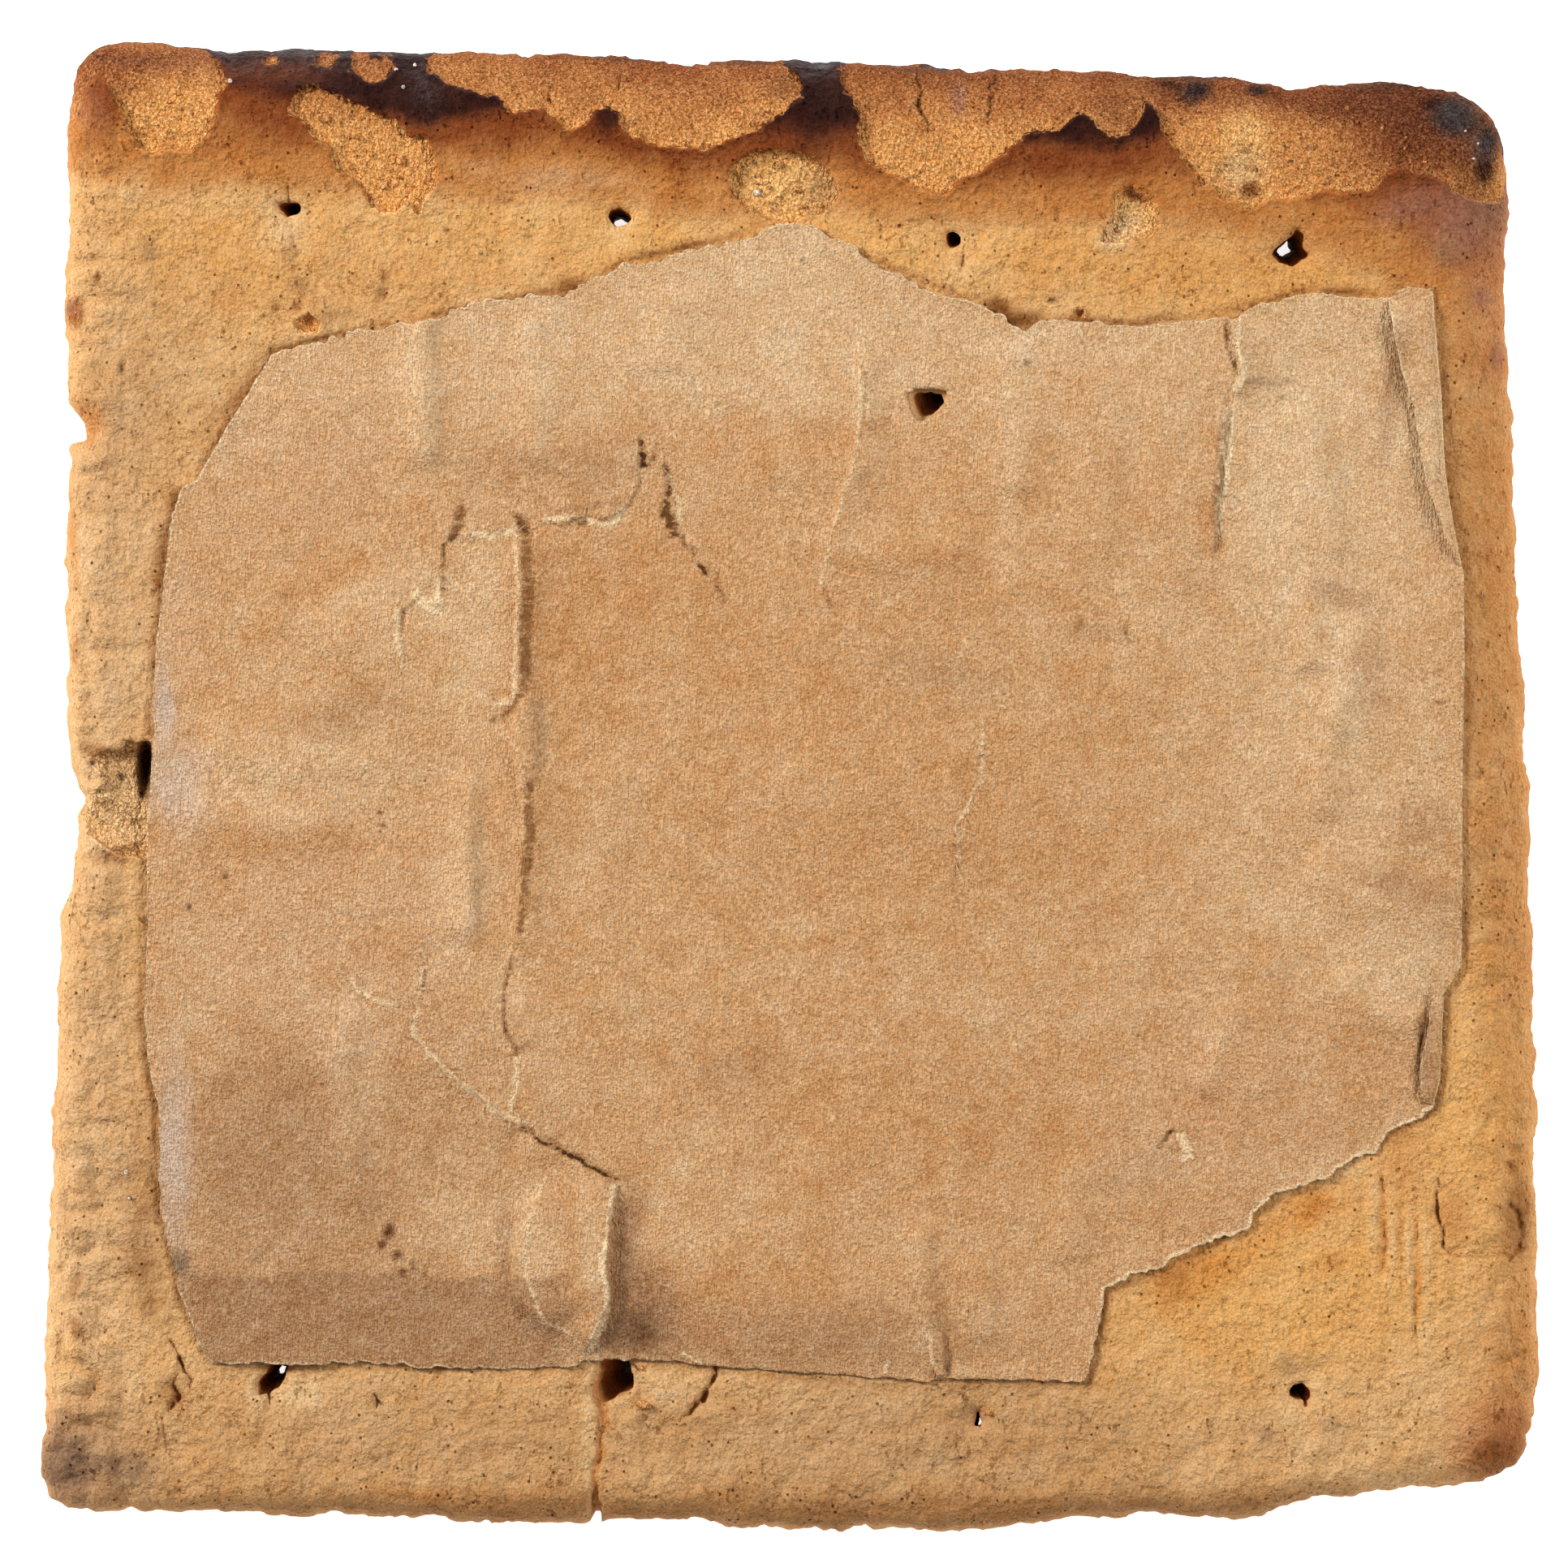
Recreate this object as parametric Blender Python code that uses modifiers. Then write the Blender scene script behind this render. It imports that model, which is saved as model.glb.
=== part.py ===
"""A square hardtack biscuit with a torn paper label glued to its upper face.

The biscuit lies on its flat underside, with +Z up, its scorched edge towards +Y and
the origin under the middle of its bounding box. Lengths below are millimetres unless
a name says otherwise, and MM turns them into metres.
"""

import itertools
import math

import bmesh
import bpy
import numpy as np

MM = 0.001

# The slab: full thickness at the middle, and how it swells and sinks.
THICKNESS = 10.0
CROWN_DROP = 0.55
CROWN_RADIUS = 62.0
SWELL_SIZE = 24.0
SWELL_HEIGHT = 0.35
ROLL_DROP = 0.62
ROLL_POWER = 2.2
RIM_INSET = 0.7
OUTLINE_STEP = 0.5
OUTLINE_SMOOTHING = 3
RAGGED_SIZE = 2.6
RAGGED_DEPTH = 0.22
FINE_RAGGED_SHARE = 0.5
FINE_RAGGED_SIZE = 0.45
SEED = 41

# Mesh density: cells along each side of the upper face, and how rings crowd the edge.
BISCUIT_CELLS = 48
RING_CROWDING = 1.35

# The side wall from rim to base: inset from the outline, share of the rim's height.
WALL_PROFILE = ((0.05, 0.80), (0.0, 0.48), (0.35, 0.20), (1.5, 0.0))

# Outline seen from above, clockwise from the upper left: x, y, width of the rolled edge.
BISCUIT_OUTLINE = (
    (-44.9, 46.9, 4.0), (-42.5, 47.8, 4.5), (-38.0, 47.4, 5.5), (-32.0, 47.2, 6.2),
    (-24.0, 47.1, 6.5), (-15.0, 47.1, 6.5), (-8.4, 46.7, 6.2), (-6.5, 46.2, 6.2),
    (-4.5, 46.6, 6.2), (3.0, 46.4, 6.2), (12.0, 45.9, 6.5), (20.0, 45.7, 6.5),
    (26.5, 45.6, 6.2), (32.8, 44.8, 6.0), (39.0, 45.2, 6.0), (42.6, 44.6, 5.5),
    (44.9, 43.0, 5.0), (45.8, 40.6, 4.8), (46.2, 37.0, 4.6), (45.9, 32.5, 4.6),
    (46.1, 28.0, 4.6), (46.5, 21.0, 4.6), (46.7, 13.0, 4.6), (47.1, 5.0, 4.6),
    (47.6, -5.0, 4.6), (47.7, -13.0, 4.5), (47.9, -24.0, 4.0), (47.9, -38.0, 3.5),
    (47.6, -41.6, 3.2), (46.4, -43.8, 3.0), (44.6, -44.8, 2.6), (38.0, -45.1, 2.2),
    (32.3, -45.9, 2.0), (30.8, -46.9, 2.0), (27.4, -47.1, 2.0), (23.0, -46.6, 2.0),
    (13.0, -47.6, 2.0), (4.0, -47.4, 2.0), (-8.0, -47.0, 2.0), (-16.0, -47.2, 2.0),
    (-24.0, -46.7, 2.0), (-37.0, -46.5, 2.0), (-44.8, -46.3, 2.4), (-47.0, -45.7, 2.6),
    (-48.0, -44.0, 2.6), (-47.5, -40.5, 2.5), (-47.6, -36.0, 2.5), (-47.0, -29.0, 2.5),
    (-47.1, -22.0, 2.5), (-46.7, -14.0, 2.5), (-46.3, -7.5, 2.5), (-45.7, -4.5, 2.2),
    (-45.0, -1.1, 2.0), (-46.0, 2.2, 2.2), (-46.1, 9.0, 2.5), (-46.2, 16.0, 2.5),
    (-46.0, 21.0, 2.5), (-46.1, 26.0, 2.5), (-46.3, 30.5, 2.5), (-46.1, 35.0, 2.5),
    (-46.2, 41.0, 3.0), (-45.8, 45.3, 3.6),
)

# Lower limit of the crust that has flaked off along the scorched edge, left to right.
CRUST_LINE = (
    (-47.5, 41.5), (-45.2, 43.5), (-44.2, 45.6), (-43.2, 43.8), (-42.4, 42.0),
    (-41.2, 40.8), (-38.2, 40.8), (-37.0, 42.3), (-36.2, 44.6), (-35.9, 50.0),
    (-23.4, 50.0), (-23.2, 46.5), (-22.3, 45.4), (-18.5, 43.9), (-16.8, 43.1),
    (-15.0, 43.2), (-14.2, 42.1), (-12.2, 43.3), (-11.1, 43.4), (-10.7, 42.0),
    (-8.5, 41.1), (-4.5, 41.1), (-2.0, 42.0), (0.9, 44.2), (1.0, 50.0),
    (3.2, 50.0), (3.4, 45.6), (4.2, 43.6), (4.8, 40.5), (7.5, 38.8),
    (10.2, 38.0), (12.5, 39.3), (14.3, 40.3), (15.4, 41.6), (17.4, 41.9),
    (18.8, 42.9), (20.2, 41.8), (21.7, 41.7), (23.1, 43.8), (24.3, 41.6),
    (25.5, 39.8), (27.3, 38.1), (29.3, 37.3), (31.5, 37.9), (37.3, 38.2),
    (39.2, 39.5), (41.0, 38.9), (43.0, 37.9), (48.5, 37.4),
)
FLAKE_DEPTH = 0.7
FLAKE_STEP = 0.9

# Hollows in the upper face: x, y, half width, half height, depth. Each one's wall stands
# between these shares of its half sizes.
HOLLOW_WALL = (0.65, 1.15)
HOLLOWS = (
    (-0.2, 38.5, 3.7, 2.4, 0.45),
    (-26.0, 40.6, 3.0, 3.2, 0.45),
    (22.2, 37.2, 1.7, 1.6, 1.0),
    (29.2, 39.6, 1.7, 2.4, 0.5),
    (-42.6, 1.4, 3.4, 2.0, 1.9),
    (-43.2, -2.2, 2.4, 1.8, 1.0),
    (45.9, -24.6, 0.9, 1.6, 0.8),
    (46.9, -28.2, 0.7, 2.0, 0.8),
)

# Docking holes: x, y, half width, half height, leaning over this far from top to base.
DOCKING_HOLES = (
    (-32.0, 37.0, 0.8, 0.55, 0.4), (-10.8, 36.5, 0.8, 0.7, 0.5),
    (10.5, 34.9, 0.6, 0.65, 0.3), (32.1, 34.5, 1.2, 1.1, -0.6),
    (8.9, 24.5, 1.1, 1.0, 0.4), (-33.1, -38.0, 1.0, 0.9, 0.5),
    (-11.2, -38.3, 1.3, 1.3, 0.4), (12.1, -40.4, 0.4, 0.5, 0.2),
    (32.8, -38.8, 0.75, 0.7, 0.3),
)
HIDDEN_COLUMNS = (-32.5, -11.0, 11.3, 32.5)
HIDDEN_ROWS = (11.5, -13.0)
HIDDEN_HOLE = (0.7, 0.65, 0.3)
HOLE_SIDES = 8
HOLE_TAPER = 0.75
DIMPLE_RADIUS = 2.1
DIMPLE_DEPTH = 0.4

# Cracks cut into the upper face: bottom of the cut, then x, y, half width along it.
CRACKS = (
    (3.0, ((-11.8, -39.0, 0.45), (-11.7, -41.4, 0.25), (-12.1, -43.6, 0.2),
           (-12.4, -45.8, 0.35), (-12.5, -48.5, 0.4))),
    (6.5, ((-4.6, -36.9, 0.12), (-4.7, -38.0, 0.22), (-5.6, -39.1, 0.3),
           (-6.8, -40.7, 0.15))),
)
# Bites out of the rim, right through: x, y, radius.
NICKS = ((-46.1, 23.1, 1.35), (-12.5, -48.2, 1.2))
NICK_SIDES = 7
# Cutters reach this far past the upper and lower faces.
CUTTER_SPARE = 2.0

# The label: a thin sheet that lies just clear of the crust.
PAPER_THICKNESS = 0.25
PAPER_GAP = 0.3
PAPER_CELLS = 28
PAPER_CENTRE = (2.0, -3.0)
PAPER_STEP = 1.0
WRINKLE_SIZE = 9.0
WRINKLE_HEIGHT = 0.12
TORN_SIZE = 1.9
# Outline of the label, clockwise from the upper left: x, y, how ragged the tear is.
PAPER_OUTLINE = (
    (-33.1, 27.6, 0.1), (-29.5, 28.5, 0.3), (-26.5, 29.2, 0.3), (-22.0, 30.2, 0.3),
    (-19.5, 31.0, 0.2), (-14.5, 31.5, 0.3), (-11.0, 33.4, 0.3), (-8.5, 33.6, 0.3),
    (-4.5, 34.7, 0.2), (-1.0, 35.9, 0.2), (1.3, 35.9, 0.2), (4.3, 34.4, 0.3),
    (7.5, 32.4, 0.3), (9.5, 31.4, 0.3), (13.5, 30.2, 0.2), (15.1, 29.4, 0.2),
    (16.5, 29.9, 0.2), (22.5, 29.3, 0.2), (28.0, 29.9, 0.2), (31.0, 31.3, 0.2),
    (38.3, 31.2, 0.2), (40.0, 32.0, 0.1), (41.3, 31.5, 0.1), (41.8, 21.0, 0.0),
    (43.2, 13.5, 0.0), (43.2, 2.0, 0.0), (43.1, -11.6, 0.0), (42.1, -13.2, 0.1),
    (41.6, -19.4, 0.1), (40.0, -21.6, 0.3), (37.8, -22.9, 0.3), (34.5, -24.9, 0.3),
    (30.3, -27.2, 0.3), (25.3, -29.8, 0.3), (20.4, -32.2, 0.3), (19.9, -35.0, 0.2),
    (19.2, -37.9, 0.2), (9.5, -37.7, 0.1), (0.0, -37.4, 0.1), (-6.0, -36.9, 0.1),
    (-13.0, -36.8, 0.2), (-20.0, -37.3, 0.1), (-29.0, -36.9, 0.1), (-36.8, -36.9, 0.1),
    (-38.1, -34.6, 0.2), (-39.5, -30.2, 0.2), (-40.4, -24.0, 0.1), (-40.5, -20.0, 0.1),
    (-41.1, -16.0, 0.0), (-41.0, -3.0, 0.0), (-40.7, 3.0, 0.0), (-40.5, 9.0, 0.1),
    (-39.9, 14.0, 0.0), (-39.4, 17.0, 0.0),
)
# Lines along which the paper is folded or stands up: height, half width, then points.
PAPER_RIDGES = (
    (0.75, 1.5, ((39.9, 31.5), (40.6, 25.0), (41.6, 18.0), (42.6, 14.5))),
    (0.70, 1.6, ((-16.6, -21.9), (-11.4, -24.9), (-11.9, -31.0), (-13.2, -36.0))),
    (0.35, 1.0, ((-17.0, 17.0), (-16.7, 6.0), (-17.0, -6.0), (-17.9, -16.0))),
    (0.45, 0.9, ((28.6, 30.0), (28.4, 26.0), (28.0, 20.0), (27.5, 14.0))),
    (0.30, 0.9, ((5.0, 26.0), (2.6, 15.0), (2.7, 5.0))),
    (0.30, 1.2, ((-24.5, 12.0), (-22.0, 17.0), (-18.0, 18.0), (-9.5, 21.0), (-5.0, 12.0))),
    (0.40, 1.0, ((41.2, -13.5), (40.9, -19.5))),
)
# The hole punched through the label: x, y, half width, half height.
PAPER_HOLE = (8.9, 24.6, 1.25, 1.0)
PAPER_HOLE_SIDES = 10

# Surfaces: base colour, roughness.
MATERIALS = {
    "hardtack_crust": ((0.52, 0.32, 0.14), 0.78),
    "kraft_paper": ((0.60, 0.37, 0.18), 0.88),
}


def smooth_noise(points, size, seed):
    """Smooth random values from -1 to 1, with one bump about every size."""
    side = 32
    lattice = np.random.default_rng(seed).uniform(-1.0, 1.0, (side, side, side))
    scaled = points / size
    low = np.floor(scaled).astype(int)
    ease = scaled - low
    ease = ease * ease * (3.0 - 2.0 * ease)
    total = np.zeros(len(points))
    for corner in itertools.product((0, 1), repeat=3):
        index = (low + corner) % side
        weight = np.prod(np.where(np.array(corner) == 1, ease, 1.0 - ease), axis=1)
        total += weight * lattice[index[:, 0], index[:, 1], index[:, 2]]
    return total


def flat(xy, height=0.5):
    """Points of a plane as rows of three, for the noise."""
    return np.column_stack([xy, np.full(len(xy), height)])


def along(rows, step, closed):
    """Rows walked at even steps, every column carried along."""
    rows = np.array(rows, float)
    if closed:
        rows = np.vstack([rows, rows[:1]])
    lengths = np.hypot(*np.diff(rows[:, :2], axis=0).T)
    reach = np.concatenate([[0.0], np.cumsum(lengths)])
    count = max(2, round(reach[-1] / step))
    places = np.linspace(0.0, reach[-1], count, endpoint=not closed)
    return np.column_stack([np.interp(places, reach, column) for column in rows.T])


def eased(rows, passes):
    """A closed row of points with its corners rounded off."""
    for _ in range(passes):
        rows = (np.roll(rows, 1, axis=0) + 2.0 * rows + np.roll(rows, -1, axis=0)) / 4.0
    return rows


def distance_to(xy, line):
    """Distance from each point to a chain of points, and the nearest link's index."""
    start, end = line[:-1, :2], line[1:, :2]
    run = end - start
    offset = xy[:, None, :] - start[None]
    share = np.clip((offset * run).sum(-1) / (run * run).sum(-1), 0.0, 1.0)
    gap = np.linalg.norm(offset - share[..., None] * run[None], axis=-1)
    nearest = gap.argmin(axis=1)
    return gap[np.arange(len(xy)), nearest], nearest


def ragged(rows, size, depth, seed):
    """Outline points pushed in and out along their radius by their own depth."""
    push = smooth_noise(flat(rows[:, :2]), size, seed)
    fine = smooth_noise(flat(rows[:, :2]), size * FINE_RAGGED_SIZE, seed + 1)
    push += FINE_RAGGED_SHARE * fine
    radius = np.hypot(rows[:, 0], rows[:, 1])
    rows[:, :2] *= (1.0 + depth * push / radius)[:, None]
    return rows


BISCUIT_EDGE = ragged(
    eased(along(BISCUIT_OUTLINE, OUTLINE_STEP, True), OUTLINE_SMOOTHING),
    RAGGED_SIZE,
    RAGGED_DEPTH,
    SEED,
)
BISCUIT_EDGE_LOOP = np.vstack([BISCUIT_EDGE, BISCUIT_EDGE[:1]])
PAPER_EDGE = along(PAPER_OUTLINE, PAPER_STEP, True)
PAPER_EDGE = ragged(PAPER_EDGE, TORN_SIZE, PAPER_EDGE[:, 2], SEED + 10)


def radius_at(angle, edge, centre=(0.0, 0.0)):
    """How far the outline lies from the centre in each direction."""
    from_centre = edge[:, :2] - centre
    turns = np.arctan2(from_centre[:, 1], from_centre[:, 0])
    order = np.argsort(turns)
    reach = np.hypot(from_centre[:, 0], from_centre[:, 1])
    return np.interp(angle, turns[order], reach[order], period=2.0 * math.pi)


def stretched(square, edge, crowding, centre=(0.0, 0.0), inset=0.0):
    """Points of a square grid from -1 to 1 drawn out to fill the outline."""
    ring = np.abs(square).max(axis=1)
    angle = np.arctan2(square[:, 1], square[:, 0])
    share = 1.0 - (1.0 - ring) ** crowding
    reach = share * (radius_at(angle, edge, centre) - inset)
    return np.column_stack([np.cos(angle), np.sin(angle)]) * reach[:, None] + centre


def ease_step(value):
    value = np.clip(value, 0.0, 1.0)
    return value * value * (3.0 - 2.0 * value)


def crust_height(xy):
    """The upper face as baked, before anything broke off it."""
    height = THICKNESS - CROWN_DROP * (xy ** 2).sum(axis=1) / CROWN_RADIUS ** 2
    height += SWELL_HEIGHT * smooth_noise(flat(xy), SWELL_SIZE, SEED + 2)
    gap, nearest = distance_to(xy, BISCUIT_EDGE_LOOP)
    roll = BISCUIT_EDGE_LOOP[nearest, 2]
    height -= ROLL_DROP * roll * np.clip(1.0 - gap / roll, 0.0, 1.0) ** ROLL_POWER
    return height


def every_hole():
    """Docking holes that show, and those of the same rows that the label covers."""
    covered = [(x, y, *HIDDEN_HOLE) for y in HIDDEN_ROWS for x in HIDDEN_COLUMNS]
    return list(DOCKING_HOLES) + covered


def broken_depth(xy):
    """How far the upper face lies below the baked crust."""
    line = np.array(CRUST_LINE)
    gap, _ = distance_to(xy, line)
    above = xy[:, 1] > np.interp(xy[:, 0], line[:, 0], line[:, 1])
    depth = FLAKE_DEPTH * ease_step(np.where(above, gap, 0.0) / FLAKE_STEP)
    for x, y, half_width, half_height, deep in HOLLOWS:
        reach = np.hypot((xy[:, 0] - x) / half_width, (xy[:, 1] - y) / half_height)
        inside = (HOLLOW_WALL[1] - reach) / (HOLLOW_WALL[1] - HOLLOW_WALL[0])
        depth = np.maximum(depth, deep * ease_step(inside))
    for x, y, *_ in every_hole():
        reach = np.hypot(xy[:, 0] - x, xy[:, 1] - y) / DIMPLE_RADIUS
        depth += DIMPLE_DEPTH * np.exp(-(reach ** 2))
    return depth


def biscuit_height(xy):
    return crust_height(xy) - broken_depth(xy)


def paper_lift(xy):
    """How far the label's folds and wrinkles stand above the crust."""
    lift = WRINKLE_HEIGHT * (1.0 + smooth_noise(flat(xy), WRINKLE_SIZE, SEED + 3))
    for height, half_width, points in PAPER_RIDGES:
        gap, _ = distance_to(xy, np.array(points))
        lift = np.maximum(lift, height * np.exp(-(gap / half_width) ** 2))
    return lift


def clear_scene():
    for old in list(bpy.data.objects):
        bpy.data.objects.remove(old, do_unlink=True)


def new_collection(name):
    group = bpy.data.collections.new(name)
    bpy.context.scene.collection.children.link(group)
    return group


def new_material(name):
    colour, roughness = MATERIALS[name]
    made = bpy.data.materials.new(name)
    made.use_nodes = True
    shader = made.node_tree.nodes["Principled BSDF"]
    shader.inputs["Base Color"].default_value = (*colour, 1.0)
    shader.inputs["Roughness"].default_value = roughness
    shader.inputs["Metallic"].default_value = 0.0
    return made


def object_from(shape, name, group):
    """A bmesh in millimetres becomes an object in metres."""
    bmesh.ops.scale(shape, vec=(MM, MM, MM), verts=shape.verts)
    mesh = bpy.data.meshes.new(name)
    shape.to_mesh(mesh)
    shape.free()
    made = bpy.data.objects.new(name, mesh)
    group.objects.link(made)
    return made


def place(verts, xy, height):
    for vert, (x, y), z in zip(verts, xy, height):
        vert.co = (x, y, z)


def flat_places(verts):
    return np.array([vert.co[:2] for vert in verts])


def cut_with(target, cutters, name):
    cut = target.modifiers.new(name, "BOOLEAN")
    cut.operation = "DIFFERENCE"
    cut.solver = "EXACT"
    cut.operand_type = "COLLECTION"
    cut.collection = cutters


def as_cutter(cutter):
    cutter.hide_render = True
    cutter.display_type = "WIRE"


def make_biscuit(group):
    """A square grid drawn out to the outline, with walls pulled down from its rim."""
    shape = bmesh.new()
    bmesh.ops.create_grid(shape, x_segments=BISCUIT_CELLS, y_segments=BISCUIT_CELLS, size=1.0)
    top = list(shape.verts)
    xy = stretched(flat_places(top), BISCUIT_EDGE, RING_CROWDING, inset=RIM_INSET)
    place(top, xy, biscuit_height(xy))
    rim = [edge for edge in shape.edges if edge.is_boundary]
    for inset, share in WALL_PROFILE:
        made = bmesh.ops.extrude_edge_only(shape, edges=rim)["geom"]
        verts = [item for item in made if isinstance(item, bmesh.types.BMVert)]
        lowest = set(verts)
        rim = [edge for edge in shape.edges if lowest.issuperset(edge.verts)]
        places = flat_places(verts)
        angle = np.arctan2(places[:, 1], places[:, 0])
        facing = np.column_stack([np.cos(angle), np.sin(angle)])
        reach = radius_at(angle, BISCUIT_EDGE)
        rim_height = biscuit_height(facing * (reach - RIM_INSET)[:, None])
        place(verts, facing * (reach - inset)[:, None], rim_height * share)
    bmesh.ops.edgeloop_fill(shape, edges=rim)
    bmesh.ops.recalc_face_normals(shape, faces=shape.faces)
    return object_from(shape, "biscuit", group)


def make_hole_cutters(group):
    """One leaning tapered pin for each docking hole, longer than the biscuit is thick."""
    length = THICKNESS + 2.0 * CUTTER_SPARE
    for number, (x, y, half_width, half_height, lean) in enumerate(every_hole()):
        shape = bmesh.new()
        bmesh.ops.create_cone(
            shape,
            cap_ends=True,
            segments=HOLE_SIDES,
            radius1=HOLE_TAPER,
            radius2=1.0,
            depth=length,
        )
        for vert in shape.verts:
            up = vert.co.z / length + 0.5
            vert.co.x = x + vert.co.x * half_width + lean * (1.0 - up)
            vert.co.y = y + vert.co.y * half_height
            vert.co.z = up * length - CUTTER_SPARE
        as_cutter(object_from(shape, f"hole_pin_{number}", group))


def make_nick_cutters(group):
    length = THICKNESS + 2.0 * CUTTER_SPARE
    for number, (x, y, radius) in enumerate(NICKS):
        shape = bmesh.new()
        bmesh.ops.create_cone(
            shape,
            cap_ends=True,
            segments=NICK_SIDES,
            radius1=radius,
            radius2=radius,
            depth=length,
        )
        bmesh.ops.translate(shape, vec=(x, y, THICKNESS / 2.0), verts=shape.verts)
        as_cutter(object_from(shape, f"nick_{number}", group))


def make_crack_cutters(group):
    """A crack is a flat ribbon outline, extruded from its floor to above the crust."""
    for number, (floor, route) in enumerate(CRACKS):
        rows = np.array(route)
        run = np.gradient(rows[:, :2], axis=0)
        side = np.column_stack([-run[:, 1], run[:, 0]])
        side *= (rows[:, 2] / np.hypot(run[:, 0], run[:, 1]))[:, None]
        ring = np.vstack([rows[:, :2] + side, (rows[:, :2] - side)[::-1]])
        shape = bmesh.new()
        verts = [shape.verts.new((x, y, floor)) for x, y in ring]
        face = shape.faces.new(verts)
        raised = bmesh.ops.extrude_face_region(shape, geom=[face])["geom"]
        raised = [item for item in raised if isinstance(item, bmesh.types.BMVert)]
        rise = THICKNESS + CUTTER_SPARE - floor
        bmesh.ops.translate(shape, vec=(0.0, 0.0, rise), verts=raised)
        bmesh.ops.recalc_face_normals(shape, faces=shape.faces)
        as_cutter(object_from(shape, f"crack_{number}", group))


def make_paper(group):
    """An open sheet that follows the crust, given its thickness by Solidify."""
    shape = bmesh.new()
    bmesh.ops.create_grid(shape, x_segments=PAPER_CELLS, y_segments=PAPER_CELLS, size=1.0)
    verts = list(shape.verts)
    xy = stretched(flat_places(verts), PAPER_EDGE, 1.0, centre=PAPER_CENTRE)
    place(verts, xy, crust_height(xy) + PAPER_GAP + paper_lift(xy))
    sheet = object_from(shape, "paper_label", group)
    thick = sheet.modifiers.new("thickness", "SOLIDIFY")
    thick.thickness = PAPER_THICKNESS * MM
    thick.offset = 1.0
    return sheet


def make_paper_hole_cutter(group):
    x, y, half_width, half_height = PAPER_HOLE
    shape = bmesh.new()
    bmesh.ops.create_cone(
        shape,
        cap_ends=True,
        segments=PAPER_HOLE_SIDES,
        radius1=1.0,
        radius2=1.0,
        depth=THICKNESS,
    )
    bmesh.ops.scale(shape, vec=(half_width, half_height, 1.0), verts=shape.verts)
    bmesh.ops.translate(shape, vec=(x, y, THICKNESS), verts=shape.verts)
    as_cutter(object_from(shape, "paper_hole_pin", group))


def centre_on(biscuit, parts):
    """Moves every object so that the biscuit's box is centred on the origin."""
    places = flat_places(biscuit.data.vertices)
    middle = (places.max(axis=0) + places.min(axis=0)) / 2.0
    for part in parts:
        part.location = (-middle[0], -middle[1], 0.0)


def main():
    clear_scene()
    group = new_collection("hardtack")
    pins = new_collection("biscuit_cutters")
    cracks = new_collection("crack_cutters")
    paper_pins = new_collection("paper_cutters")

    biscuit = make_biscuit(group)
    biscuit.data.materials.append(new_material("hardtack_crust"))
    make_hole_cutters(pins)
    make_nick_cutters(pins)
    cut_with(biscuit, pins, "holes")
    make_crack_cutters(cracks)
    cut_with(biscuit, cracks, "cracks")

    sheet = make_paper(group)
    sheet.data.materials.append(new_material("kraft_paper"))
    make_paper_hole_cutter(paper_pins)
    cut_with(sheet, paper_pins, "hole")

    centre_on(biscuit, list(bpy.data.objects))


main()
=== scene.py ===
"""A square hardtack biscuit with a torn paper label glued to its upper face.

The file is a Blender add-on that is run as a script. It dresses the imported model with
a finely modelled crust, a creased label, its folded edges, torn fibres and crumbs.
Lengths are millimetres until a mesh is made, and MM turns them into metres. Places are
seen from above, with the scorched edge towards +Y, measured from the middle of the
picture of the biscuit. Every noise has a number of its own, counted on from SEED, so
that each run gives the same result. Turns in the tables are degrees.
"""

import itertools
import math

import bmesh
import bpy
import numpy as np
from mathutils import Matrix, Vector, geometry


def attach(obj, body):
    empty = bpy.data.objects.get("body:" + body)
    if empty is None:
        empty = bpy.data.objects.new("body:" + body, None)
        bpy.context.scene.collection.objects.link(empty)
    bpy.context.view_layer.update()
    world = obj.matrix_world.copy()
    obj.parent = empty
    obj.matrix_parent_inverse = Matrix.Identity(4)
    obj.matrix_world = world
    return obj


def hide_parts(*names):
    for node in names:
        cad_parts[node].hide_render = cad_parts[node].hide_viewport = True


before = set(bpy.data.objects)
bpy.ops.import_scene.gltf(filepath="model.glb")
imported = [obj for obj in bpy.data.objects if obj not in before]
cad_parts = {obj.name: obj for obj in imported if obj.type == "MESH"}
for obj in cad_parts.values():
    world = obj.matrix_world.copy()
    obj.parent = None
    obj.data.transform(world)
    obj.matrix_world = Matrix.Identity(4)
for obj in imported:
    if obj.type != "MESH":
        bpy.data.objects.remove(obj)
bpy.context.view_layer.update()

bl_info = {
    "name": "Hardtack biscuit",
    "version": (1, 0, 0),
    "blender": (4, 5, 0),
    "location": "View3D > Sidebar > Hardtack",
    "description": "Builds a scorched hardtack biscuit with a torn paper label",
    "category": "Add Mesh",
}

MM = 0.001
BODY = "root"
SEED = 41
GAMMA = 2.2
# A distance that stands for far away from everything.
FAR = 9.0

# How many points are measured at once, which keeps the tables of distances small.
EDGE_BATCH = 6000
LOOP_BATCH = 4000
RIM_BATCH = 3000
CHAIN_BATCH = 200

# The noise: cells along its lattice, and the height at which a plane cuts through it.
LATTICE = 32
PLANE_HEIGHT = 0.5

# Nested grids of mesh points: cell, half width of the cells and of the points, how far
# points may stray from the grid, and how far they keep from outlines, in spacings.
GRID_CELL = 0.5
GRID_HALF = 50.0
POINTS_HALF = 49.0
STRAY = 0.27
CLEARANCE = 0.45
POINTS_DRAW = 70
SAME_PLACE = 1e-7
TINY = 1e-6

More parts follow.
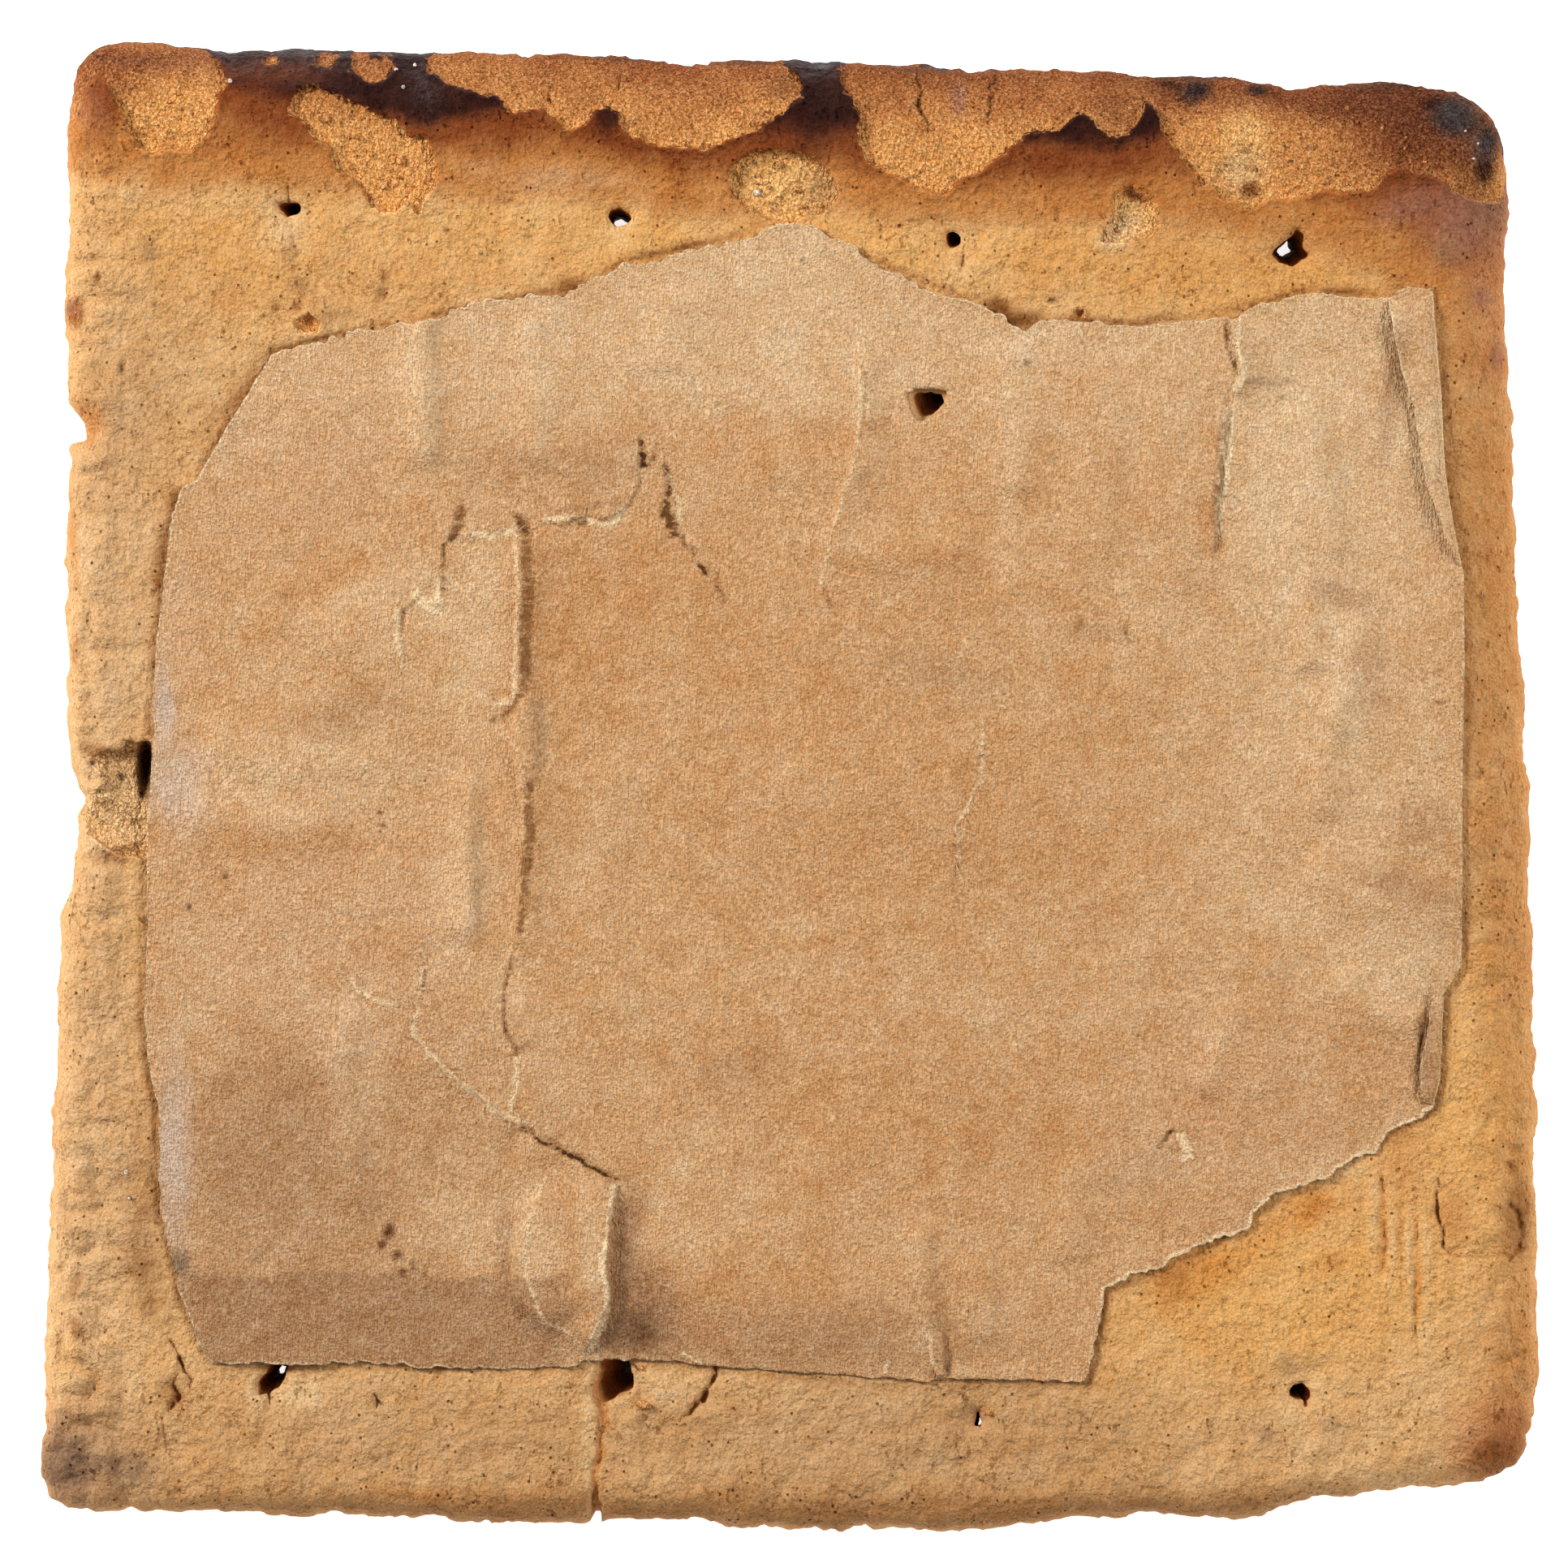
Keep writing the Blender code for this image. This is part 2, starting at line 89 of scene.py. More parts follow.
# Where the mesh is finest: distances to flakes, to cracks and creases, to rims of holes
# and of the label, and to the base's rim; then how much coarser it is under the label.
FLAKE_MARGIN = 0.5
LINE_MARGIN = 0.6
RIM_MARGIN = 0.7
BASE_MARGIN = 5.0
SHARP_FOLD = 0.7
COVERED_SPACINGS = ((0.7, 4.0), (1.6, 8.0))

# How far beyond a form its surroundings are looked at.
LOOP_REACH = 1.0
CHAIN_REACH = 1.5
CRACK_REACH = 1.6
PATCH_REACH = 2.0
DIMPLE_REACH = 5.0
# The same, as a share of the form's own size.
HOLLOW_REACH = 1.3
HOLLOW_SHIFT = 0.3
MOUND_REACH = 2.2
PORE_REACH = 3.0
FOLD_REACH = 2.3
TEAR_REACH = 2.6
GLUE_SHADOW_REACH = 2.5
STROKE_REACH = 1.7
STROKE_STRAY = 0.8
# How much of their shift small strokes take on, for each millimetre of their width.
STROKE_SHIFT = 1.2

# The slab as baked: its crown, its swelling and its rolled edge.
THICKNESS = 10.0
CROWN_DROP = 0.55
CROWN_RADIUS = 62.0
SWELL = (0.35, 24.0, 2)
ROLL_DROP = 0.62
ROLL_POWER = 2.2
ROLL_STEP = 1.2

# Outline seen from above, clockwise from the upper left: x, y, width of the rolled edge.
BISCUIT_OUTLINE = (
    (-45.1, 47.1, 4), (-42.5, 47.9, 4.5), (-38.5, 47.5, 5.5), (-35, 47, 6), (-32, 47.15, 6.2),
    (-24, 47.1, 6.5), (-15, 47.1, 6.5), (-8.4, 46.8, 6.2), (-6.5, 46.7, 6.2), (-4.5, 46.65, 6.2),
    (3, 46.4, 6.2), (12, 46, 6.5), (16, 46, 6.5), (20, 45.75, 6.5), (23.5, 45.75, 6.4),
    (26.5, 45.65, 6.2), (32.8, 44.85, 6), (39, 45.2, 6), (42.7, 44.75, 5.5), (45.3, 43.25, 5),
    (46.1, 40.7, 4.8), (46.25, 37, 4.6), (45.9, 32.5, 4.6), (46.1, 28, 4.6), (46.5, 21, 4.6),
    (46.7, 13, 4.6), (47.1, 5, 4.6), (47.5, -5, 4.6), (47.7, -13, 4.5), (47.95, -20, 4.2),
    (47.9, -24, 4), (48, -38, 3.5), (47.8, -41.5, 3.2), (46.6, -43.8, 3), (44.4, -44.8, 2.6),
    (39, -44.95, 2.2), (32.5, -45.9, 2), (31.2, -46.8, 2), (27.4, -47, 2), (23, -46.7, 2),
    (18.5, -46.7, 2), (16, -47.2, 2), (13, -47.6, 2), (9, -47.8, 2), (3, -47.6, 2),
    (-1.5, -47.55, 2), (-4.5, -47.35, 2), (-8, -47, 2), (-16, -47.3, 2), (-24, -46.8, 2),
    (-37, -46.55, 2), (-44.8, -46.4, 2.4), (-47.4, -45.9, 2.6), (-48.1, -44, 2.6),
    (-47.5, -40.5, 2.5), (-47.9, -37, 2.5), (-47.2, -29, 2.5), (-47.25, -24.5, 2.5),
    (-46.75, -14, 2.5), (-46.4, -7.6, 2.5), (-45.55, -6.2, 2.3), (-45.85, -4, 2.2),
    (-45.1, -0.9, 2), (-46.2, 2.2, 2.2), (-46.3, 8, 2.5), (-46.3, 16, 2.5), (-46, 21, 2.5),
    (-46.2, 26, 2.5), (-46.2, 30.5, 2.5), (-46.15, 35, 2.5), (-46.3, 40.5, 3), (-46.05, 45.5, 3.6),
)
# Bites out of the rim: x, y, half width along the edge, depth, how steep its ends are.
NOTCHES = (
    (-46.1, 23.3, 1.25, 1.15, 1.25), (-45.2, -0.9, 0.8, 0.3, 1.25), (-12.4, -47.3, 0.34, 1, 1.25),
    (-6.5, 46.6, 1.5, 0.28, 4), (31.3, -46.6, 0.8, 0.3, 1.25), (-45.9, 3.7, 0.5, 0.2, 1.25),
    (-16.9, 47.2, 0.6, 0.14, 4), (33, 44.9, 1.3, 0.2, 3), (12, 46, 0.8, 0.14, 4),
    (41.8, 44.8, 1, 0.2, 3), (4.6, -47.6, 0.7, 0.3, 2), (-42.5, -46.4, 0.5, 0.2, 3),
    (-29, -46.7, 0.6, 0.25, 3), (-19.5, -47, 0.5, 0.2, 3),
)
NOTCH_FLOOR = 0.2
OUTLINE_STEP = 0.5
OUTLINE_SMOOTHING = 3
OUTLINE_GROWTH = 0.12
EDGE_SPACING = 0.25
# Raggedness of the outline: its depth, then the share, size and number of each noise.
RAGGED_DEPTH = 0.12
RAGGED = ((1.0, 2.6, 0), (0.5, 2.6 * 0.45, 1))
# Teeth of the outline: size, depth and number of the noise.
EDGE_TEETH = ((1.3, 0.05, 5), (0.55, 0.08, 6))
# The teeth are low above one y and deep below another: y, share of their depth.
LOW_TEETH = (44.0, 0.5)
DEEP_TEETH = (-40.0, 1.6)
# Chips: depth of a step, number of steps, size and number of the noise.
CHIPS = (0.1, 1.7, 1.9, 7)
# How often an outline's corners are evened out before it tells which way is outward.
TOOTH_PASSES = 6

RIM_INSET = 0.75
# The side, from rim to base: share of the rim's height, inset from the outline.
SIDE_PROFILE = (
    (1, 0.75), (0.965, 0.5), (0.91, 0.3), (0.84, 0.15), (0.75, 0.06), (0.66, 0.02), (0.57, 0),
    (0.48, 0), (0.39, 0.05), (0.3, 0.14), (0.22, 0.28), (0.14, 0.5), (0.07, 0.82), (0.025, 1.15),
    (0, 1.5),
)
# Lumps and layers of the side: depth, size and number of the noise, stretch.
SIDE_LAYERS = ((0.14, 2.9, 80), (0.10, 1.1, 81), (0.08, 0.5, 82), (0.1, 1.0, 84, 0.35, 0.35, 1.6))
SIDE_GAIN = 1.6
# Evening passes: of the rim, of the outline at the base, and of the outward directions.
RIM_PASSES = 6
BASE_PASSES = 50
OUTWARD_PASSES = (60, 10)
# The side's outline follows the teeth below the rim and evens out towards the base.
TEETH_BELOW = 5.0
EVEN_BELOW = (1.25, 2.0)
# Bare crumb on the side: how fast skin takes over downwards, and the noise of its limit.
SKIN_OVER = 2.4
SKIN_LIMIT = (0.5, 2.2, 86)

# Lower limit of the crust that has flaked off along the scorched edge, left to right.
CRUST_LINE = (
    (-48.5, 40.6), (-46.6, 42), (-45.6, 43.4), (-45, 45), (-44.3, 45.7), (-43.6, 45.2), (-43.1, 44),
    (-42.6, 42.8), (-42.3, 41.9), (-41.6, 41), (-40.6, 40.6), (-39.2, 40.7), (-38.1, 40.6),
    (-37.3, 41.6), (-37, 42.6), (-36.6, 43.9), (-36, 45.2), (-36.5, 46.3), (-37.2, 46.9),
    (-37.4, 50), (-23.4, 50), (-23.3, 46.7), (-23.1, 45.9), (-22.4, 45.5), (-21.2, 44.7),
    (-20, 44.4), (-18.8, 44.2), (-17.9, 43.4), (-16.8, 43.2), (-15.6, 43.4), (-14.9, 42.9),
    (-14.5, 42.2), (-13.9, 42), (-12.9, 42.5), (-12.2, 43.2), (-11.5, 43.5), (-11, 43.2),
    (-10.8, 42.3), (-10.2, 41.7), (-9.4, 41.2), (-8.2, 40.95), (-6.5, 40.9), (-5, 40.95),
    (-4, 41.3), (-3, 41.7), (-1.9, 42.1), (-1, 42.9), (0.1, 43.6), (0.7, 44.2), (0.8, 45.2),
    (0, 46.2), (0, 50), (3.1, 50), (3.1, 46.1), (3.4, 45.2), (4.1, 44), (4.5, 42.4), (4.7, 41),
    (5, 40), (5.8, 39.4), (7, 38.8), (8.3, 38.3), (9.6, 38.05), (10.3, 38), (10.8, 38.6),
    (11.8, 39.1), (13, 39.8), (14.1, 40.7), (14.9, 41.5), (15.8, 41.9), (17.3, 42), (18, 42.7),
    (18.8, 42.95), (19.6, 42.6), (20.1, 41.8), (21, 41.6), (21.8, 41.8), (22.3, 42.6), (23.1, 43.8),
    (23.7, 42.9), (24.1, 41.7), (24.8, 40.6), (25.5, 39.7), (26.4, 38.7), (27.4, 38), (28.6, 37.4),
    (30, 37.3), (31.6, 37.6), (33, 37.7), (34.2, 38.2), (36.2, 38.1), (37.6, 38.3), (38.3, 39.2),
    (39.2, 39.5), (40.1, 39.2), (41.3, 38.8), (42.3, 38.2), (43.4, 37.7), (45.2, 37.5),
    (48.5, 37.3),
)
# Smaller patches without skin, as closed outlines.
FLAKED_PATCHES = (
    ((-31.5, 44.5), (-30.4, 44.9), (-28.9, 44.2), (-27.6, 43.6), (-26.6, 43.2), (-25.6, 42.9),
     (-24.6, 42.1), (-23.4, 41.3), (-22.4, 39.5), (-22.7, 38.3), (-23.7, 36.5), (-24.5, 37.4),
     (-25.1, 36.7), (-25.9, 36.5), (-26.9, 37.4), (-27.5, 38.4), (-29.1, 39.5), (-29.4, 40.8),
     (-30.6, 41.6), (-31, 42.5), (-32.1, 43.2)),
    ((-28, 46.8), (-25.6, 46.9), (-25.4, 46), (-26.2, 45.3), (-27.3, 45.2), (-28.1, 45.9)),
    ((-30.8, 46.8), (-29.8, 47), (-29.1, 46.6), (-29.5, 46.2), (-30.4, 46.2)),
    ((-33.6, 46.7), (-33, 46.9), (-32.7, 46.5), (-33.1, 46.2), (-33.6, 46.3)),
    ((-3.8, 39), (-3.3, 39.8), (-2.4, 40.3), (-0.9, 40.8), (0.6, 40.7), (1.9, 40), (2.9, 39.1),
     (3.3, 38.1), (2.8, 37.2), (1.6, 36.5), (0.3, 36), (-0.8, 36), (-2, 36.5), (-3.1, 37.4),
     (-3.8, 38.3)),
    ((21.2, 38), (21.9, 38.3), (22.6, 37.9), (23.2, 37.3), (23.8, 36.8), (23.8, 36.1), (23.2, 35.3),
     (22.4, 34.9), (21.2, 34.7), (20.1, 34.8), (20.1, 35.5), (20.8, 36.1), (21.1, 37)),
    ((-31.4, 29.7), (-30.6, 30), (-30, 29.7), (-30.1, 28.9), (-31.1, 28.7)),
    ((18.3, 30.4), (18.9, 30.5), (18.9, 30.1), (18.4, 30)),
    ((-46.2, 31), (-45.7, 30.9), (-45.5, 30.2), (-45.9, 29.3), (-46.4, 29.5)),
    ((-44.9, 1.6), (-43.9, 2.2), (-42.4, 2.7), (-40.4, 2.9), (-40.4, -4.6), (-42.6, -4.4),
     (-44.2, -3.6), (-45.2, -2.2), (-44.7, -0.6), (-43.8, 0.4)),
)
# What lies above the line has flaked off, so corners far above it close its ring.
SKY_CORNERS = ((60.0, 60.0), (-60.0, 60.0))
FLAKED_ABOVE = 34.0
FLAKE_DEPTH = 0.42
FLAKE_STEP = 0.16
BARE_SPREAD = 0.8
# The skin's raised lip along the flaked patches: height, place and width.
LIP = (0.13, 0.2, 0.17)

# Hollows: x, y, half width, half height, turn, depth, share with a flat floor.
HOLLOWS = (
    (-0.2, 38.4, 3.9, 2.7, 0, 0.3, 0.55), (-26, 40.6, 3, 3.4, -35, 0.25, 0.4),
    (22.4, 37.3, 1.4, 1.2, -30, 0.4, 0.4), (21.8, 35.8, 2, 1.3, -10, 0.18, 0.4),
    (29.3, 39.3, 1.8, 2.6, 5, 0.35, 0.4), (29.3, 38.1, 0.7, 0.5, 0, 0.35, 0.2),
    (-42.2, 0.9, 1.9, 1.9, 0, 0.5, 0.35), (-41, 1, 0.8, 1.9, 0, 1.6, 0.4),
    (-43.2, -2.3, 2, 1.6, 0, 0.3, 0.3), (46.15, -24.4, 0.55, 0.4, 0, 0.9, 0.4),
    (46.4, -23.5, 0.3, 0.5, -20, 0.6, 0.4), (-44.3, 32.5, 0.14, 0.6, -12, 0.3, 0.3),
    (-42.8, 26.8, 0.16, 0.42, 0, 0.32, 0.3), (-25.9, 32.7, 0.28, 0.35, 0, 0.22, 0.3),
    (-25.95, 31.6, 0.3, 0.4, 0, 0.22, 0.3), (-25.8, 31, 0.2, 0.2, 0, 0.2, 0.3),
    (34.7, -32.4, 0.18, 0.4, -10, 0.28, 0.3), (16.8, 31.1, 0.25, 0.12, 30, 0.25, 0.3),
    (12, -40.4, 1.7, 1.1, 0, 0.35, 0.2), (10.4, -40.5, 0.5, 0.4, 20, 0.2, 0.3),
    (-9.3, -39.2, 0.9, 1.2, 10, 0.25, 0.2), (45.9, -1, 0.5, 1, 0, 0.12, 0.3),
    (45.9, -4.3, 0.5, 0.9, 0, 0.12, 0.3), (-45.6, 17, 0.35, 1.6, 5, 0.22, 0.3),
    (-45.7, 12, 0.35, 1.3, -4, 0.22, 0.3), (-45.8, 7.2, 0.35, 0.7, 0, 0.25, 0.3),
    (-45.8, -10.8, 0.35, 0.9, 0, 0.2, 0.3), (-46, -15.5, 0.3, 1.1, 0, 0.2, 0.3),
    (-45.5, -31.9, 0.45, 0.9, -25, 0.2, 0.3), (-45.7, -34.2, 0.6, 0.9, 20, 0.2, 0.3),
    (33.5, -37.5, 1.6, 1, 20, 0.2, 0.2), (31.8, -37, 0.35, 0.5, 30, 0.16, 0.3),
)
# The hollows' rims reach a little beyond their ovals.
HOLLOW_RIM = 1.15
# Low mounds: x, y, half width, half height, turn, height.
MOUNDS = (
    (-9.6, 35, 0.5, 1.4, -15, 0.22), (-32.4, 35.4, 0.9, 1.6, 0, 0.14),
    (-31, 35.8, 0.6, 1.3, 20, 0.12), (9.6, 33.4, 0.5, 1.7, 20, 0.14),
    (12.2, 33.2, 0.6, 1.9, -28, 0.14), (11.4, 36.2, 0.4, 0.8, 0, 0.12),
    (-9.4, -39.9, 0.7, 0.5, 20, 0.35), (-9.9, -38.9, 0.35, 0.5, 0, 0.3),
    (-5.6, -40.3, 1, 0.5, 10, 0.25), (-8, -38.4, 1.7, 1.2, -20, 0.2),
    (34, -40.2, 0.5, 1.2, 30, 0.14), (32.2, -40.6, 0.4, 1.1, -10, 0.12),
    (13.2, -40, 0.6, 0.5, 0, 0.2), (11, -39.6, 0.5, 0.4, 0, 0.18), (-42.9, -3.4, 1.2, 0.5, 10, 0.3),
    (-43.8, -0.6, 1.1, 0.5, 0, 0.25), (32.4, 36.6, 1.5, 0.6, 15, 0.16),
    (33.9, 35.2, 0.4, 1, -20, 0.14), (-31.6, -38.4, 0.6, 1.2, -30, 0.16),
    (-33.9, -39.8, 0.7, 0.9, 20, 0.14), (46, 13, 0.9, 1.8, 0, 0.16), (46.4, 6, 0.8, 2, 0, 0.14),
    (45.4, -14.6, 0.8, 1.4, 0, 0.14), (37.5, -27.6, 0.32, 3.2, 0, 0.24),
    (38.7, -28.6, 0.3, 3.8, 0, 0.24), (39.7, -30.6, 0.3, 3.6, 0, 0.24),
    (40.8, -31.4, 0.32, 4, 0, 0.22), (36.4, -26.6, 0.3, 1.8, 0, 0.2), (42, -33, 0.3, 2.6, 0, 0.16),
    (44.4, -27.2, 1.9, 2.4, 0, 0.16),
)
# Cracks in the crust, their insides darkened by painted shade: darkness, then x, y, half
# width, depth along each.
CRUST_CRACKS = (
    (0.2, ((-12.2, -38.8, 0.42, 0.6), (-11.85, -39.9, 0.3, 0.4), (-11.65, -40.9, 0.24, 0.28),
        (-12.1, -41.7, 0.18, 0.26), (-12, -42.9, 0.24, 0.28), (-12.45, -44, 0.19, 0.26),
        (-12.3, -45, 0.26, 0.35), (-12.45, -46.2, 0.22, 0.8), (-12.45, -47.9, 0.26, 3))),
    (0.3, ((-4.6, -36.7, 0.1, 0.6), (-4.6, -37.7, 0.1, 0.6), (-5.2, -38.5, 0.14, 0.7),
        (-5.5, -39.2, 0.2, 0.9), (-6.1, -39.7, 0.14, 0.7), (-6.4, -40.2, 0.16, 0.8),
        (-6.85, -40.6, 0.1, 0.5))),
    (0.2, ((-6.9, -40.6, 0.05, 0.2), (-8.4, -40.8, 0.05, 0.16), (-9.4, -40.3, 0.06, 0.2))),
    (0.4, ((-39.6, -35.4, 0.06, 0.4), (-39.1, -36.3, 0.12, 0.6), (-38.8, -37.1, 0.1, 0.6),
        (-38.25, -38, 0.12, 0.6), (-38.4, -38.6, 0.05, 0.3))),
    (0.35, ((-39.15, -37.6, 0.06, 0.3), (-39.4, -38.4, 0.12, 0.5), (-39, -39.1, 0.22, 0.6),
        (-39.6, -39.9, 0.07, 0.4))),
    (0.4, ((-40.05, -40.4, 0.05, 0.3), (-39.95, -41.8, 0.1, 0.4))),
    (0.8, ((-26.45, -38.9, 0.05, 0.4), (-26.3, -39.4, 0.07, 0.5), (-26, -39.55, 0.04, 0.3))),
    (0.8, ((-26.3, -39.4, 0.05, 0.4), (-26.35, -39.9, 0.04, 0.3))),
    (0.1, ((38, -25, 0.05, 0.16), (38.05, -27.4, 0.07, 0.2), (38.2, -29.2, 0.08, 0.2),
        (38, -30.6, 0.06, 0.2))),
    (0.1, ((40.2, -25.6, 0.04, 0.16), (40.25, -29, 0.06, 0.2))),
    (0.1, ((40.1, -31, 0.05, 0.16), (40.15, -33.8, 0.08, 0.2), (40.3, -36.6, 0.05, 0.16))),
    (0.55, ((41.5, -26, 0.07, 0.4), (41.55, -27.2, 0.13, 0.7), (41.75, -28.5, 0.1, 0.5),
        (41.95, -29.5, 0.07, 0.35))),
    (0.3, ((41.95, -29.5, 0.06, 0.25), (42.6, -30, 0.06, 0.2), (44.2, -30.2, 0.05, 0.16),
        (46.3, -30.1, 0.05, 0.2), (47.2, -29.6, 0.08, 0.3))),
    (0.3, ((41.55, -25.2, 0.05, 0.2), (41.8, -25.9, 0.05, 0.2))),
    (0.35, ((46.2, -26.8, 0.12, 0.35), (46.9, -27.5, 0.14, 0.5), (47, -28.6, 0.13, 0.5),
        (46.8, -29.5, 0.1, 0.4), (46.2, -30.4, 0.08, 0.25))),
    (0.8, ((8, 45.9, 0.06, 0.2), (8.15, 45.3, 0.08, 0.25), (8.5, 44.6, 0.07, 0.25),
        (8.3, 43.7, 0.13, 0.3), (8.6, 43.1, 0.09, 0.25), (8.85, 42.7, 0.05, 0.2),
        (8.9, 41.9, 0.03, 0.15))),
    (0.8, ((13.4, 45.8, 0.1, 0.25), (13.3, 45.2, 0.08, 0.25), (12.9, 44.9, 0.09, 0.25),
        (13.1, 44.3, 0.08, 0.25), (12.85, 43.9, 0.08, 0.2), (12.9, 43.3, 0.06, 0.2),
        (12.75, 43, 0.06, 0.2), (12.75, 42.2, 0.03, 0.15))),
    (0.7, ((-10.95, 46.3, 0.05, 0.3), (-10.85, 45.4, 0.05, 0.3), (-10.95, 44.6, 0.03, 0.2))),
    (0.7, ((-15.2, 45, 0.05, 0.3), (-15.4, 44.2, 0.05, 0.3), (-15, 43.5, 0.03, 0.2))),
    (0.5, ((-31.95, 38.4, 0.04, 0.2), (-31.9, 37.3, 0.08, 0.5))),
    (0.3, ((11.1, 34.6, 0.05, 0.3), (11.1, 33.1, 0.05, 0.25), (10.95, 32.3, 0.03, 0.15))),
    (0.3, ((9.7, 36.5, 0.04, 0.15), (9.9, 35.9, 0.05, 0.2))),
    (0.3, ((10.9, 36.3, 0.04, 0.15), (11.1, 35.6, 0.05, 0.2))),
    (0.7, ((-33.3, -38.9, 0.1, 0.9), (-33.2, -39.7, 0.04, 0.3))),
    (0.3, ((-3.5, 39.3, 0.14, 0.25), (-3.3, 38.7, 0.06, 0.15))),
    (0.25, ((23.85, 36.9, 0.06, 0.2), (23.65, 35.8, 0.08, 0.25), (23.1, 35.1, 0.05, 0.15))),
)
CRACK_SPREAD = 0.5
# Walls of a crack: start and width as shares of the half width, and least width.
CRACK_WALLS = (0.45, 0.9, 0.05)
# Cracks thinner than a half width come and go: share, gain, size and number of the noise.
BROKEN_BELOW = 0.19
BROKEN = (0.75, 1.1, 0.55, 35)
BROKEN_WIDTH = 0.6

# Pores: how many, the number of the draw, then the ranges of x and y, radius, depth,
# stretch and turn.
PORES = (700, 60, (-47.0, 47.0), (0.12, 0.28), (0.05, 0.16), (0.6, 1.8), (-30, 30))
# What is left of the pores' depth in the bare crumb.
CRUMB_PORES = 0.85

# Docking holes: leaning x, y from top to base, share of the ring left at the base, ring.
DOCKING_HOLES = (
    (1.3, 0.1, 0.55, ((-32.8, 37.3), (-32.4, 37.45), (-31.6, 37.4), (-31.25, 37.2), (-31.25, 36.8),
        (-31.6, 36.6), (-32.1, 36.4), (-32.5, 36.7), (-32.8, 37))),
    (0, -0.2, 0.7, ((-11.55, 36.5), (-11.4, 36.9), (-10.9, 37.05), (-10.5, 36.9), (-10.1, 36.7),
        (-10, 36.3), (-10.4, 36), (-10.9, 35.75), (-11.3, 36.05))),
    (0.8, 1, 0.6, ((9.95, 35.1), (10.1, 35.35), (10.55, 35.5), (10.95, 35.3), (11, 34.8),
        (10.8, 34.5), (10.4, 34.35), (10.1, 34.6))),
    (-0.35, 0.5, 0.5, ((30.85, 33.95), (31, 34.3), (31.5, 34.7), (32, 35.1), (32.5, 35.6),
        (33, 35.3), (33.05, 34.5), (33.5, 33.95), (32.9, 33.6), (32.3, 33.2), (31.6, 33.45))),
    (1.9, 1.4, 0.4, ((7.9, 24.9), (8.3, 25.2), (9.2, 25.2), (9.8, 25.1), (10, 24.6), (9.7, 24.1),
        (9.2, 23.8), (8.6, 23.6), (8.2, 23.7), (8, 24.2))),
    (0.55, 0.35, 0.42, ((-34.2, -38.4), (-33.9, -39), (-33.3, -38.9), (-32.6, -38.5),
        (-32.2, -37.8), (-31.9, -36.9), (-33.1, -36.9), (-33.6, -37.7))),
    (2, 0.6, 0.42, ((-12, -36.6), (-10.3, -36.6), (-9.95, -37.5), (-9.9, -38.5), (-10.4, -38.9),
        (-11.2, -39.2), (-11.8, -39.6), (-12.2, -39.3), (-12.6, -38.4), (-12.2, -37.6))),
    (0.3, -0.6, 0.6, ((11.85, -40.9), (12.05, -40.5), (12, -40.1), (12.2, -39.95), (12.25, -40.4),
        (12.4, -40.9), (12.1, -41.05))),
    (-0.7, 1, 0.6, ((32.05, -38.7), (32.3, -38.3), (32.8, -38.2), (33.3, -38.5), (33.45, -38.9),
        (33.4, -39.3), (33.25, -39.85), (33, -39.8), (33, -39.35), (32.5, -39.3), (32.1, -39.1))),
)
HIDDEN_COLUMNS = (-32.5, -11.0, 11.3, 32.5)
HIDDEN_ROWS = (11.5, -13.0)
HIDDEN_RADIUS = 0.7
HIDDEN_LEAN = (0.3, 0.1, 0.75)
HIDDEN_CORNERS = 8
HOLE_SPACING = 0.14
HOLE_RINGS = 9
# Raggedness of a hole's ring and of its wall: depth, size and number of the noise.
HOLE_RAGGED = (0.1, 0.35, 20)
HOLE_WOBBLE = (0.14, 0.6, 90)
HOLE_NARROWING = 1.6
# Painted shade on a hole's wall, darker downwards: at the top, and added down to the base.
HOLE_SHADE = (0.1, 0.45)
HOLE_RIM_DROP = 0.18
HOLE_RIM_WIDTH = 0.16
DIMPLE_RADIUS = 1.9
DIMPLE_DEPTH = 0.3

# Shifts of drawn shapes, so that they lose their evenness: size, depth, number.
FLAKE_WAVER = ((1.1, 0.3, 30), (0.4, 0.16, 32))
CRACK_WAVER = ((1.1, 0.16, 34), (0.35, 0.08, 36))
HOLLOW_WAVER = ((0.8, 0.12, 38),)
MOUND_WAVER = ((0.9, 0.15, 40),)
STROKE_WAVER = ((3.2, 0.45, 110), (0.8, 0.2, 112))
BURN_WAVER = ((1.4, 0.3, 114), (0.45, 0.14, 116))
FOLD_WAVER = ((1.8, 0.22, 130),)
TEAR_WAVER = ((0.5, 0.07, 132),)
FRINGE_WAVER = ((1.1, 0.16, 145), (0.5, 0.1, 140))

# Lumps of the skin: depth, size and number of the noise, stretch.
SKIN_LAYERS = ((0.06, 1.5, 50), (0.05, 0.7, 51), (0.05, 0.75, 57, 1.0, 0.45))
# Grains of the bare crumb, as shares of the grain height, then its broad lumps.
GRAIN_LAYERS = ((1.3, 0.6, 54, 1.0, 0.6), (1.0, 0.34, 55, 1.0, 0.7))
CRUMB_LUMPS = (0.1, 1.4, 56)
# Pebbly skin: its waver, size and number, and its height at the left, at the bottom,
# at the right and anywhere.
PEBBLES = (
    (((0.8, 0.2, 58),), 1.9, 52, 0.7, 0.25, 0.4, 0.1),
    (((0.5, 0.12, 59),), 0.95, 53, 0.35, 0.22, 0.2, 0.05),
)
# Where the skin turns pebbly: the line at which it starts, and how fast.
PEBBLY_LEFT = (-41.5, 3.0)
PEBBLY_BELOW = (-38.0, 6.0)
PEBBLY_RIGHT = (43.0, 2.5)
# The crust under the label is smooth: how far from its rim that starts, and how fast.
COVERED = (0.45, 0.75)
COVERED_DROP = 0.05
LEAST_HEIGHT = 0.6
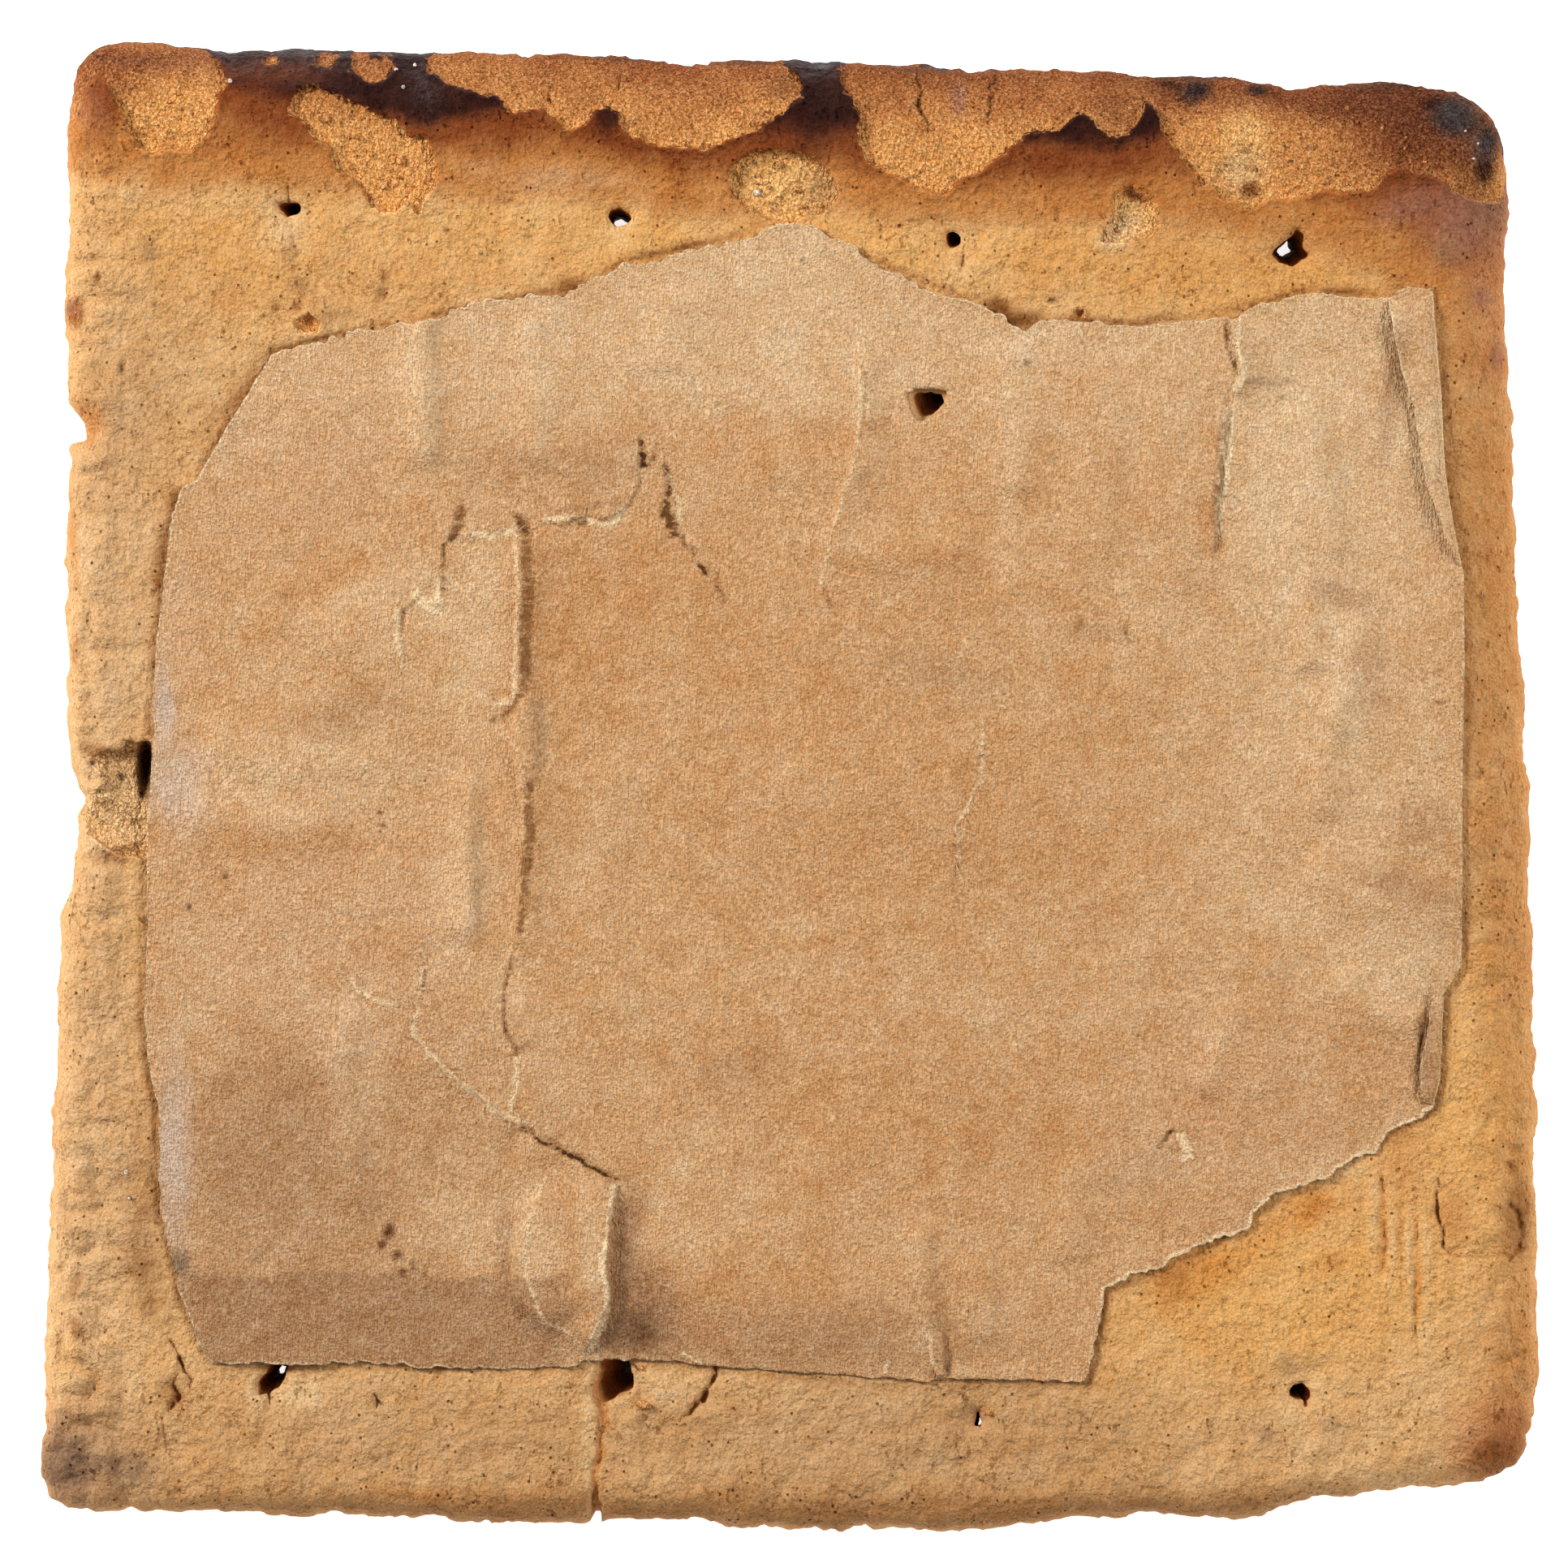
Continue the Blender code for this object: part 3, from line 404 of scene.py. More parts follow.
# The part under the label that is surely covered: its middle and half width.
SURELY_COVERED = ((1.0, 0.0), 25.0)
RING_STRIDE = 4

# Blisters of the underside: depth, size and number of each noise, then how high they
# are, from which value and how fast; the last row is its fine dimples.
BASE_BLISTERS = ((1.0, 7.0, 95), (0.5, 2.6, 96))
BLISTER_RISE = (0.32, 0.25, 0.6)
BASE_DIMPLES = (0.05, 0.9, 97, 0.2)
# The underside is flat along its rims: how far from them, and how fast it rises.
BASE_FLAT = (0.2, 1.2)
BASE_COARSENESS = 4.0

# How the scorching fades: x, then the y where it is black, brown, amber and gone.
BURN_FRONT = (
    (-48, 52, 47, 41.8, 37.4), (-45.4, 49, 46.5, 41.4, 36.6), (-44.2, 48, 46.2, 41.4, 36.6),
    (-42.5, 49, 45, 41, 36.4), (-41, 49, 44.6, 40, 36.4), (-37.5, 49, 44.4, 39.8, 36.6),
    (-36, 46.6, 44.6, 40, 36.8), (-33.5, 45.8, 43.1, 39.4, 37.2), (-31.5, 45.4, 42.9, 39.5, 37),
    (-29, 44.9, 42.4, 39.6, 36.4), (-27, 44.4, 42.8, 39.6, 36), (-25, 43.4, 42.2, 39.4, 36),
    (-23, 43, 41.7, 39.4, 36.4), (-21, 43.6, 42.2, 39.4, 35.8), (-18, 44.2, 42.5, 39.2, 35.6),
    (-15, 45, 42.9, 39.8, 36), (-12, 44.6, 42, 39.2, 35.8), (-10, 43.5, 41.3, 38.8, 35.6),
    (-6, 43, 40.9, 37.9, 34.6), (-2, 43.2, 40.9, 38, 34.6), (1, 43.3, 41, 39, 34.8),
    (3, 43.2, 41, 39.1, 34.8), (5.5, 43, 40.9, 38, 34.6), (10, 42, 39.6, 37.3, 34.8),
    (14.5, 42, 40.4, 37.5, 34.5), (18, 42, 40.2, 37.3, 34.8), (21, 41.8, 40.2, 37.5, 34.8),
    (25, 43, 41, 37.9, 33.2), (28, 42, 40, 37, 33), (32, 42, 39.6, 37, 32.6),
    (36, 42.5, 39.6, 35.8, 31.6), (38, 41.2, 39, 34.8, 29.4), (40, 40.4, 38.3, 33.4, 27.4),
    (43, 41, 38.4, 34, 26), (45, 42, 39, 34.5, 26), (48, 42, 39, 35, 26),
)
BURN_LEVELS = (1.0, 0.62, 0.3, 0.0)
DARKER_BROWN = 0.82
SCORCHED_FROM = 0.22
# Toasting of the bare crumb, darker towards the scorched edge; near the edge, where it rolls
# away, the darkening is partly painted shade: slope of its line, the line, its softness, then
# the depth, size and number of its noise. It is less at the left: share, line, softness.
TOASTED = (0.035, 40.9, 6.6, 0.22, 2.2, 121)
LESS_TOASTED = (0.2, -34.0, 4.0)
# Patches of colour: strength, size and number of the noise.
PALE_PATCHES = (0.35, 9.0, 120)
WALL_PATCHES = (1.0, 4.0, 122)
UNDER_PATCHES = (0.8, 5.0, 123)
CLEAN_PATCHES = (0.3, 6.0, 160)
WORN_PATCHES = (0.22, 2.4, 161)
# The side wall: where its colour starts, how scorching hides it, and its strength.
WALL_FROM = 0.25
WALL_SCORCH = 1.4
WALL_SHARE = 0.4
# The underside: side share and height that belong to it, strength of its colour, what
# is left of the scorching, and stains: strength, size, number, line, softness.
UNDER_SIDE = 0.9
UNDER_HEIGHT = 1.2
UNDER_SHARE = 0.85
UNDER_SCORCH = 0.15
UNDER_STAINS = (0.5, 3.4, 124, 0.15, 0.5)

# Label: how the sheet lies, and its outline, clockwise: x, y, how ragged the tear is.
PAPER_GAP = 0.03
PAPER_THICKNESS = 0.14
PAPER_STEP = 0.13
PAPER_OUTLINE = (
    (-33.1, 27.6, 0.05), (-31.3, 28.1, 0.3), (-29.5, 28.6, 0.35), (-26.5, 29.2, 0.3),
    (-22, 30.1, 0.3), (-19.9, 31, 0.25), (-17, 31.2, 0.25), (-14.5, 31.5, 0.3), (-12.2, 32.5, 0.3),
    (-10.4, 33.5, 0.25), (-8.6, 33.5, 0.3), (-6.6, 34.3, 0.3), (-4.3, 34.7, 0.3), (-2.6, 35.1, 0.2),
    (-0.9, 35.9, 0.15), (1.5, 35.9, 0.15), (2.4, 35.2, 0.15), (4.3, 34.5, 0.2), (5.2, 33.5, 0.2),
    (7.7, 32.4, 0.3), (9.5, 31.4, 0.2), (11.5, 31, 0.15), (13.6, 30.1, 0.2), (14.3, 29.4, 0.25),
    (15.2, 29.2, 0.2), (16.2, 29.8, 0.15), (18.4, 29.8, 0.15), (22.3, 29.3, 0.2),
    (25.5, 29.7, 0.15), (27.9, 30, 0.2), (28.4, 29.9, 0.1), (28.9, 30.2, 0.15), (29.8, 30.7, 0.15),
    (32.9, 31.5, 0.15), (34, 31.6, 0.15), (36.3, 31.2, 0.15), (38.3, 31.2, 0.3), (39, 31.7, 0.15),
    (39.9, 32, 0.1), (41.2, 31.8, 0.15), (41.35, 30, 0), (41.8, 21, 0), (42.5, 17, 0),
    (43.2, 13.5, 0), (43.25, 9, 0), (43.1, -0.5, 0), (43.1, -7.4, 0.05), (43, -11.4, 0.05),
    (42.4, -12.6, 0.15), (41.9, -13.3, 0.1), (41.7, -19, 0.05), (41.2, -20.6, 0.1),
    (40.4, -21.3, 0.15), (38.2, -22.3, 0.2), (37.9, -23.3, 0.25), (35.6, -24.3, 0.3),
    (34.3, -25.1, 0.3), (31.5, -26, 0.35), (30.2, -26.8, 0.35), (29.6, -28.2, 0.3),
    (26.5, -29.5, 0.35), (24.5, -30.3, 0.3), (22.3, -31.3, 0.3), (20.4, -32.1, 0.25),
    (20.1, -33.3, 0.15), (19.8, -35, 0.15), (19.5, -36.6, 0.15), (19, -38.1, 0.2), (15, -38, 0.1),
    (9.8, -37.9, 0.1), (8.9, -38.1, 0.1), (6, -37.8, 0.12), (0, -37.5, 0.08), (-5.5, -37, 0.08),
    (-6.9, -36.8, 0.12), (-13.2, -36.7, 0.08), (-13.6, -37.1, 0.15), (-17.5, -37.3, 0.1),
    (-22.5, -37.2, 0.15), (-26.5, -36.9, 0.2), (-31, -37, 0.1), (-36.9, -36.9, 0.1),
    (-37.8, -35.6, 0.12), (-38.5, -33.4, 0.2), (-39.2, -31.6, 0.2), (-39.6, -30, 0.25),
    (-40.1, -27.5, 0.15), (-40.3, -24, 0.12), (-40.3, -20.6, 0.12), (-40.9, -18, 0.06),
    (-41.2, -15, 0.04), (-41, -9, 0.06), (-41.05, -3, 0.04), (-40.8, 1, 0.05), (-40.6, 3.4, 0.1),
    (-40.7, 5.5, 0.05), (-40.4, 9.5, 0.06), (-40, 12.8, 0.05), (-39.6, 16, 0.08),
    (-39.5, 17.2, 0.08), (-38.8, 19.2, 0.12), (-37.8, 19.6, 0.12), (-37.2, 20.8, 0.02),
)
# Teeth of the torn outline: size, share of the raggedness, least depth, number.
PAPER_TEETH = ((1.3, 0.55, 0.0, 10), (0.55, 0.65, 0.02, 12), (0.3, 0.4, 0.02, 14))
PAPER_HOLE = (
    (7.65, 25.1), (8.2, 25.4), (9.2, 25.4), (10.05, 25.3), (10.15, 24.7), (9.9, 24), (9.4, 23.7),
    (8.6, 23.35), (8.1, 23.5), (7.85, 24.2),
)
HOLE_STEP = 0.15
# The hole's raggedness: depth, size, and the numbers of the noises across and along.
PAPER_HOLE_RAGGED = (0.07, 0.4, 150, 151)
LABEL_UNDERSIDE_STEP = 0.8
LABEL_UNDERCUT = 0.05
LABEL_RIM_BARE = 0.6
LABEL_UNDER_BARE = 0.3
LEAST_SHEET = 0.03
FOLD_GAIN = 1.8
SLIT_WIDENING = 1.35
# Waves of the sheet: height, size and number of the noise.
SHEET_WAVES = ((0.14, 8.0, 133), (0.08, 3.4, 134), (0.05, 1.3, 135), (0.03, 0.6, 139))
# Fine creases: height, sharpness, size and number of the noise, stretch.
CREASES = ((0.05, 10, 3.0, 136, 1.0, 0.55), (0.035, 12, 2.2, 137, 0.7, 1.0))
# The rim's curl: mean height, then change, size and number of its noise, and its reach.
CURL = 0.03
CURL_CHANGE = (0.12, 4.5, 138)
CURL_REACH = 0.9
# The sheet's rest height over the crust and its least height.
SHEET_REST = 0.06
SHEET_LEAST = -0.02
TEAR_STEP = 0.12
TEAR_POWER = 1.4
# Soft folds in the label: height, reach to the left, reach to the right, then points.
PAPER_FOLDS = (
    (0.34, 1, 1.2, ((-23.4, 31), (-23.4, 25), (-23.2, 20))),
    (0.2, 1.6, 1, ((-16.6, 31), (-16.3, 25), (-16.6, 20))), (0.18, 2, 2, ((-8, 32), (-8.4, 26))),
    (0.26, 1.4, 0.35, ((4.6, 29), (4.75, 24.5), (4.2, 21), (3.1, 17), (2.35, 15.2))),
    (0.2, 1.6, 1.6, ((14.2, 29), (14.2, 24), (15, 18))),
    (0.16, 1.2, 2.2, ((20.5, 28), (20.2, 18), (20.8, 14))),
    (0.18, 2, 1.4, ((24, 28), (24.2, 20), (24.8, 12))),
    (0.3, 1.6, 0.34, ((-17.2, 17), (-17.05, 12), (-17.2, 7), (-17.4, 3), (-16.9, 0), (-16.75, -4),
        (-17.2, -9), (-17.9, -12))),
    (0.34, 0.9, 1, ((-20.6, 1.5), (-20.7, -5), (-20.3, -10.5))),
    (0.22, 1.3, 1.2, ((34.6, 6.5), (34.3, -2.5))),
    (0.22, 1.6, 0.9, ((36.8, 11.5), (35.8, 7), (34.8, 3))),
    (0.2, 1.6, 0.6, ((33.6, 14), (33.2, 10), (33.1, 7))),
    (0.2, 1, 1.8, ((33, 25), (34.4, 18), (35.4, 14))),
    (0.3, 2.6, 0.9, ((43.1, -7.3), (40, -7), (36, -6), (33, -4.4))),
    (0.24, 1.3, 0.6, ((41, -15), (38.8, -14.9), (36.5, -13.6), (35.4, -11.5))),
    (0.2, 1.4, 0.8, ((28.4, -13.5), (27.4, -17.5), (26.2, -20))),
    (0.24, 0.9, 0.9, ((8.3, -27.5), (8.4, -31), (9.3, -37.5))),
    (0.16, 1.3, 1.3, ((12, -30), (12.6, -36))),
    (0.2, 0.9, 1.4, ((-27.6, -13.5), (-28.6, -18), (-27.8, -24), (-26.5, -28))),
    (0.42, 3.8, 0.55, ((-14.9, -25.4), (-16.5, -27.3), (-17.3, -30), (-16.8, -32.8), (-15, -35.3))),
    (0.16, 1.6, 1.6, ((17.8, -23.5), (18.4, -27.5), (17.6, -31))),
    (0.14, 1, 1.8, ((30.4, -10), (31, -16), (30.4, -20))),
    (0.14, 2.4, 2.4, ((-30, 8), (-26, 12), (-24, 13))),
    (0.16, 2.2, 1.4, ((-38, 3), (-32, 1), (-24, 2))),
    (0.14, 1.6, 2.4, ((-39, -1.5), (-34, -2.5), (-28, -2))),
    (0.18, 1.2, 1.6, ((-3, 21), (2, 20.4), (7, 20.8))),
    (0.16, 1.6, 1, ((2, 15.2), (7, 14.6), (12.5, 15.2))),
    (0.1, 1.4, 1.4, ((-11, 2), (-12, -8), (-11, -16))),
)
# Tears, where the sheet on the left of each line stands up: height, reach, then points.
PAPER_TEARS = (
    (0.75, 3.2, ((-13.2, -36.7), (-12.1, -34.6), (-11.4, -33), (-11.35, -31.8), (-11.6, -30.6),
        (-11.35, -29), (-11.4, -27.8), (-11.1, -26.4), (-10.85, -25.3))),
    (0.35, 1.8, ((-10.85, -25.3), (-12.4, -24.6), (-14, -23.5), (-15.5, -22.8), (-16.9, -22))),
    (0.3, 1.6, ((-16.9, -22), (-19.6, -20), (-21.8, -18.4), (-23.8, -16.4))),
    (0.55, 1.3, ((28.5, 30.3), (28.35, 29.2), (28.6, 28), (29, 26.4), (28.3, 24.9))),
    (0.3, 1.2, ((27.2, 14.5), (27.5, 17.5), (27.7, 20.5), (28, 22.5), (28.3, 24.9))),
    (0.14, 1.4, ((-22, 12), (-22, 14), (-22.2, 15.3), (-21.3, 16), (-20.3, 15.5), (-19.9, 16.6),
        (-18.6, 16.1), (-17.3, 16.9))),
    (0.16, 1.4, ((-16.2, 16.4), (-15.4, 17.1), (-14.6, 16.6), (-13, 17.3), (-11.4, 17.1),
        (-10.2, 18), (-9.6, 19.4), (-9.5, 22.3))),
    (0.12, 0.9, ((-24.6, 7.4), (-24.85, 9.9), (-24.6, 11.3), (-23.2, 12.4))),
    (0.3, 1.3, ((-18, -13.5), (-17.95, -15.6), (-17.35, -17.1))),
    (0.1, 0.8, ((-4.1, 11.6), (-4.5, 13.4), (-5.2, 13.7), (-6.1, 15), (-7, 16), (-7.4, 17.6),
        (-7.6, 19.3), (-8.1, 20.6))),
    (0.16, 0.9, ((23.7, -23), (24.4, -22.1), (25.6, -22))),
    (0.22, 1, ((10.05, -37.8), (10, -34.8))), (0.1, 1, ((18.9, 27.2), (18.8, 28.3), (18.4, 29.5))),
)
# Dark gaps in the label, their insides darkened by painted shade: darkness, then x, y, half
# width, depth along each.
PAPER_SLITS = (
    (0.9, ((-9.45, 22.2, 0.1, 0.1), (-9.4, 21.5, 0.2, 0.12), (-9.25, 20.6, 0.26, 0.12))),
    (0.7, ((-8.4, 21.9, 0.06, 0.06), (-8.5, 21, 0.12, 0.08), (-8.8, 20.5, 0.12, 0.08))),
    (0.75, ((-8, 20.4, 0.1, 0.1), (-7.6, 19, 0.2, 0.12), (-7.75, 17.4, 0.3, 0.12),
        (-7.3, 16.2, 0.3, 0.1))),
    (0.85, ((-6.1, 15.1, 0.14, 0.1), (-5.9, 14.4, 0.14, 0.1), (-5.3, 13.6, 0.18, 0.1))),
    (0.8, ((-4.5, 13.5, 0.1, 0.1), (-4.5, 12.5, 0.13, 0.1))),
    (0.7, ((-4.3, 12.1, 0.06, 0.06), (-4.15, 11.6, 0.06, 0.06))),
    (0.7, ((-6.7, 15.9, 0.12, 0.06), (-6.6, 15.4, 0.12, 0.06))),
    (0.6, ((-14, 17.1, 0.1, 0.08), (-13.2, 16.9, 0.3, 0.1), (-12.8, 16.8, 0.1, 0.06))),
    (0.55, ((-20.9, 18.2, 0.08, 0.08), (-21, 16.9, 0.3, 0.12), (-21.5, 15.9, 0.2, 0.1))),
    (0.7, ((-17.5, 17.6, 0.1, 0.1), (-17.1, 16.9, 0.3, 0.14), (-16.8, 16.3, 0.2, 0.14))),
    (0.6, ((-22, 15.4, 0.08, 0.08), (-22.1, 14, 0.1, 0.08), (-22, 12.1, 0.12, 0.08))),
    (0.6, ((-24.6, 11.2, 0.12, 0.08), (-24.65, 10.4, 0.07, 0.06))),
    (0.5, ((-16.75, 16, 0.3, 0.15), (-16.6, 12, 0.34, 0.18), (-16.8, 9, 0.3, 0.16),
        (-16.9, 6.2, 0.22, 0.14), (-18.4, 4.2, 0.14, 0.08))),
    (0.9, ((-16.8, 9, 0.12, 0.1), (-16.75, 7.2, 0.16, 0.12))),
    (0.5, ((-16.55, 0, 0.2, 0.12), (-16.5, -3.2, 0.3, 0.14), (-16.85, -6, 0.3, 0.14),
        (-17.2, -9.4, 0.2, 0.1))),
    (0.95, ((-17.4, -10.2, 0.07, 0.1), (-18, -12.2, 0.06, 0.1), (-18.3, -14.4, 0.07, 0.1),
        (-18, -15.8, 0.08, 0.12), (-17.35, -17.1, 0.09, 0.12))),
    (1, ((-17, -21.9, 0.16, 0.14), (-15.9, -22.7, 0.13, 0.14), (-15, -22.9, 0.18, 0.14),
        (-14.2, -23.5, 0.16, 0.14), (-13.3, -23.8, 0.2, 0.14), (-12.4, -24.5, 0.15, 0.14),
        (-11, -25.2, 0.15, 0.12))),
    (0.5, ((-23.8, -16.4, 0.05, 0.06), (-21.8, -18.5, 0.06, 0.08), (-19.6, -20.2, 0.07, 0.08),
        (-17.8, -21.6, 0.06, 0.06))),
    (0.55, ((-23.3, -10, 0.04, 0.06), (-23.3, -13.2, 0.06, 0.08), (-23.8, -14.2, 0.05, 0.06))),
    (0.5, ((-28.5, -11.7, 0.16, 0.06), (-28.2, -12.1, 0.06, 0.06))),
    (0.8, ((28.05, 29.9, 0.1, 0.1), (28.1, 28.3, 0.11, 0.12), (28.6, 26.7, 0.09, 0.1))),
    (0.35, ((28.1, 24.7, 0.12, 0.08), (27.7, 21.5, 0.22, 0.1), (27.3, 17, 0.2, 0.08))),
    (0.5, ((18.35, 29.3, 0.05, 0.06), (18.75, 28.2, 0.05, 0.06))),
    (0.9, ((40.95, -13.5, 0.1, 0.12), (40.6, -15.5, 0.1, 0.14), (40.3, -18.3, 0.09, 0.12),
        (40.25, -19.6, 0.07, 0.1))),
    (0.9, ((23.7, -23.1, 0.05, 0.06), (24.15, -22.3, 0.08, 0.08), (24.6, -22, 0.04, 0.04))),
    (0.55, ((10.15, -37.7, 0.12, 0.12), (10.1, -36.2, 0.08, 0.1), (10, -35, 0.04, 0.05))),
    (0.3, ((4.95, 26.4, 0.05, 0.05), (4.8, 23, 0.08, 0.06), (4.2, 20.4, 0.05, 0.05))),
    (0.5, ((2.3, 12.6, 0.05, 0.05), (2.6, 11.7, 0.12, 0.08), (3, 10.8, 0.05, 0.05))),
    (0.3, ((2.9, 10.4, 0.05, 0.04), (2.6, 7, 0.07, 0.05))),
    (0.4, ((12.3, 0.2, 0.04, 0.04), (10.7, -2.7, 0.06, 0.05), (10.95, -4.6, 0.08, 0.06),
        (10.5, -6.2, 0.05, 0.04), (10.9, -8.1, 0.03, 0.03))),
    (0.5, ((-18.9, 5.8, 0.06, 0.05), (-18.6, 5, 0.12, 0.06), (-18.9, 3.9, 0.1, 0.05))),
    (0.45, ((42.4, 5.5, 0.05, 0.04), (41.6, 5.3, 0.12, 0.05), (41, 5, 0.05, 0.04))),
    (0.55, ((18.8, 10.5, 0.1, 0.05), (18.5, 9.8, 0.1, 0.05))),
    (0.55, ((21.6, 10.1, 0.12, 0.05), (21.8, 9.3, 0.1, 0.05))),
)
# Pale bruised edges of the label: strength, then x, y, half width along each.
PAPER_FRINGES = (
    (0.9, ((-13.1, -36.4, 0.16), (-11.9, -34.4, 0.14), (-11.6, -33, 0.18), (-11.9, -30.6, 0.16),
        (-11.6, -28, 0.14), (-11.2, -25.6, 0.12))),
    (0.8, ((28.9, 29.9, 0.14), (28.75, 28.4, 0.16), (29.2, 26.5, 0.2), (28.6, 25.2, 0.18))),
    (0.85, ((28.3, 24, 0.18), (28, 21.8, 0.3), (27.8, 19, 0.26), (27.5, 16.4, 0.16))),
    # The next line is the groove's pale torn lip, partly a painted highlight.
    (0.3, ((-17.6, 16.8, 0.16), (-17.35, 13, 0.12), (-17.5, 8, 0.12), (-17.6, 5.6, 0.2),
        (-18.6, 5.2, 0.22))),
    (0.7, ((-24.9, 11.2, 0.12), (-24.95, 9.6, 0.12), (-24.7, 7.6, 0.08))),
    (0.7, ((-23.9, 12.2, 0.24), (-22.6, 11.2, 0.3), (-22.4, 13, 0.12))),
    (0.8, ((-20.2, 16.2, 0.2), (-19, 15.9, 0.26), (-17.8, 16.4, 0.2))),
    (0.6, ((-15.4, 17, 0.2), (-13.8, 17.2, 0.16), (-11.6, 16.7, 0.24), (-10.4, 17.6, 0.16))),
    (0.7, ((-8, 20.5, 0.06), (-7.1, 18.5, 0.08), (-7, 16.9, 0.1))),
    (0.7, ((-23.7, -14.2, 0.1), (-24, -16, 0.12), (-22.4, -17.7, 0.12), (-20.6, -19.3, 0.1),
        (-18.4, -21, 0.12), (-17, -21.6, 0.1))),
    (0.7, ((-17.5, -17.3, 0.1), (-17.5, -19.4, 0.14), (-17.9, -21.2, 0.1))),
    (0.6, ((-23.45, -10.4, 0.06), (-23.5, -13.2, 0.06))),
    (0.6, ((-28.2, -12.3, 0.08), (-26.9, -13.4, 0.08), (-25.2, -14.1, 0.1))),
    (0.6, ((12.5, 4, 0.05), (12.3, 0.2, 0.08), (11.3, -1.6, 0.1), (10.8, -2.9, 0.08),
        (10.95, -4.8, 0.08))),
    # The next line is a painted highlight along the crease near x 4.5.
    (0.5, ((4.75, 25.6, 0.06), (4.6, 23.4, 0.06), (4.1, 20.6, 0.05), (3, 17, 0.05),
        (2.4, 14.8, 0.05), (2.2, 13, 0.06))),
    (0.7, ((25.3, -22.6, 0.3), (25.5, -23.6, 0.4))),
    (0.6, ((41.5, -14.4, 0.14), (41.3, -16.8, 0.14), (41.3, -19.2, 0.12))),
    (0.45, ((33.7, 31.4, 0.06), (34.2, 29, 0.06))),
    (0.5, ((18.6, 29.6, 0.1), (18.75, 28.6, 0.08), (18.9, 27.3, 0.06))),
    (0.6, ((6.3, -36.9, 0.08), (6.2, -37.5, 0.1))),
    (0.5, ((9, -35.2, 0.1), (9.2, -36.8, 0.12), (9.7, -37.6, 0.1))),
    (0.4, ((-5.6, -36.9, 0.1), (-6.8, -36.3, 0.14))),
    # The last line is a painted highlight along the lit side of the bulge at the lower left.
    (0.3, ((-15.5, -25, 0.06), (-16.6, -27.2, 0.12), (-16.95, -29.5, 0.14), (-16.6, -32, 0.14),
        (-15.6, -34.2, 0.1), (-13.8, -34.9, 0.06))),
)
# Edges of the label that are torn so that the pale inner layer shows: width, points.
PALE_EDGES = (
    (0.26, ((20.4, -32), (24.5, -30.2), (29.6, -27.8), (31.5, -25.9), (37.9, -22.9), (41, -20.9))),
    (0.12, ((-38, 20.4), (-36.4, 22.4), (-34.6, 25.4), (-33.1, 27.6))),
    (0.1, ((41.8, 21), (43.2, 13.5), (43.25, 9), (43.1, -7.4), (43, -11.4))),
    (0.2, ((-39.4, 17.2), (-38.4, 19.4), (-37.6, 20.2))),
    (0.08, ((-39.6, 17), (-40.4, 9.5), (-40.8, 1), (-41.2, -15), (-40.3, -22))),
    (0.14, ((20.4, -32.2), (19.5, -36.6), (19, -38))),
    (0.1, ((-38.5, -33.4), (-36.9, -36.8), (-22.5, -37.1), (-13.6, -37))),
    (0.1, ((-29.5, 28.5), (-19.9, 31), (-10.4, 33.4), (-0.9, 35.9), (4.3, 34.4), (13.6, 30.1),
        (18.4, 29.8), (28, 30), (33, 31.5), (41, 31.6))),
)
# How the fringes' widths change along them: change, size and number of the noise.
FRINGE_CHANGE = (0.5, 0.45, 142)
PALE_CHANGE = (0.55, 0.9, 143)
# How fully a fringe shows in its middle, how far it fades, and how strong it is at least.
FRINGE_CORE = 0.62
FRINGE_SPREAD = 0.5
FRINGE_LEAST = 0.6
# Pale edges: share of the width, how far they fade, and how far from their line they go.
PALE_WIDTH = 0.8
PALE_SPREAD = 0.4
PALE_REACH = 1.6
PALE_BOX = 1.5

# Narrow folds of the label, each by its free side and the side where it is held.
FOLD_FLAP = (
    ((38.35, 31), (38.6, 29.2), (38.9, 28), (39.4, 26), (39.95, 24.4), (40.3, 22), (40.8, 19.5),
     (41.5, 17.4), (42.2, 15.6), (42.75, 14.2)),
    ((41.25, 31.5), (41.45, 29), (41.6, 27), (41.8, 25), (41.9, 22.5), (42.05, 20), (42.35, 18),
     (42.6, 16.5), (42.85, 15.2), (43.05, 13.9)),
)
FOLD_STRIP = (
    ((41.2, -13.6), (40.95, -15), (40.65, -16.8), (40.35, -18.5), (40.5, -20.2)),
    ((41.95, -13.5), (41.85, -15), (41.75, -17), (41.65, -19), (41.2, -20.4)),
)
FOLD_HEM = (
    ((9.05, -34.9), (9.1, -36), (9.2, -37), (9.4, -37.9)),
    ((9.85, -34.9), (9.95, -36), (10, -37), (10.05, -37.8)),
)
# Pieces made of them: name, sides, rise.
FOLDS = (
    ("fold_upper_right", FOLD_FLAP, 0.75),
    ("fold_lower_right", FOLD_STRIP, 0.4),
    ("fold_lower_edge", FOLD_HEM, 0.3),
)
FOLD_GRID = (90, 15)
FOLD_JAGS = ((0.1, 0.8, 170), (0.05, 0.3, 171))
FOLD_WRINKLES = ((0.3, 1.6, 172),)
FOLD_DIMPLES = ((0.02, 0.5, 173),)
FOLD_LIFT = 0.03
# A fold's spacing while it is walked, how its ends rise, and how pale its sides are.
FOLD_WALK = 0.01
FOLD_ENDS = (8.0, 0.35)
FOLD_BARE = (1.6, 10, 0.8)

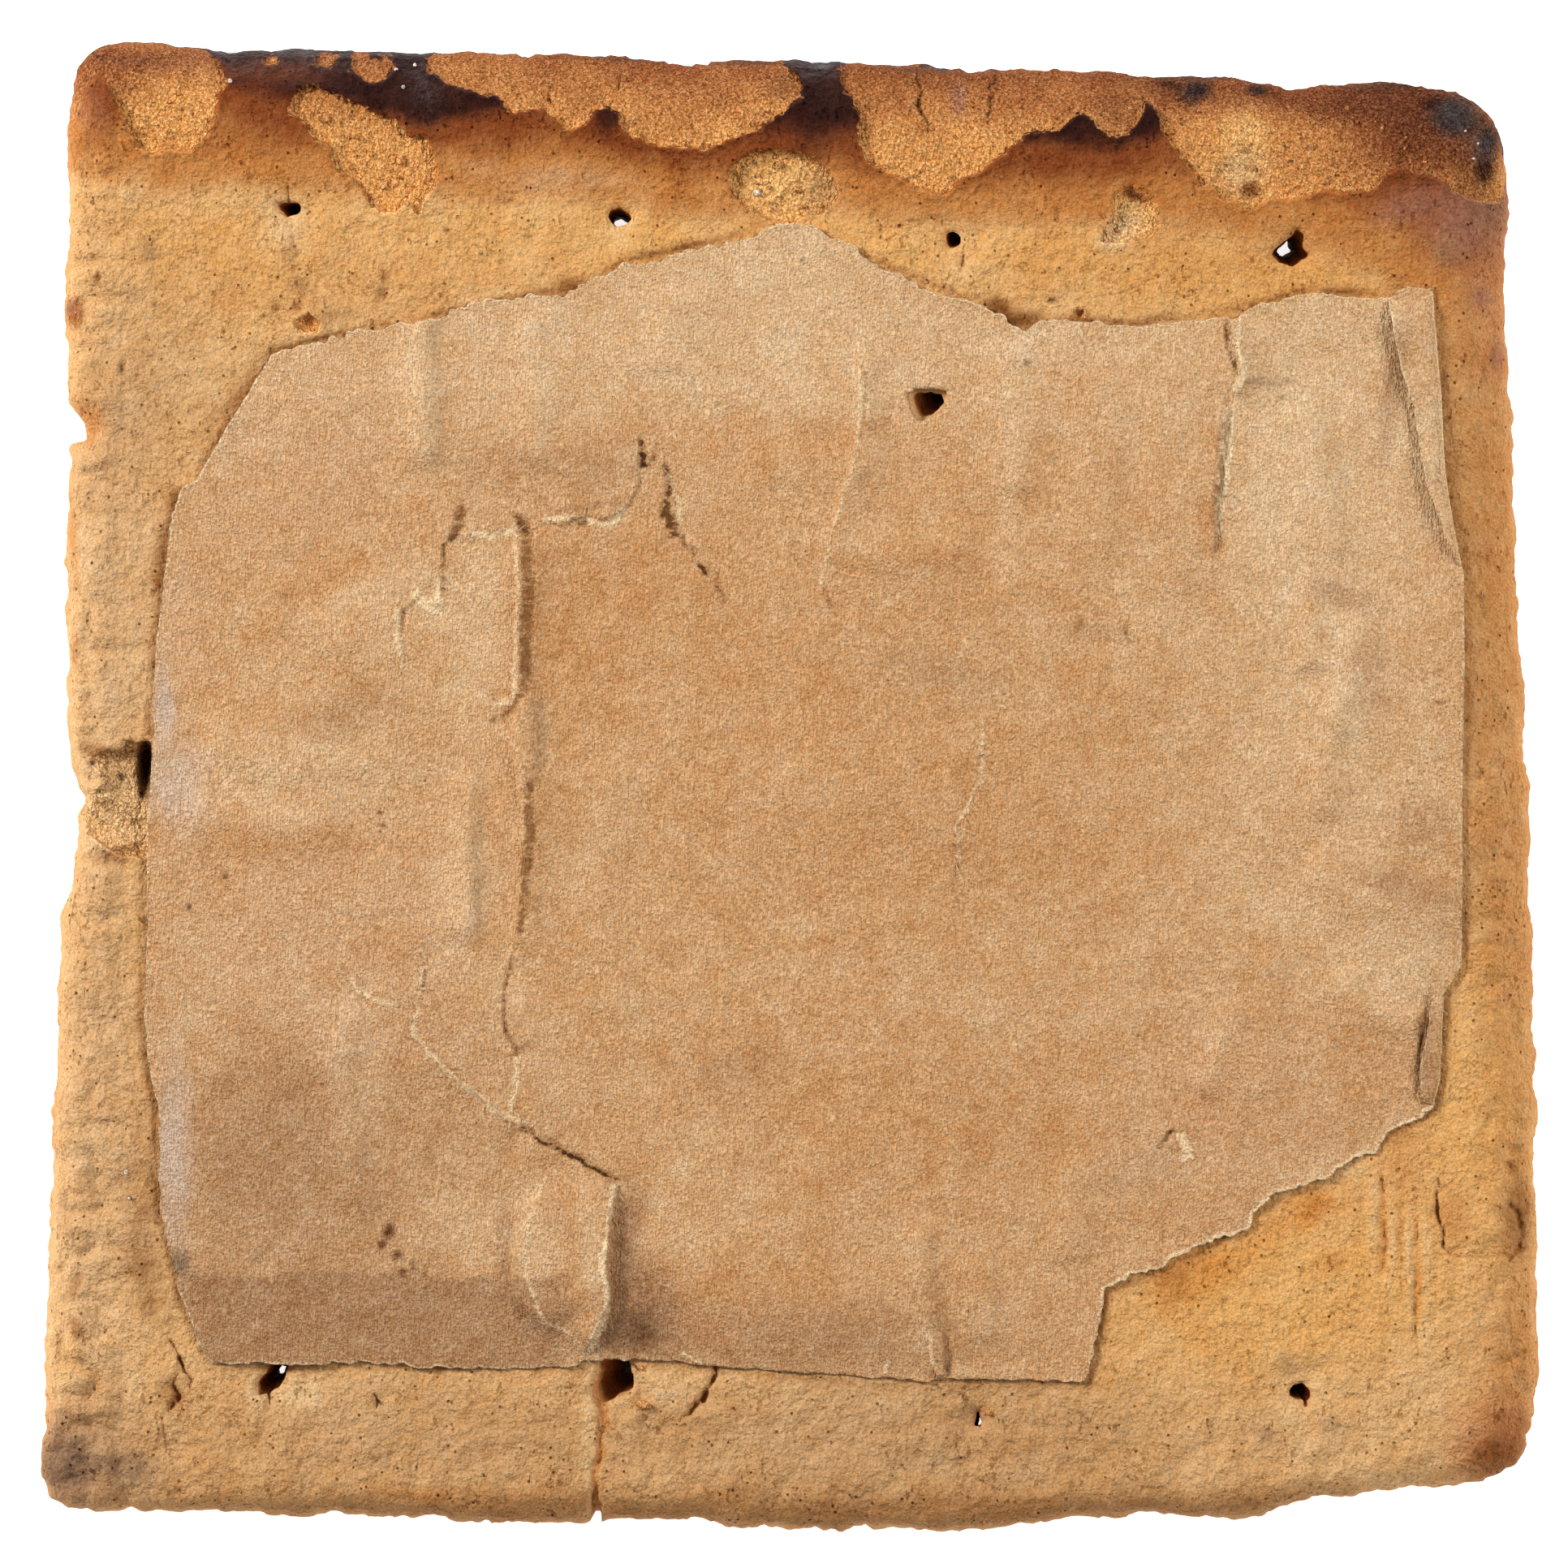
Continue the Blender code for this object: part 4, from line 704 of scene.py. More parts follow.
# Torn fibres: the number of the draw, the weakest fringe that has them, their spacing,
# then the ranges of stray, length, bend, rise and bareness.
FIBRE_DRAW = 180
FIBRE_FRINGE = 0.55
FIBRE_SPACING = 0.9
FIBRE_STRAY = (-0.25, 0.25)
FIBRE_LENGTH = (0.35, 1.1)
FIBRE_BEND = (-1.2, 1.2)
FIBRE_RISE = (0.03, 0.22)
FIBRE_BARE = (0.3, 1.0)
FIBRE_POINTS = 7
FIBRE_SIDES = 5
FIBRE_RADII = (0.028, 0.014)
FIBRE_GROUND = 0.02
FIBRE_ARCH = 0.8

# Crumbs with a place of their own: x, y, radius, paleness. The rest are drawn. The
# near-white ones in the charred corner near (44, 41) partly stand for its glints: painted
# highlights.
CRUMB_PLACES = (
    (-35.8, 45.2, 0.16, 0.9), (-25.2, 46, 0.14, 0.9), (-24.7, 44.8, 0.14, 0.9),
    (-24, 46.3, 0.12, 0.9), (-42.4, -24.7, 0.14, 0.9), (-42.2, -26.4, 0.12, 0.8),
    (43.9, 40.2, 0.1, 0.9), (44.2, 41.2, 0.08, 0.9), (43.4, 42, 0.07, 0.9),
    (-9.3, -39.6, 0.42, 0.5), (0.5, 38.2, 0.26, 0.6), (-2, 38, 0.24, 0.8), (-0.6, 39.8, 0.26, 0.7),
    (21, 35.6, 0.16, 0.4), (29, 40.8, 0.24, 0.7), (29.6, 39.6, 0.2, 0.6), (-25.9, 38.4, 0.3, 0.5),
    (-24.9, 40.1, 0.28, 0.4), (-27.8, 41.6, 0.26, 0.4), (-29.6, 42.7, 0.26, 0.3),
    (-9.4, -37.2, 0.22, 0.5), (12.8, -40.1, 0.26, 0.5),
)
CRUMB_DRAW = 190
CRUMB_COUNT = 170
CRUMB_FIELD = ((-46.0, 37.0), (46.0, 46.5))
CRUMB_RADIUS = (0.06, 0.16)
CRUMB_PALENESS = (0.0, 0.6)
# Drawn crumbs keep off the skin, the rim and the charred corner.
CRUMB_OFF_SKIN = 0.25
CRUMB_OFF_RIM = 1.2
CHARRED_CORNER = ((43.4, 42.0), 2.6)
CRUMB_STRETCH = (0.7, 1.25)
CRUMB_SHAPE = (0.28, 0.7, 191)
CRUMB_SHAPES = 9
CRUMB_SIT = 0.35
FLECK_PALENESS = 0.75
CRUMB_PALE_SHARE = 0.7

# Colour laid over the crust: x, y, half width, half height, turn, colour, strength. The umber
# strokes along the label's rim are glue with painted contact shadow. The dark strokes in the
# small pits, in the hollow at the left near (-43, 1) and along the top of the crater near
# (22, 38) are painted shade.
CRUST_STROKES = (
    (0, 36, 36, 5, 0, "golden", 0.75), (30, 34, 16, 5, -8, "golden", 0.9),
    (28, 34, 14, 3, 0, "amber", 0.3), (-36, 33, 6, 5, 0, "golden", 0.5),
    (45.5, 18, 3.5, 16, 0, "amber", 0.6), (45.8, -6, 3, 12, 0, "amber", 0.55),
    (43.6, -20, 4, 9, 0, "golden", 0.9), (46.5, -22, 2.4, 12, 0, "amber", 0.35),
    (33, -32, 13, 6, 10, "golden", 0.9), (46.3, -38, 2.4, 6, 0, "amber", 0.6),
    (8, -42, 20, 4, 0, "dusky", 0.35), (-25, -42, 18, 4, 0, "dusky", 0.28),
    (-46, -43.3, 5, 3.4, 20, "dusky", 0.7), (0, -46.4, 46, 1.6, 0, "umber", 0.45),
    (-44.2, -20, 3, 22, 0, "ivory", 0.5), (-43.4, 12, 3.4, 14, 0, "ivory", 0.5),
    (-41, 26, 4, 8, -30, "dusky", 0.2), (-32.2, 36.2, 1.6, 1.6, 0, "pale", 0.9),
    (-41.2, -26.5, 1.3, 5.5, 0, "umber", 0.25), (-41, -31.5, 1.2, 2.6, 15, "umber", 0.25),
    (-42.2, -24.6, 1, 0.5, 20, "umber", 0.2), (-41.2, -27.6, 0.5, 1.1, -15, "umber", 0.25),
    (-41.2, -30.6, 0.9, 0.6, 30, "umber", 0.25), (-41, -33.4, 0.5, 0.9, 10, "umber", 0.2),
    (-45.8, 15.5, 0.25, 2.8, 2, "amber", 0.7), (-45.8, 9, 0.22, 1.4, 0, "amber", 0.6),
    (-45.9, 30.3, 0.6, 0.9, 0, "brown", 0.8), (-45, 23.2, 1, 1.6, 0, "amber", 0.7),
    (-44, 2, 1.2, 0.5, -8, "umber", 0.6), (-44.6, 1.4, 0.35, 0.25, 0, "soot", 0.4),
    (-43.5, 1.8, 0.3, 0.25, 0, "soot", 0.4), (-43, -4.5, 1.6, 0.5, 5, "umber", 0.4),
    (-41, 34, 0.6, 0.8, 0, "grey", 0.4), (-42, 31.5, 0.6, 0.4, 0, "grey", 0.35),
    (-40.6, 30.9, 0.25, 0.2, 0, "umber", 0.9), (-42.3, 38.7, 0.5, 0.5, 0, "umber", 0.35),
    (-42.7, 26.8, 0.16, 0.4, 0, "soot", 0.7), (-44.3, 32.5, 0.16, 0.6, -12, "umber", 0.8),
    (-25.9, 32.7, 0.25, 0.4, 0, "umber", 0.7), (-26, 31.6, 0.3, 0.4, 0, "umber", 0.7),
    (-22, 35.5, 0.25, 0.25, 0, "umber", 0.7), (-31.4, 31.8, 0.7, 0.5, 0, "grey", 0.5),
    (-31.6, 30.6, 0.35, 0.3, 0, "umber", 0.75), (-32.8, 30.6, 0.3, 0.25, 0, "umber", 0.7),
    (-32, 34, 0.4, 1.3, 0, "dusky", 0.45), (-36.2, 40.2, 0.5, 0.25, -15, "soot", 0.7),
    (-36, 24.5, 0.5, 4.4, -34, "umber", 0.25), (-40.4, 13, 0.3, 0.5, 0, "brown", 0.8),
    (-40.3, 14.5, 0.5, 2.2, 0, "umber", 0.25), (-29, 29.8, 1.6, 0.5, 12, "umber", 0.3),
    (-13.8, 32.1, 1, 0.6, 0, "umber", 0.7), (13.2, 30.8, 0.9, 0.7, 0, "umber", 0.8),
    (15.2, 30, 0.9, 0.6, 0, "umber", 0.8), (18.6, 30.2, 0.5, 0.3, 0, "umber", 0.5),
    (16.9, 31.2, 0.25, 0.15, 30, "soot", 0.8), (8, 32.7, 1.4, 0.3, -20, "umber", 0.2),
    (24, 29.9, 1.4, 0.35, 8, "umber", 0.4), (36, 31.6, 1.6, 0.3, 0, "umber", 0.3),
    (-10.7, 35.4, 0.9, 1.2, 0, "pale", 0.5), (10.8, 33.8, 1.4, 1.7, 0, "pale", 0.35),
    (21.2, 35.3, 1.6, 1.1, 0, "pale", 0.9), (22.3, 38.1, 0.8, 0.4, -15, "soot", 0.4),
    (29.2, 40.4, 1.3, 2.2, 5, "pale", 0.7), (29.4, 38.2, 0.7, 0.6, 0, "brown", 0.8),
    (-28, 33, 14, 3.5, 0, "amber", 0.12), (33, 36.4, 6, 2, 0, "amber", 0.35),
    (11, 37.4, 7, 1.8, 0, "amber", 0.25), (-45, -23.5, 0.6, 0.5, 0, "grey", 0.3),
    (-45.6, -29, 0.5, 0.7, 0, "grey", 0.25), (-45.5, -32, 0.35, 0.9, -25, "umber", 0.4),
    (-45.7, -34.5, 0.4, 0.9, 20, "umber", 0.4), (-46.2, -43.2, 1.8, 2.6, 0, "murk", 0.6),
    (-42.6, -43.6, 2.6, 1, 0, "murk", 0.4), (-31.2, -38.7, 1.8, 1.2, 0, "pale", 0.8),
    (-34.4, -38.6, 0.7, 1, 0, "pale", 0.6), (-39.5, -38.6, 1, 1.2, 0, "umber", 0.4),
    (-23.5, -45.3, 2.6, 0.5, 0, "amber", 0.6), (34, -26.5, 0.8, 0.6, 30, "amber", 0.6),
    (24, -31.5, 0.9, 0.5, 20, "amber", 0.6), (35, -30.5, 0.6, 0.9, 0, "amber", 0.5),
    (37.5, -27.6, 0.3, 3.2, 0, "pale", 0.5), (38.7, -28.6, 0.28, 3.6, 0, "pale", 0.5),
    (39.7, -30.6, 0.28, 3.4, 0, "pale", 0.5), (40.8, -31.4, 0.3, 3.8, 0, "pale", 0.4),
    (38.1, -28.4, 0.2, 3.2, 0, "orange", 0.4), (39.2, -29.6, 0.2, 3.2, 0, "orange", 0.4),
    (40.25, -31, 0.2, 3.6, 0, "orange", 0.4), (42.4, -28, 1, 2.2, 0, "amber", 0.5),
    (46.5, -27.6, 0.9, 2.4, 0, "umber", 0.6), (45.6, -42.4, 3.2, 3, 0, "russet", 0.9),
    (46.2, -42.8, 2.6, 2.2, 0, "umber", 0.65), (30.5, -41.3, 0.9, 0.6, 0, "grey", 0.4),
    (34.5, -41, 0.8, 0.6, 0, "grey", 0.4), (32, -37, 0.7, 0.7, 0, "grey", 0.4),
    (33, -38.5, 1.8, 1.8, 0, "pale", 0.3), (20.3, -33.4, 0.4, 2.6, 0, "umber", 0.25),
    (26, -31.4, 4, 1.8, 27, "orange", 0.5), (24.6, -31.8, 1.4, 0.8, 27, "umber", 0.25),
    (10, -38.5, 9, 0.4, 0, "umber", 0.12), (33, -27.2, 3.4, 1.4, 27, "orange", 0.4),
    (39, -24, 2, 3, 0, "orange", 0.25), (-8, -38.4, 2, 1.2, 0, "pale", 0.4),
    (-13, -40, 0.5, 2.4, 0, "pale", 0.6), (-12.8, -43, 0.5, 4, 0, "pale", 0.5),
    (42.6, 27, 1, 6, 0, "amber", 0.5), (44, -18, 1.8, 4, 0, "pale", 0.2),
    (45.2, 32, 3, 5, 0, "amber", 0.55),
)
# Brown glue that has run out along the label, darkened further by painted contact shadow
# along its rim: strength, reach, then points.
GLUE_AND_SHADOW_LINES = (
    (0.5, 0.4, ((-37.3, 20.8), (-35, 24.6), (-33.2, 27.6))),
    (0.9, 0.18, ((-33, 27.8), (-29.5, 28.8), (-22, 30.3), (-17, 31.4), (-14, 31.8))),
    (0.95, 0.2, ((-14.5, 31.7), (-12.2, 32.7), (-10.4, 33.7), (-6.6, 34.5), (-3, 35.3))),
    (0.5, 0.16, ((2.4, 35.4), (5.2, 33.8), (7.7, 32.7), (11.5, 31.2))),
    (0.95, 0.5, ((12.6, 30.8), (13.6, 30.4), (14.3, 29.8), (15.3, 29.5), (16, 30))),
    (0.8, 0.18, ((16.2, 30), (22.3, 29.6), (28, 30.3), (33, 31.8), (38.5, 31.5))),
    (0.4, 0.2, ((41.7, 31.5), (42.1, 21), (43.5, 13), (43.4, 0), (43.3, -11))),
    (0.6, 0.22, ((42.2, -13), (41.5, -20.8), (38.2, -22.6))),
    (0.7, 0.22, ((38.2, -22.6), (31.5, -26.3), (26.5, -29.8), (20.4, -32.4), (19.2, -38.2))),
    (0.4, 0.18, ((19, -38.3), (9, -38.3), (0, -37.8), (-6.9, -37.1), (-13.2, -37))),
    (0.4, 0.18, ((-13.6, -37.4), (-26.5, -37.2), (-36.9, -37.2), (-38.8, -33.4))),
    (0.5, 0.25, ((-38.8, -33.4), (-40.4, -27.5), (-40.6, -20.6), (-41.5, -15))),
    (0.3, 0.2, ((-41.5, -15), (-41.3, -3), (-41, 1))),
    (0.4, 0.2, ((-40.9, 3.4), (-40.7, 9.5), (-40.2, 12))),
    (0.6, 0.35, ((-40.4, 12.4), (-39.9, 16), (-39.2, 18.8))),
)
# The glue and its painted shadow are patchy: least share, then depth, size and number; and
# how they fade.
GLUE_SHADOW_PATCHES = (0.75, 0.8, 1.6, 125)
GLUE_SHADOW_POWER = 1.6
# Colour laid over scorched skin and char, after the scorching itself. The slate line along
# the top edge near x -33 is partly painted sheen.
CHAR_STROKES = (
    (-33, 47, 6, 0.5, 0, "slate", 0.6), (-27, 44.9, 3, 1, -20, "black", 0.7),
    (-33, 45.6, 3.4, 1, 0, "brown", 0.5), (-45.2, 43.5, 0.8, 2.6, 0, "russet", 0.6),
    (-23.2, 45, 1.3, 2.2, 0, "black", 0.95), (1.7, 44, 1.8, 3, 0, "black", 0.9),
    (19, 42.9, 0.9, 0.8, 0, "black", 0.8), (23.1, 42.9, 0.6, 1.2, 0, "black", 0.8),
    (-11.6, 42.8, 0.7, 1, 0, "black", 0.8), (-44.2, 43.4, 1, 2.2, 0, "brown", 0.6),
    (-44.2, 44.8, 0.6, 1.4, 0, "brown", 0.4), (43.9, 36, 3.6, 3, 0, "plum", 0.9),
    (42, 34, 0.7, 0.7, 0, "grey", 0.6), (40, 37.4, 3, 1.2, 15, "plum", 0.6),
    (45.4, 30, 2.2, 5, 0, "russet", 0.6), (44.6, 31.5, 0.7, 0.8, 0, "plum", 0.7),
    (45.3, 27.5, 0.6, 0.9, 0, "plum", 0.6), (44.9, 37, 1.4, 1.2, 0, "grey", 0.5),
    (-15.6, 38.8, 3.4, 1, 8, "haze", 0.4), (-20, 39.4, 1.4, 0.7, 0, "haze", 0.4),
    (-11.6, 38.9, 2.4, 0.6, 0, "haze", 0.35),
)
# Colour laid over the bare crumb. The black, soot and umber strokes in the hollow at the left
# near (-42, 0) are painted shadow under the label's edge and under the skin's rim above it;
# the brown and umber strokes along the top of the crater near (22, 38) and in the pits near
# (29.5, 38) and (46, -24) are painted shade. The thin slate lines along the top edge are
# partly painted sheen.
CRUMB_STROKES = (
    (35, 44.4, 9, 1.5, 0, "dark_crumb", 0.8), (41, 41.6, 4.6, 3, 0, "dark_crumb", 0.9),
    (40.4, 42.4, 3.6, 2.8, 0, "scab", 0.95), (37, 43.8, 4.6, 1.4, 0, "scab", 0.85),
    (44, 39.4, 1.6, 2.6, 0, "scab", 0.5), (30, 44.4, 3, 0.8, 0, "scab", 0.5),
    (24.6, 44.8, 2.4, 1, 0, "scab", 0.5), (21, 43.3, 1.6, 1.7, 0, "scab", 0.4),
    (-0.6, 44.6, 1.2, 1, 0, "scab", 0.4), (17.6, 43.6, 1.4, 0.9, 0, "dark_crumb", 0.5),
    (-44.4, 45.6, 2.4, 1.6, 0, "dark_crumb", 0.7), (-40, 46.8, 6, 0.9, 0, "dark_crumb", 0.6),
    (-42.6, 46.8, 3, 0.6, 0, "scab", 0.4), (-0.3, 38.5, 3, 2, 0, "sand", 0.85),
    (2.2, 38.2, 1.2, 1.6, 0, "dusky", 0.4), (21.7, 36.3, 2.4, 2, 0, "sand", 0.95),
    (21.2, 35.6, 1.6, 1.2, 0, "pale", 0.8), (22.3, 37.8, 0.9, 0.3, -20, "brown", 0.6),
    (29.2, 40.2, 1.6, 3, 5, "sand", 0.9), (28.8, 39.2, 1.4, 1.4, 0, "pale", 0.6),
    (29.5, 38.1, 0.8, 0.55, 0, "umber", 0.95), (-42.8, -1, 3.2, 4.4, 0, "pale", 0.8),
    (-40.9, 1.3, 0.55, 1.8, 0, "black", 0.95), (-42.2, 2, 1, 0.6, 0, "umber", 0.4),
    (-44.2, 2, 1.2, 0.4, -8, "umber", 0.5), (-43, -4.3, 1.6, 0.4, 5, "umber", 0.4),
    (-44.6, 1.4, 0.3, 0.2, 0, "soot", 0.7), (-42.6, 0.5, 0.25, 0.3, 0, "soot", 0.8),
    (-41.4, -0.6, 0.25, 0.3, 0, "soot", 0.8), (-43.8, -1.2, 0.3, 0.2, 0, "umber", 0.7),
    (-42, -2.4, 0.3, 0.2, 0, "umber", 0.7), (42.8, 42.7, 1.5, 1.3, -30, "slate", 1),
    (44.7, 41.1, 0.8, 1.3, 0, "slate", 0.9), (41.3, 43.6, 0.7, 0.5, 0, "black", 0.6),
    (44.6, 39.6, 0.6, 0.6, 0, "black", 0.7), (25.9, 44.8, 1.15, 0.7, 0, "slate", 1),
    (24.4, 45.1, 0.8, 0.3, 0, "black", 0.6), (30.2, 44.6, 0.7, 0.4, 0, "slate", 0.95),
    (12, 45.5, 6, 0.7, 0, "scab", 0.3), (34, 40.4, 5, 2.4, 0, "dark_crumb", 0.28),
    (10.8, 44.1, 0.55, 1.2, 0, "plum", 0.85), (-10, 46.8, 5, 0.25, 0, "slate", 0.35),
    (-2.6, 46.5, 2.4, 0.25, 0, "slate", 0.4), (8.5, 46.1, 3.5, 0.25, 0, "slate", 0.35),
    (26.5, 45.6, 5.5, 0.3, 0, "slate", 0.4), (38.5, 44.9, 3.5, 0.3, 0, "slate", 0.4),
    (-46, 30.4, 0.5, 0.8, 0, "brown", 0.6), (46.2, -24.2, 0.5, 0.5, 0, "brown", 0.8),
)
# Glossy places: x, y, half width, half height, turn, strength.
SHINE_STROKES = (
    (42.8, 42.8, 1.6, 1.4, 0, 1), (44.3, 41, 1, 1.2, 0, 1), (1.6, 45.9, 1.6, 0.6, 0, 1),
    (-23.2, 45.2, 1.2, 1.8, 0, 0.8), (-34, 46.4, 9, 0.9, 0, 0.7), (45.5, 1, 0.8, 1.4, 0, 0.8),
    (45.8, -3.4, 0.7, 0.9, 0, 0.8), (46, -13.8, 0.7, 1, 0, 0.8), (44.2, 15.4, 0.8, 1, 0, 0.7),
    (-46, 30.6, 0.5, 0.6, 0, 1), (-44.2, 43.6, 0.9, 2, 0, 0.5), (-43.7, 20.5, 0.5, 0.5, 0, 1),
    (-44, 15.3, 0.5, 0.4, 0, 1), (-44, 13, 0.5, 0.5, 0, 1), (-43.5, 6, 0.5, 0.5, 0, 1),
    (-42.4, -24.7, 0.5, 0.5, 0, 1), (-42.2, -26.4, 0.5, 0.4, 0, 1), (-40.8, -27.6, 0.4, 0.7, 0, 1),
)
# Colour laid over the label, in the same columns as the crust's. The narrow light strokes
# that run along the folds and the raised lips, and the light stroke below the ridge near
# (38.5, -11), are painted highlights. The gap, soot and dusky strokes right of the groove near
# x -16.4, left of the upper right fold and of the lower right strip, and above that ridge near
# (39.5, -6), are painted shadow. The dusky and soot strokes right of the raised lip near
# (-10, -31) darken the sheet there. The rest are the sheet's own tones and stains.
PAPER_STROKES = (
    (-5, 29, 34, 7, 3, "light", 0.55), (-29, -24, 13, 9, 10, "dusky", 0.28),
    (0, 34, 6, 3, 0, "light", 0.6), (30, -21, 9, 5, 30, "russet", 0.3),
    (-13, 9, 3.4, 8, 0, "russet", 0.4), (-10, 12, 8, 6, 0, "russet", 0.3),
    (34, 22, 9, 12, -12, "light", 0.65), (33, 2, 10, 16, 0, "light", 0.4),
    (31.5, 20, 2, 8, 0, "light", 0.5), (40.5, -2.6, 2.2, 1.8, 0, "dusky", 0.3),
    (37, 6.5, 2, 2.4, 0, "dusky", 0.25), (38.5, -11, 5, 3.5, 0, "light", 0.5),
    (-32, 0.5, 9, 3, 0, "light", 0.4), (-25, 11.5, 6, 2.6, 0, "light", 0.45),
    (-21, -7, 1.8, 5, 0, "light", 0.7), (-19.6, 8, 1.8, 9, 0, "light", 0.5),
    (-27.6, -18.5, 2, 6.5, 0, "light", 0.5), (-20, -28, 4, 3.2, 0, "light", 0.45),
    (-15.8, -30, 1.6, 3.6, 0, "light", 0.5), (-12.2, -30.5, 0.9, 5.4, 8, "light", 0.6),
    (-7, -29, 1.8, 1.6, 0, "light", 0.45), (-23.2, 25.5, 1.2, 5.6, 0, "light", 0.6),
    (-15.8, 26.5, 1.1, 5.2, 0, "light", 0.5), (0, 28, 1.4, 4.5, 0, "light", 0.45),
    (4.5, 25.5, 0.8, 4.5, 0, "light", 0.6), (14.4, 22.5, 0.9, 7.5, -6, "light", 0.5),
    (13.5, -15.5, 2.4, 3.2, 0, "light", 0.4), (27, -15, 1.6, 3, 0, "light", 0.35),
    (35.5, 6, 1.2, 6, 8, "light", 0.6), (-3, -33, 8, 4, 0, "russet", 0.25),
    (5, 1, 14, 9, 0, "russet", 0.28), (10, -20, 14, 6, 0, "russet", 0.25),
    (-30, -10, 9, 8, 0, "rosy", 0.4), (-33, -24, 7, 7, 0, "dusky", 0.3),
    (-31, 20, 6, 5, 20, "rosy", 0.35), (29, -20, 8, 6, 25, "rosy", 0.3),
    (-28, -34, 11, 3.2, 0, "dusky", 0.25), (0, -35.5, 14, 2.6, 0, "dusky", 0.45),
    (-9, -33.5, 2.2, 3.6, 20, "dusky", 0.8), (-10, -29, 0.9, 3.6, 0, "dusky", 0.7),
    (-10.2, -35.2, 2, 1.4, 0, "soot", 0.45), (-2.5, 22.5, 9, 1.5, 0, "russet", 0.4),
    (-2, 20.5, 1.5, 1.5, 0, "russet", 0.4), (9, 14.6, 4, 0.9, 0, "russet", 0.45),
    (17, 15.5, 2.2, 0.9, 0, "russet", 0.4), (17.5, 25, 1.6, 1.4, 0, "russet", 0.4),
    (27, 18.5, 0.9, 6.5, 0, "russet", 0.5), (35.5, 12, 2.6, 1, -20, "dusky", 0.4),
    (39.5, -6.2, 3.6, 1, -18, "dusky", 0.45), (30, -12.5, 1.4, 2.8, 0, "russet", 0.4),
    (36.5, -17.5, 1.8, 2.8, 0, "russet", 0.45), (-29, 13.4, 4, 1, 32, "russet", 0.45),
    (-31, -3.8, 9, 1.2, 0, "russet", 0.35), (-25, -10, 2.6, 1.3, 0, "russet", 0.35),
    (-16.3, 12.5, 0.5, 4.4, 0, "gap", 0.15), (-16.6, 8, 0.3, 1.2, 0, "soot", 0.3),
    (-16.2, 3.6, 0.5, 3, 0, "dusky", 0.5), (-16.3, -4, 0.45, 5, 0, "gap", 0.15),
    (-18.3, -29.4, 0.5, 4, 0, "dusky", 0.35), (-39.9, 5.6, 0.8, 2.8, 0, "milky", 0.8),
    (-39, 0, 2, 3.2, 0, "milky", 0.6), (-39.4, -23.5, 1.1, 6.8, 0, "milky", 0.7),
    (-39, -30.3, 0.9, 0.8, 0, "grey", 0.7), (-38.6, 11, 1.4, 4, 0, "rosy", 0.5),
    (-12, 20.5, 3.2, 2, 10, "dusky", 0.3), (-18.8, 20, 4, 2, 0, "dusky", 0.2),
    (-13, 17.9, 3, 0.25, 5, "dusky", 0.4), (-20.6, 17.4, 1.2, 0.3, 0, "dusky", 0.4),
    (-25.45, -28.6, 0.3, 0.55, -15, "scab", 1), (-25.95, -29.4, 0.22, 0.3, 0, "scab", 0.9),
    (-24.9, -30.1, 0.4, 0.28, 20, "scab", 0.9), (-24.6, -31.1, 0.3, 0.24, 0, "scab", 1),
    (-24, -30.8, 0.2, 0.26, 0, "scab", 0.8), (-23.3, -31.2, 0.2, 0.12, -30, "scab", 0.8),
    (1, 33.5, 0.18, 0.14, 0, "soot", 0.9), (15.3, 27.1, 0.2, 0.16, 0, "soot", 0.85),
    (31.5, 24.8, 0.2, 0.14, 20, "soot", 0.8), (-26, -1.7, 0.2, 0.15, 0, "soot", 0.8),
    (-25.9, -2.5, 0.16, 0.16, 0, "soot", 0.7), (-36.1, -5.7, 0.2, 0.16, 0, "soot", 0.8),
    (-38.4, -7.7, 0.16, 0.2, 0, "soot", 0.8), (30.4, 25.8, 1.8, 0.35, 5, "grey", 0.35),
    (19.4, 9.9, 2, 0.6, 0, "grey", 0.12), (40.8, -16.8, 0.5, 3.4, 0, "dusky", 0.5),
    (38.9, 25.5, 0.7, 5, -8, "dusky", 0.45), (-28, 4.6, 3.6, 1.6, 10, "grey", 0.16),
    (9, 7.6, 4.6, 1.4, -12, "grey", 0.14), (22.6, -24.4, 3.6, 1.2, 25, "grey", 0.12),
    (-3.2, -18, 3.2, 1.5, 15, "grey", 0.12),
)
# A damp stain at the label's lower left: its top and right limits with their softness,
# its strength, and the noises of its top.
DAMP_TOP = (-31.0, 0.35)
DAMP_RIGHT = (-13.0, 2.0)
DAMP_SHARE = 0.55
DAMP_EDGE = ((0.35, 2.4, 162), (0.15, 0.6, 163))

# Strands of the paper's fibres: their direction in radians and their width. The first
# three are pale and the others dark.
STRANDS = ((0.3, 0.13), (1.25, 0.14), (2.3, 0.13), (0.85, 0.13), (1.9, 0.14))

# The studio: floor, lamps (name, place and width in metres, watts), sky and camera.
FLOOR_HALF = 3.0
FLOOR_DROP = 0.1
FLOOR_GLOW = 0.85
LAMPS = (
    ("lamp_left", (-0.7, 0.34, 0.46), 0.18, 8.2), ("lamp_right", (0.66, 0.24, 0.56), 0.34, 4.4),
)
SKY_STRENGTH = 0.30
WHITE = (1.0, 1.0, 1.0, 1.0)
SENSOR_WIDTH = 36.0
CLIP_START = 0.01
CLIP_END = 20.0
PICTURE_MIDDLE = (-0.29, 0.13)
FOCUS_HEIGHT = 7.5


def linear(red, green, blue):
    """A colour of 0 to 255 as seen on a screen, in Blender's linear values."""
    return tuple((part / 255.0) ** GAMMA for part in (red, green, blue))


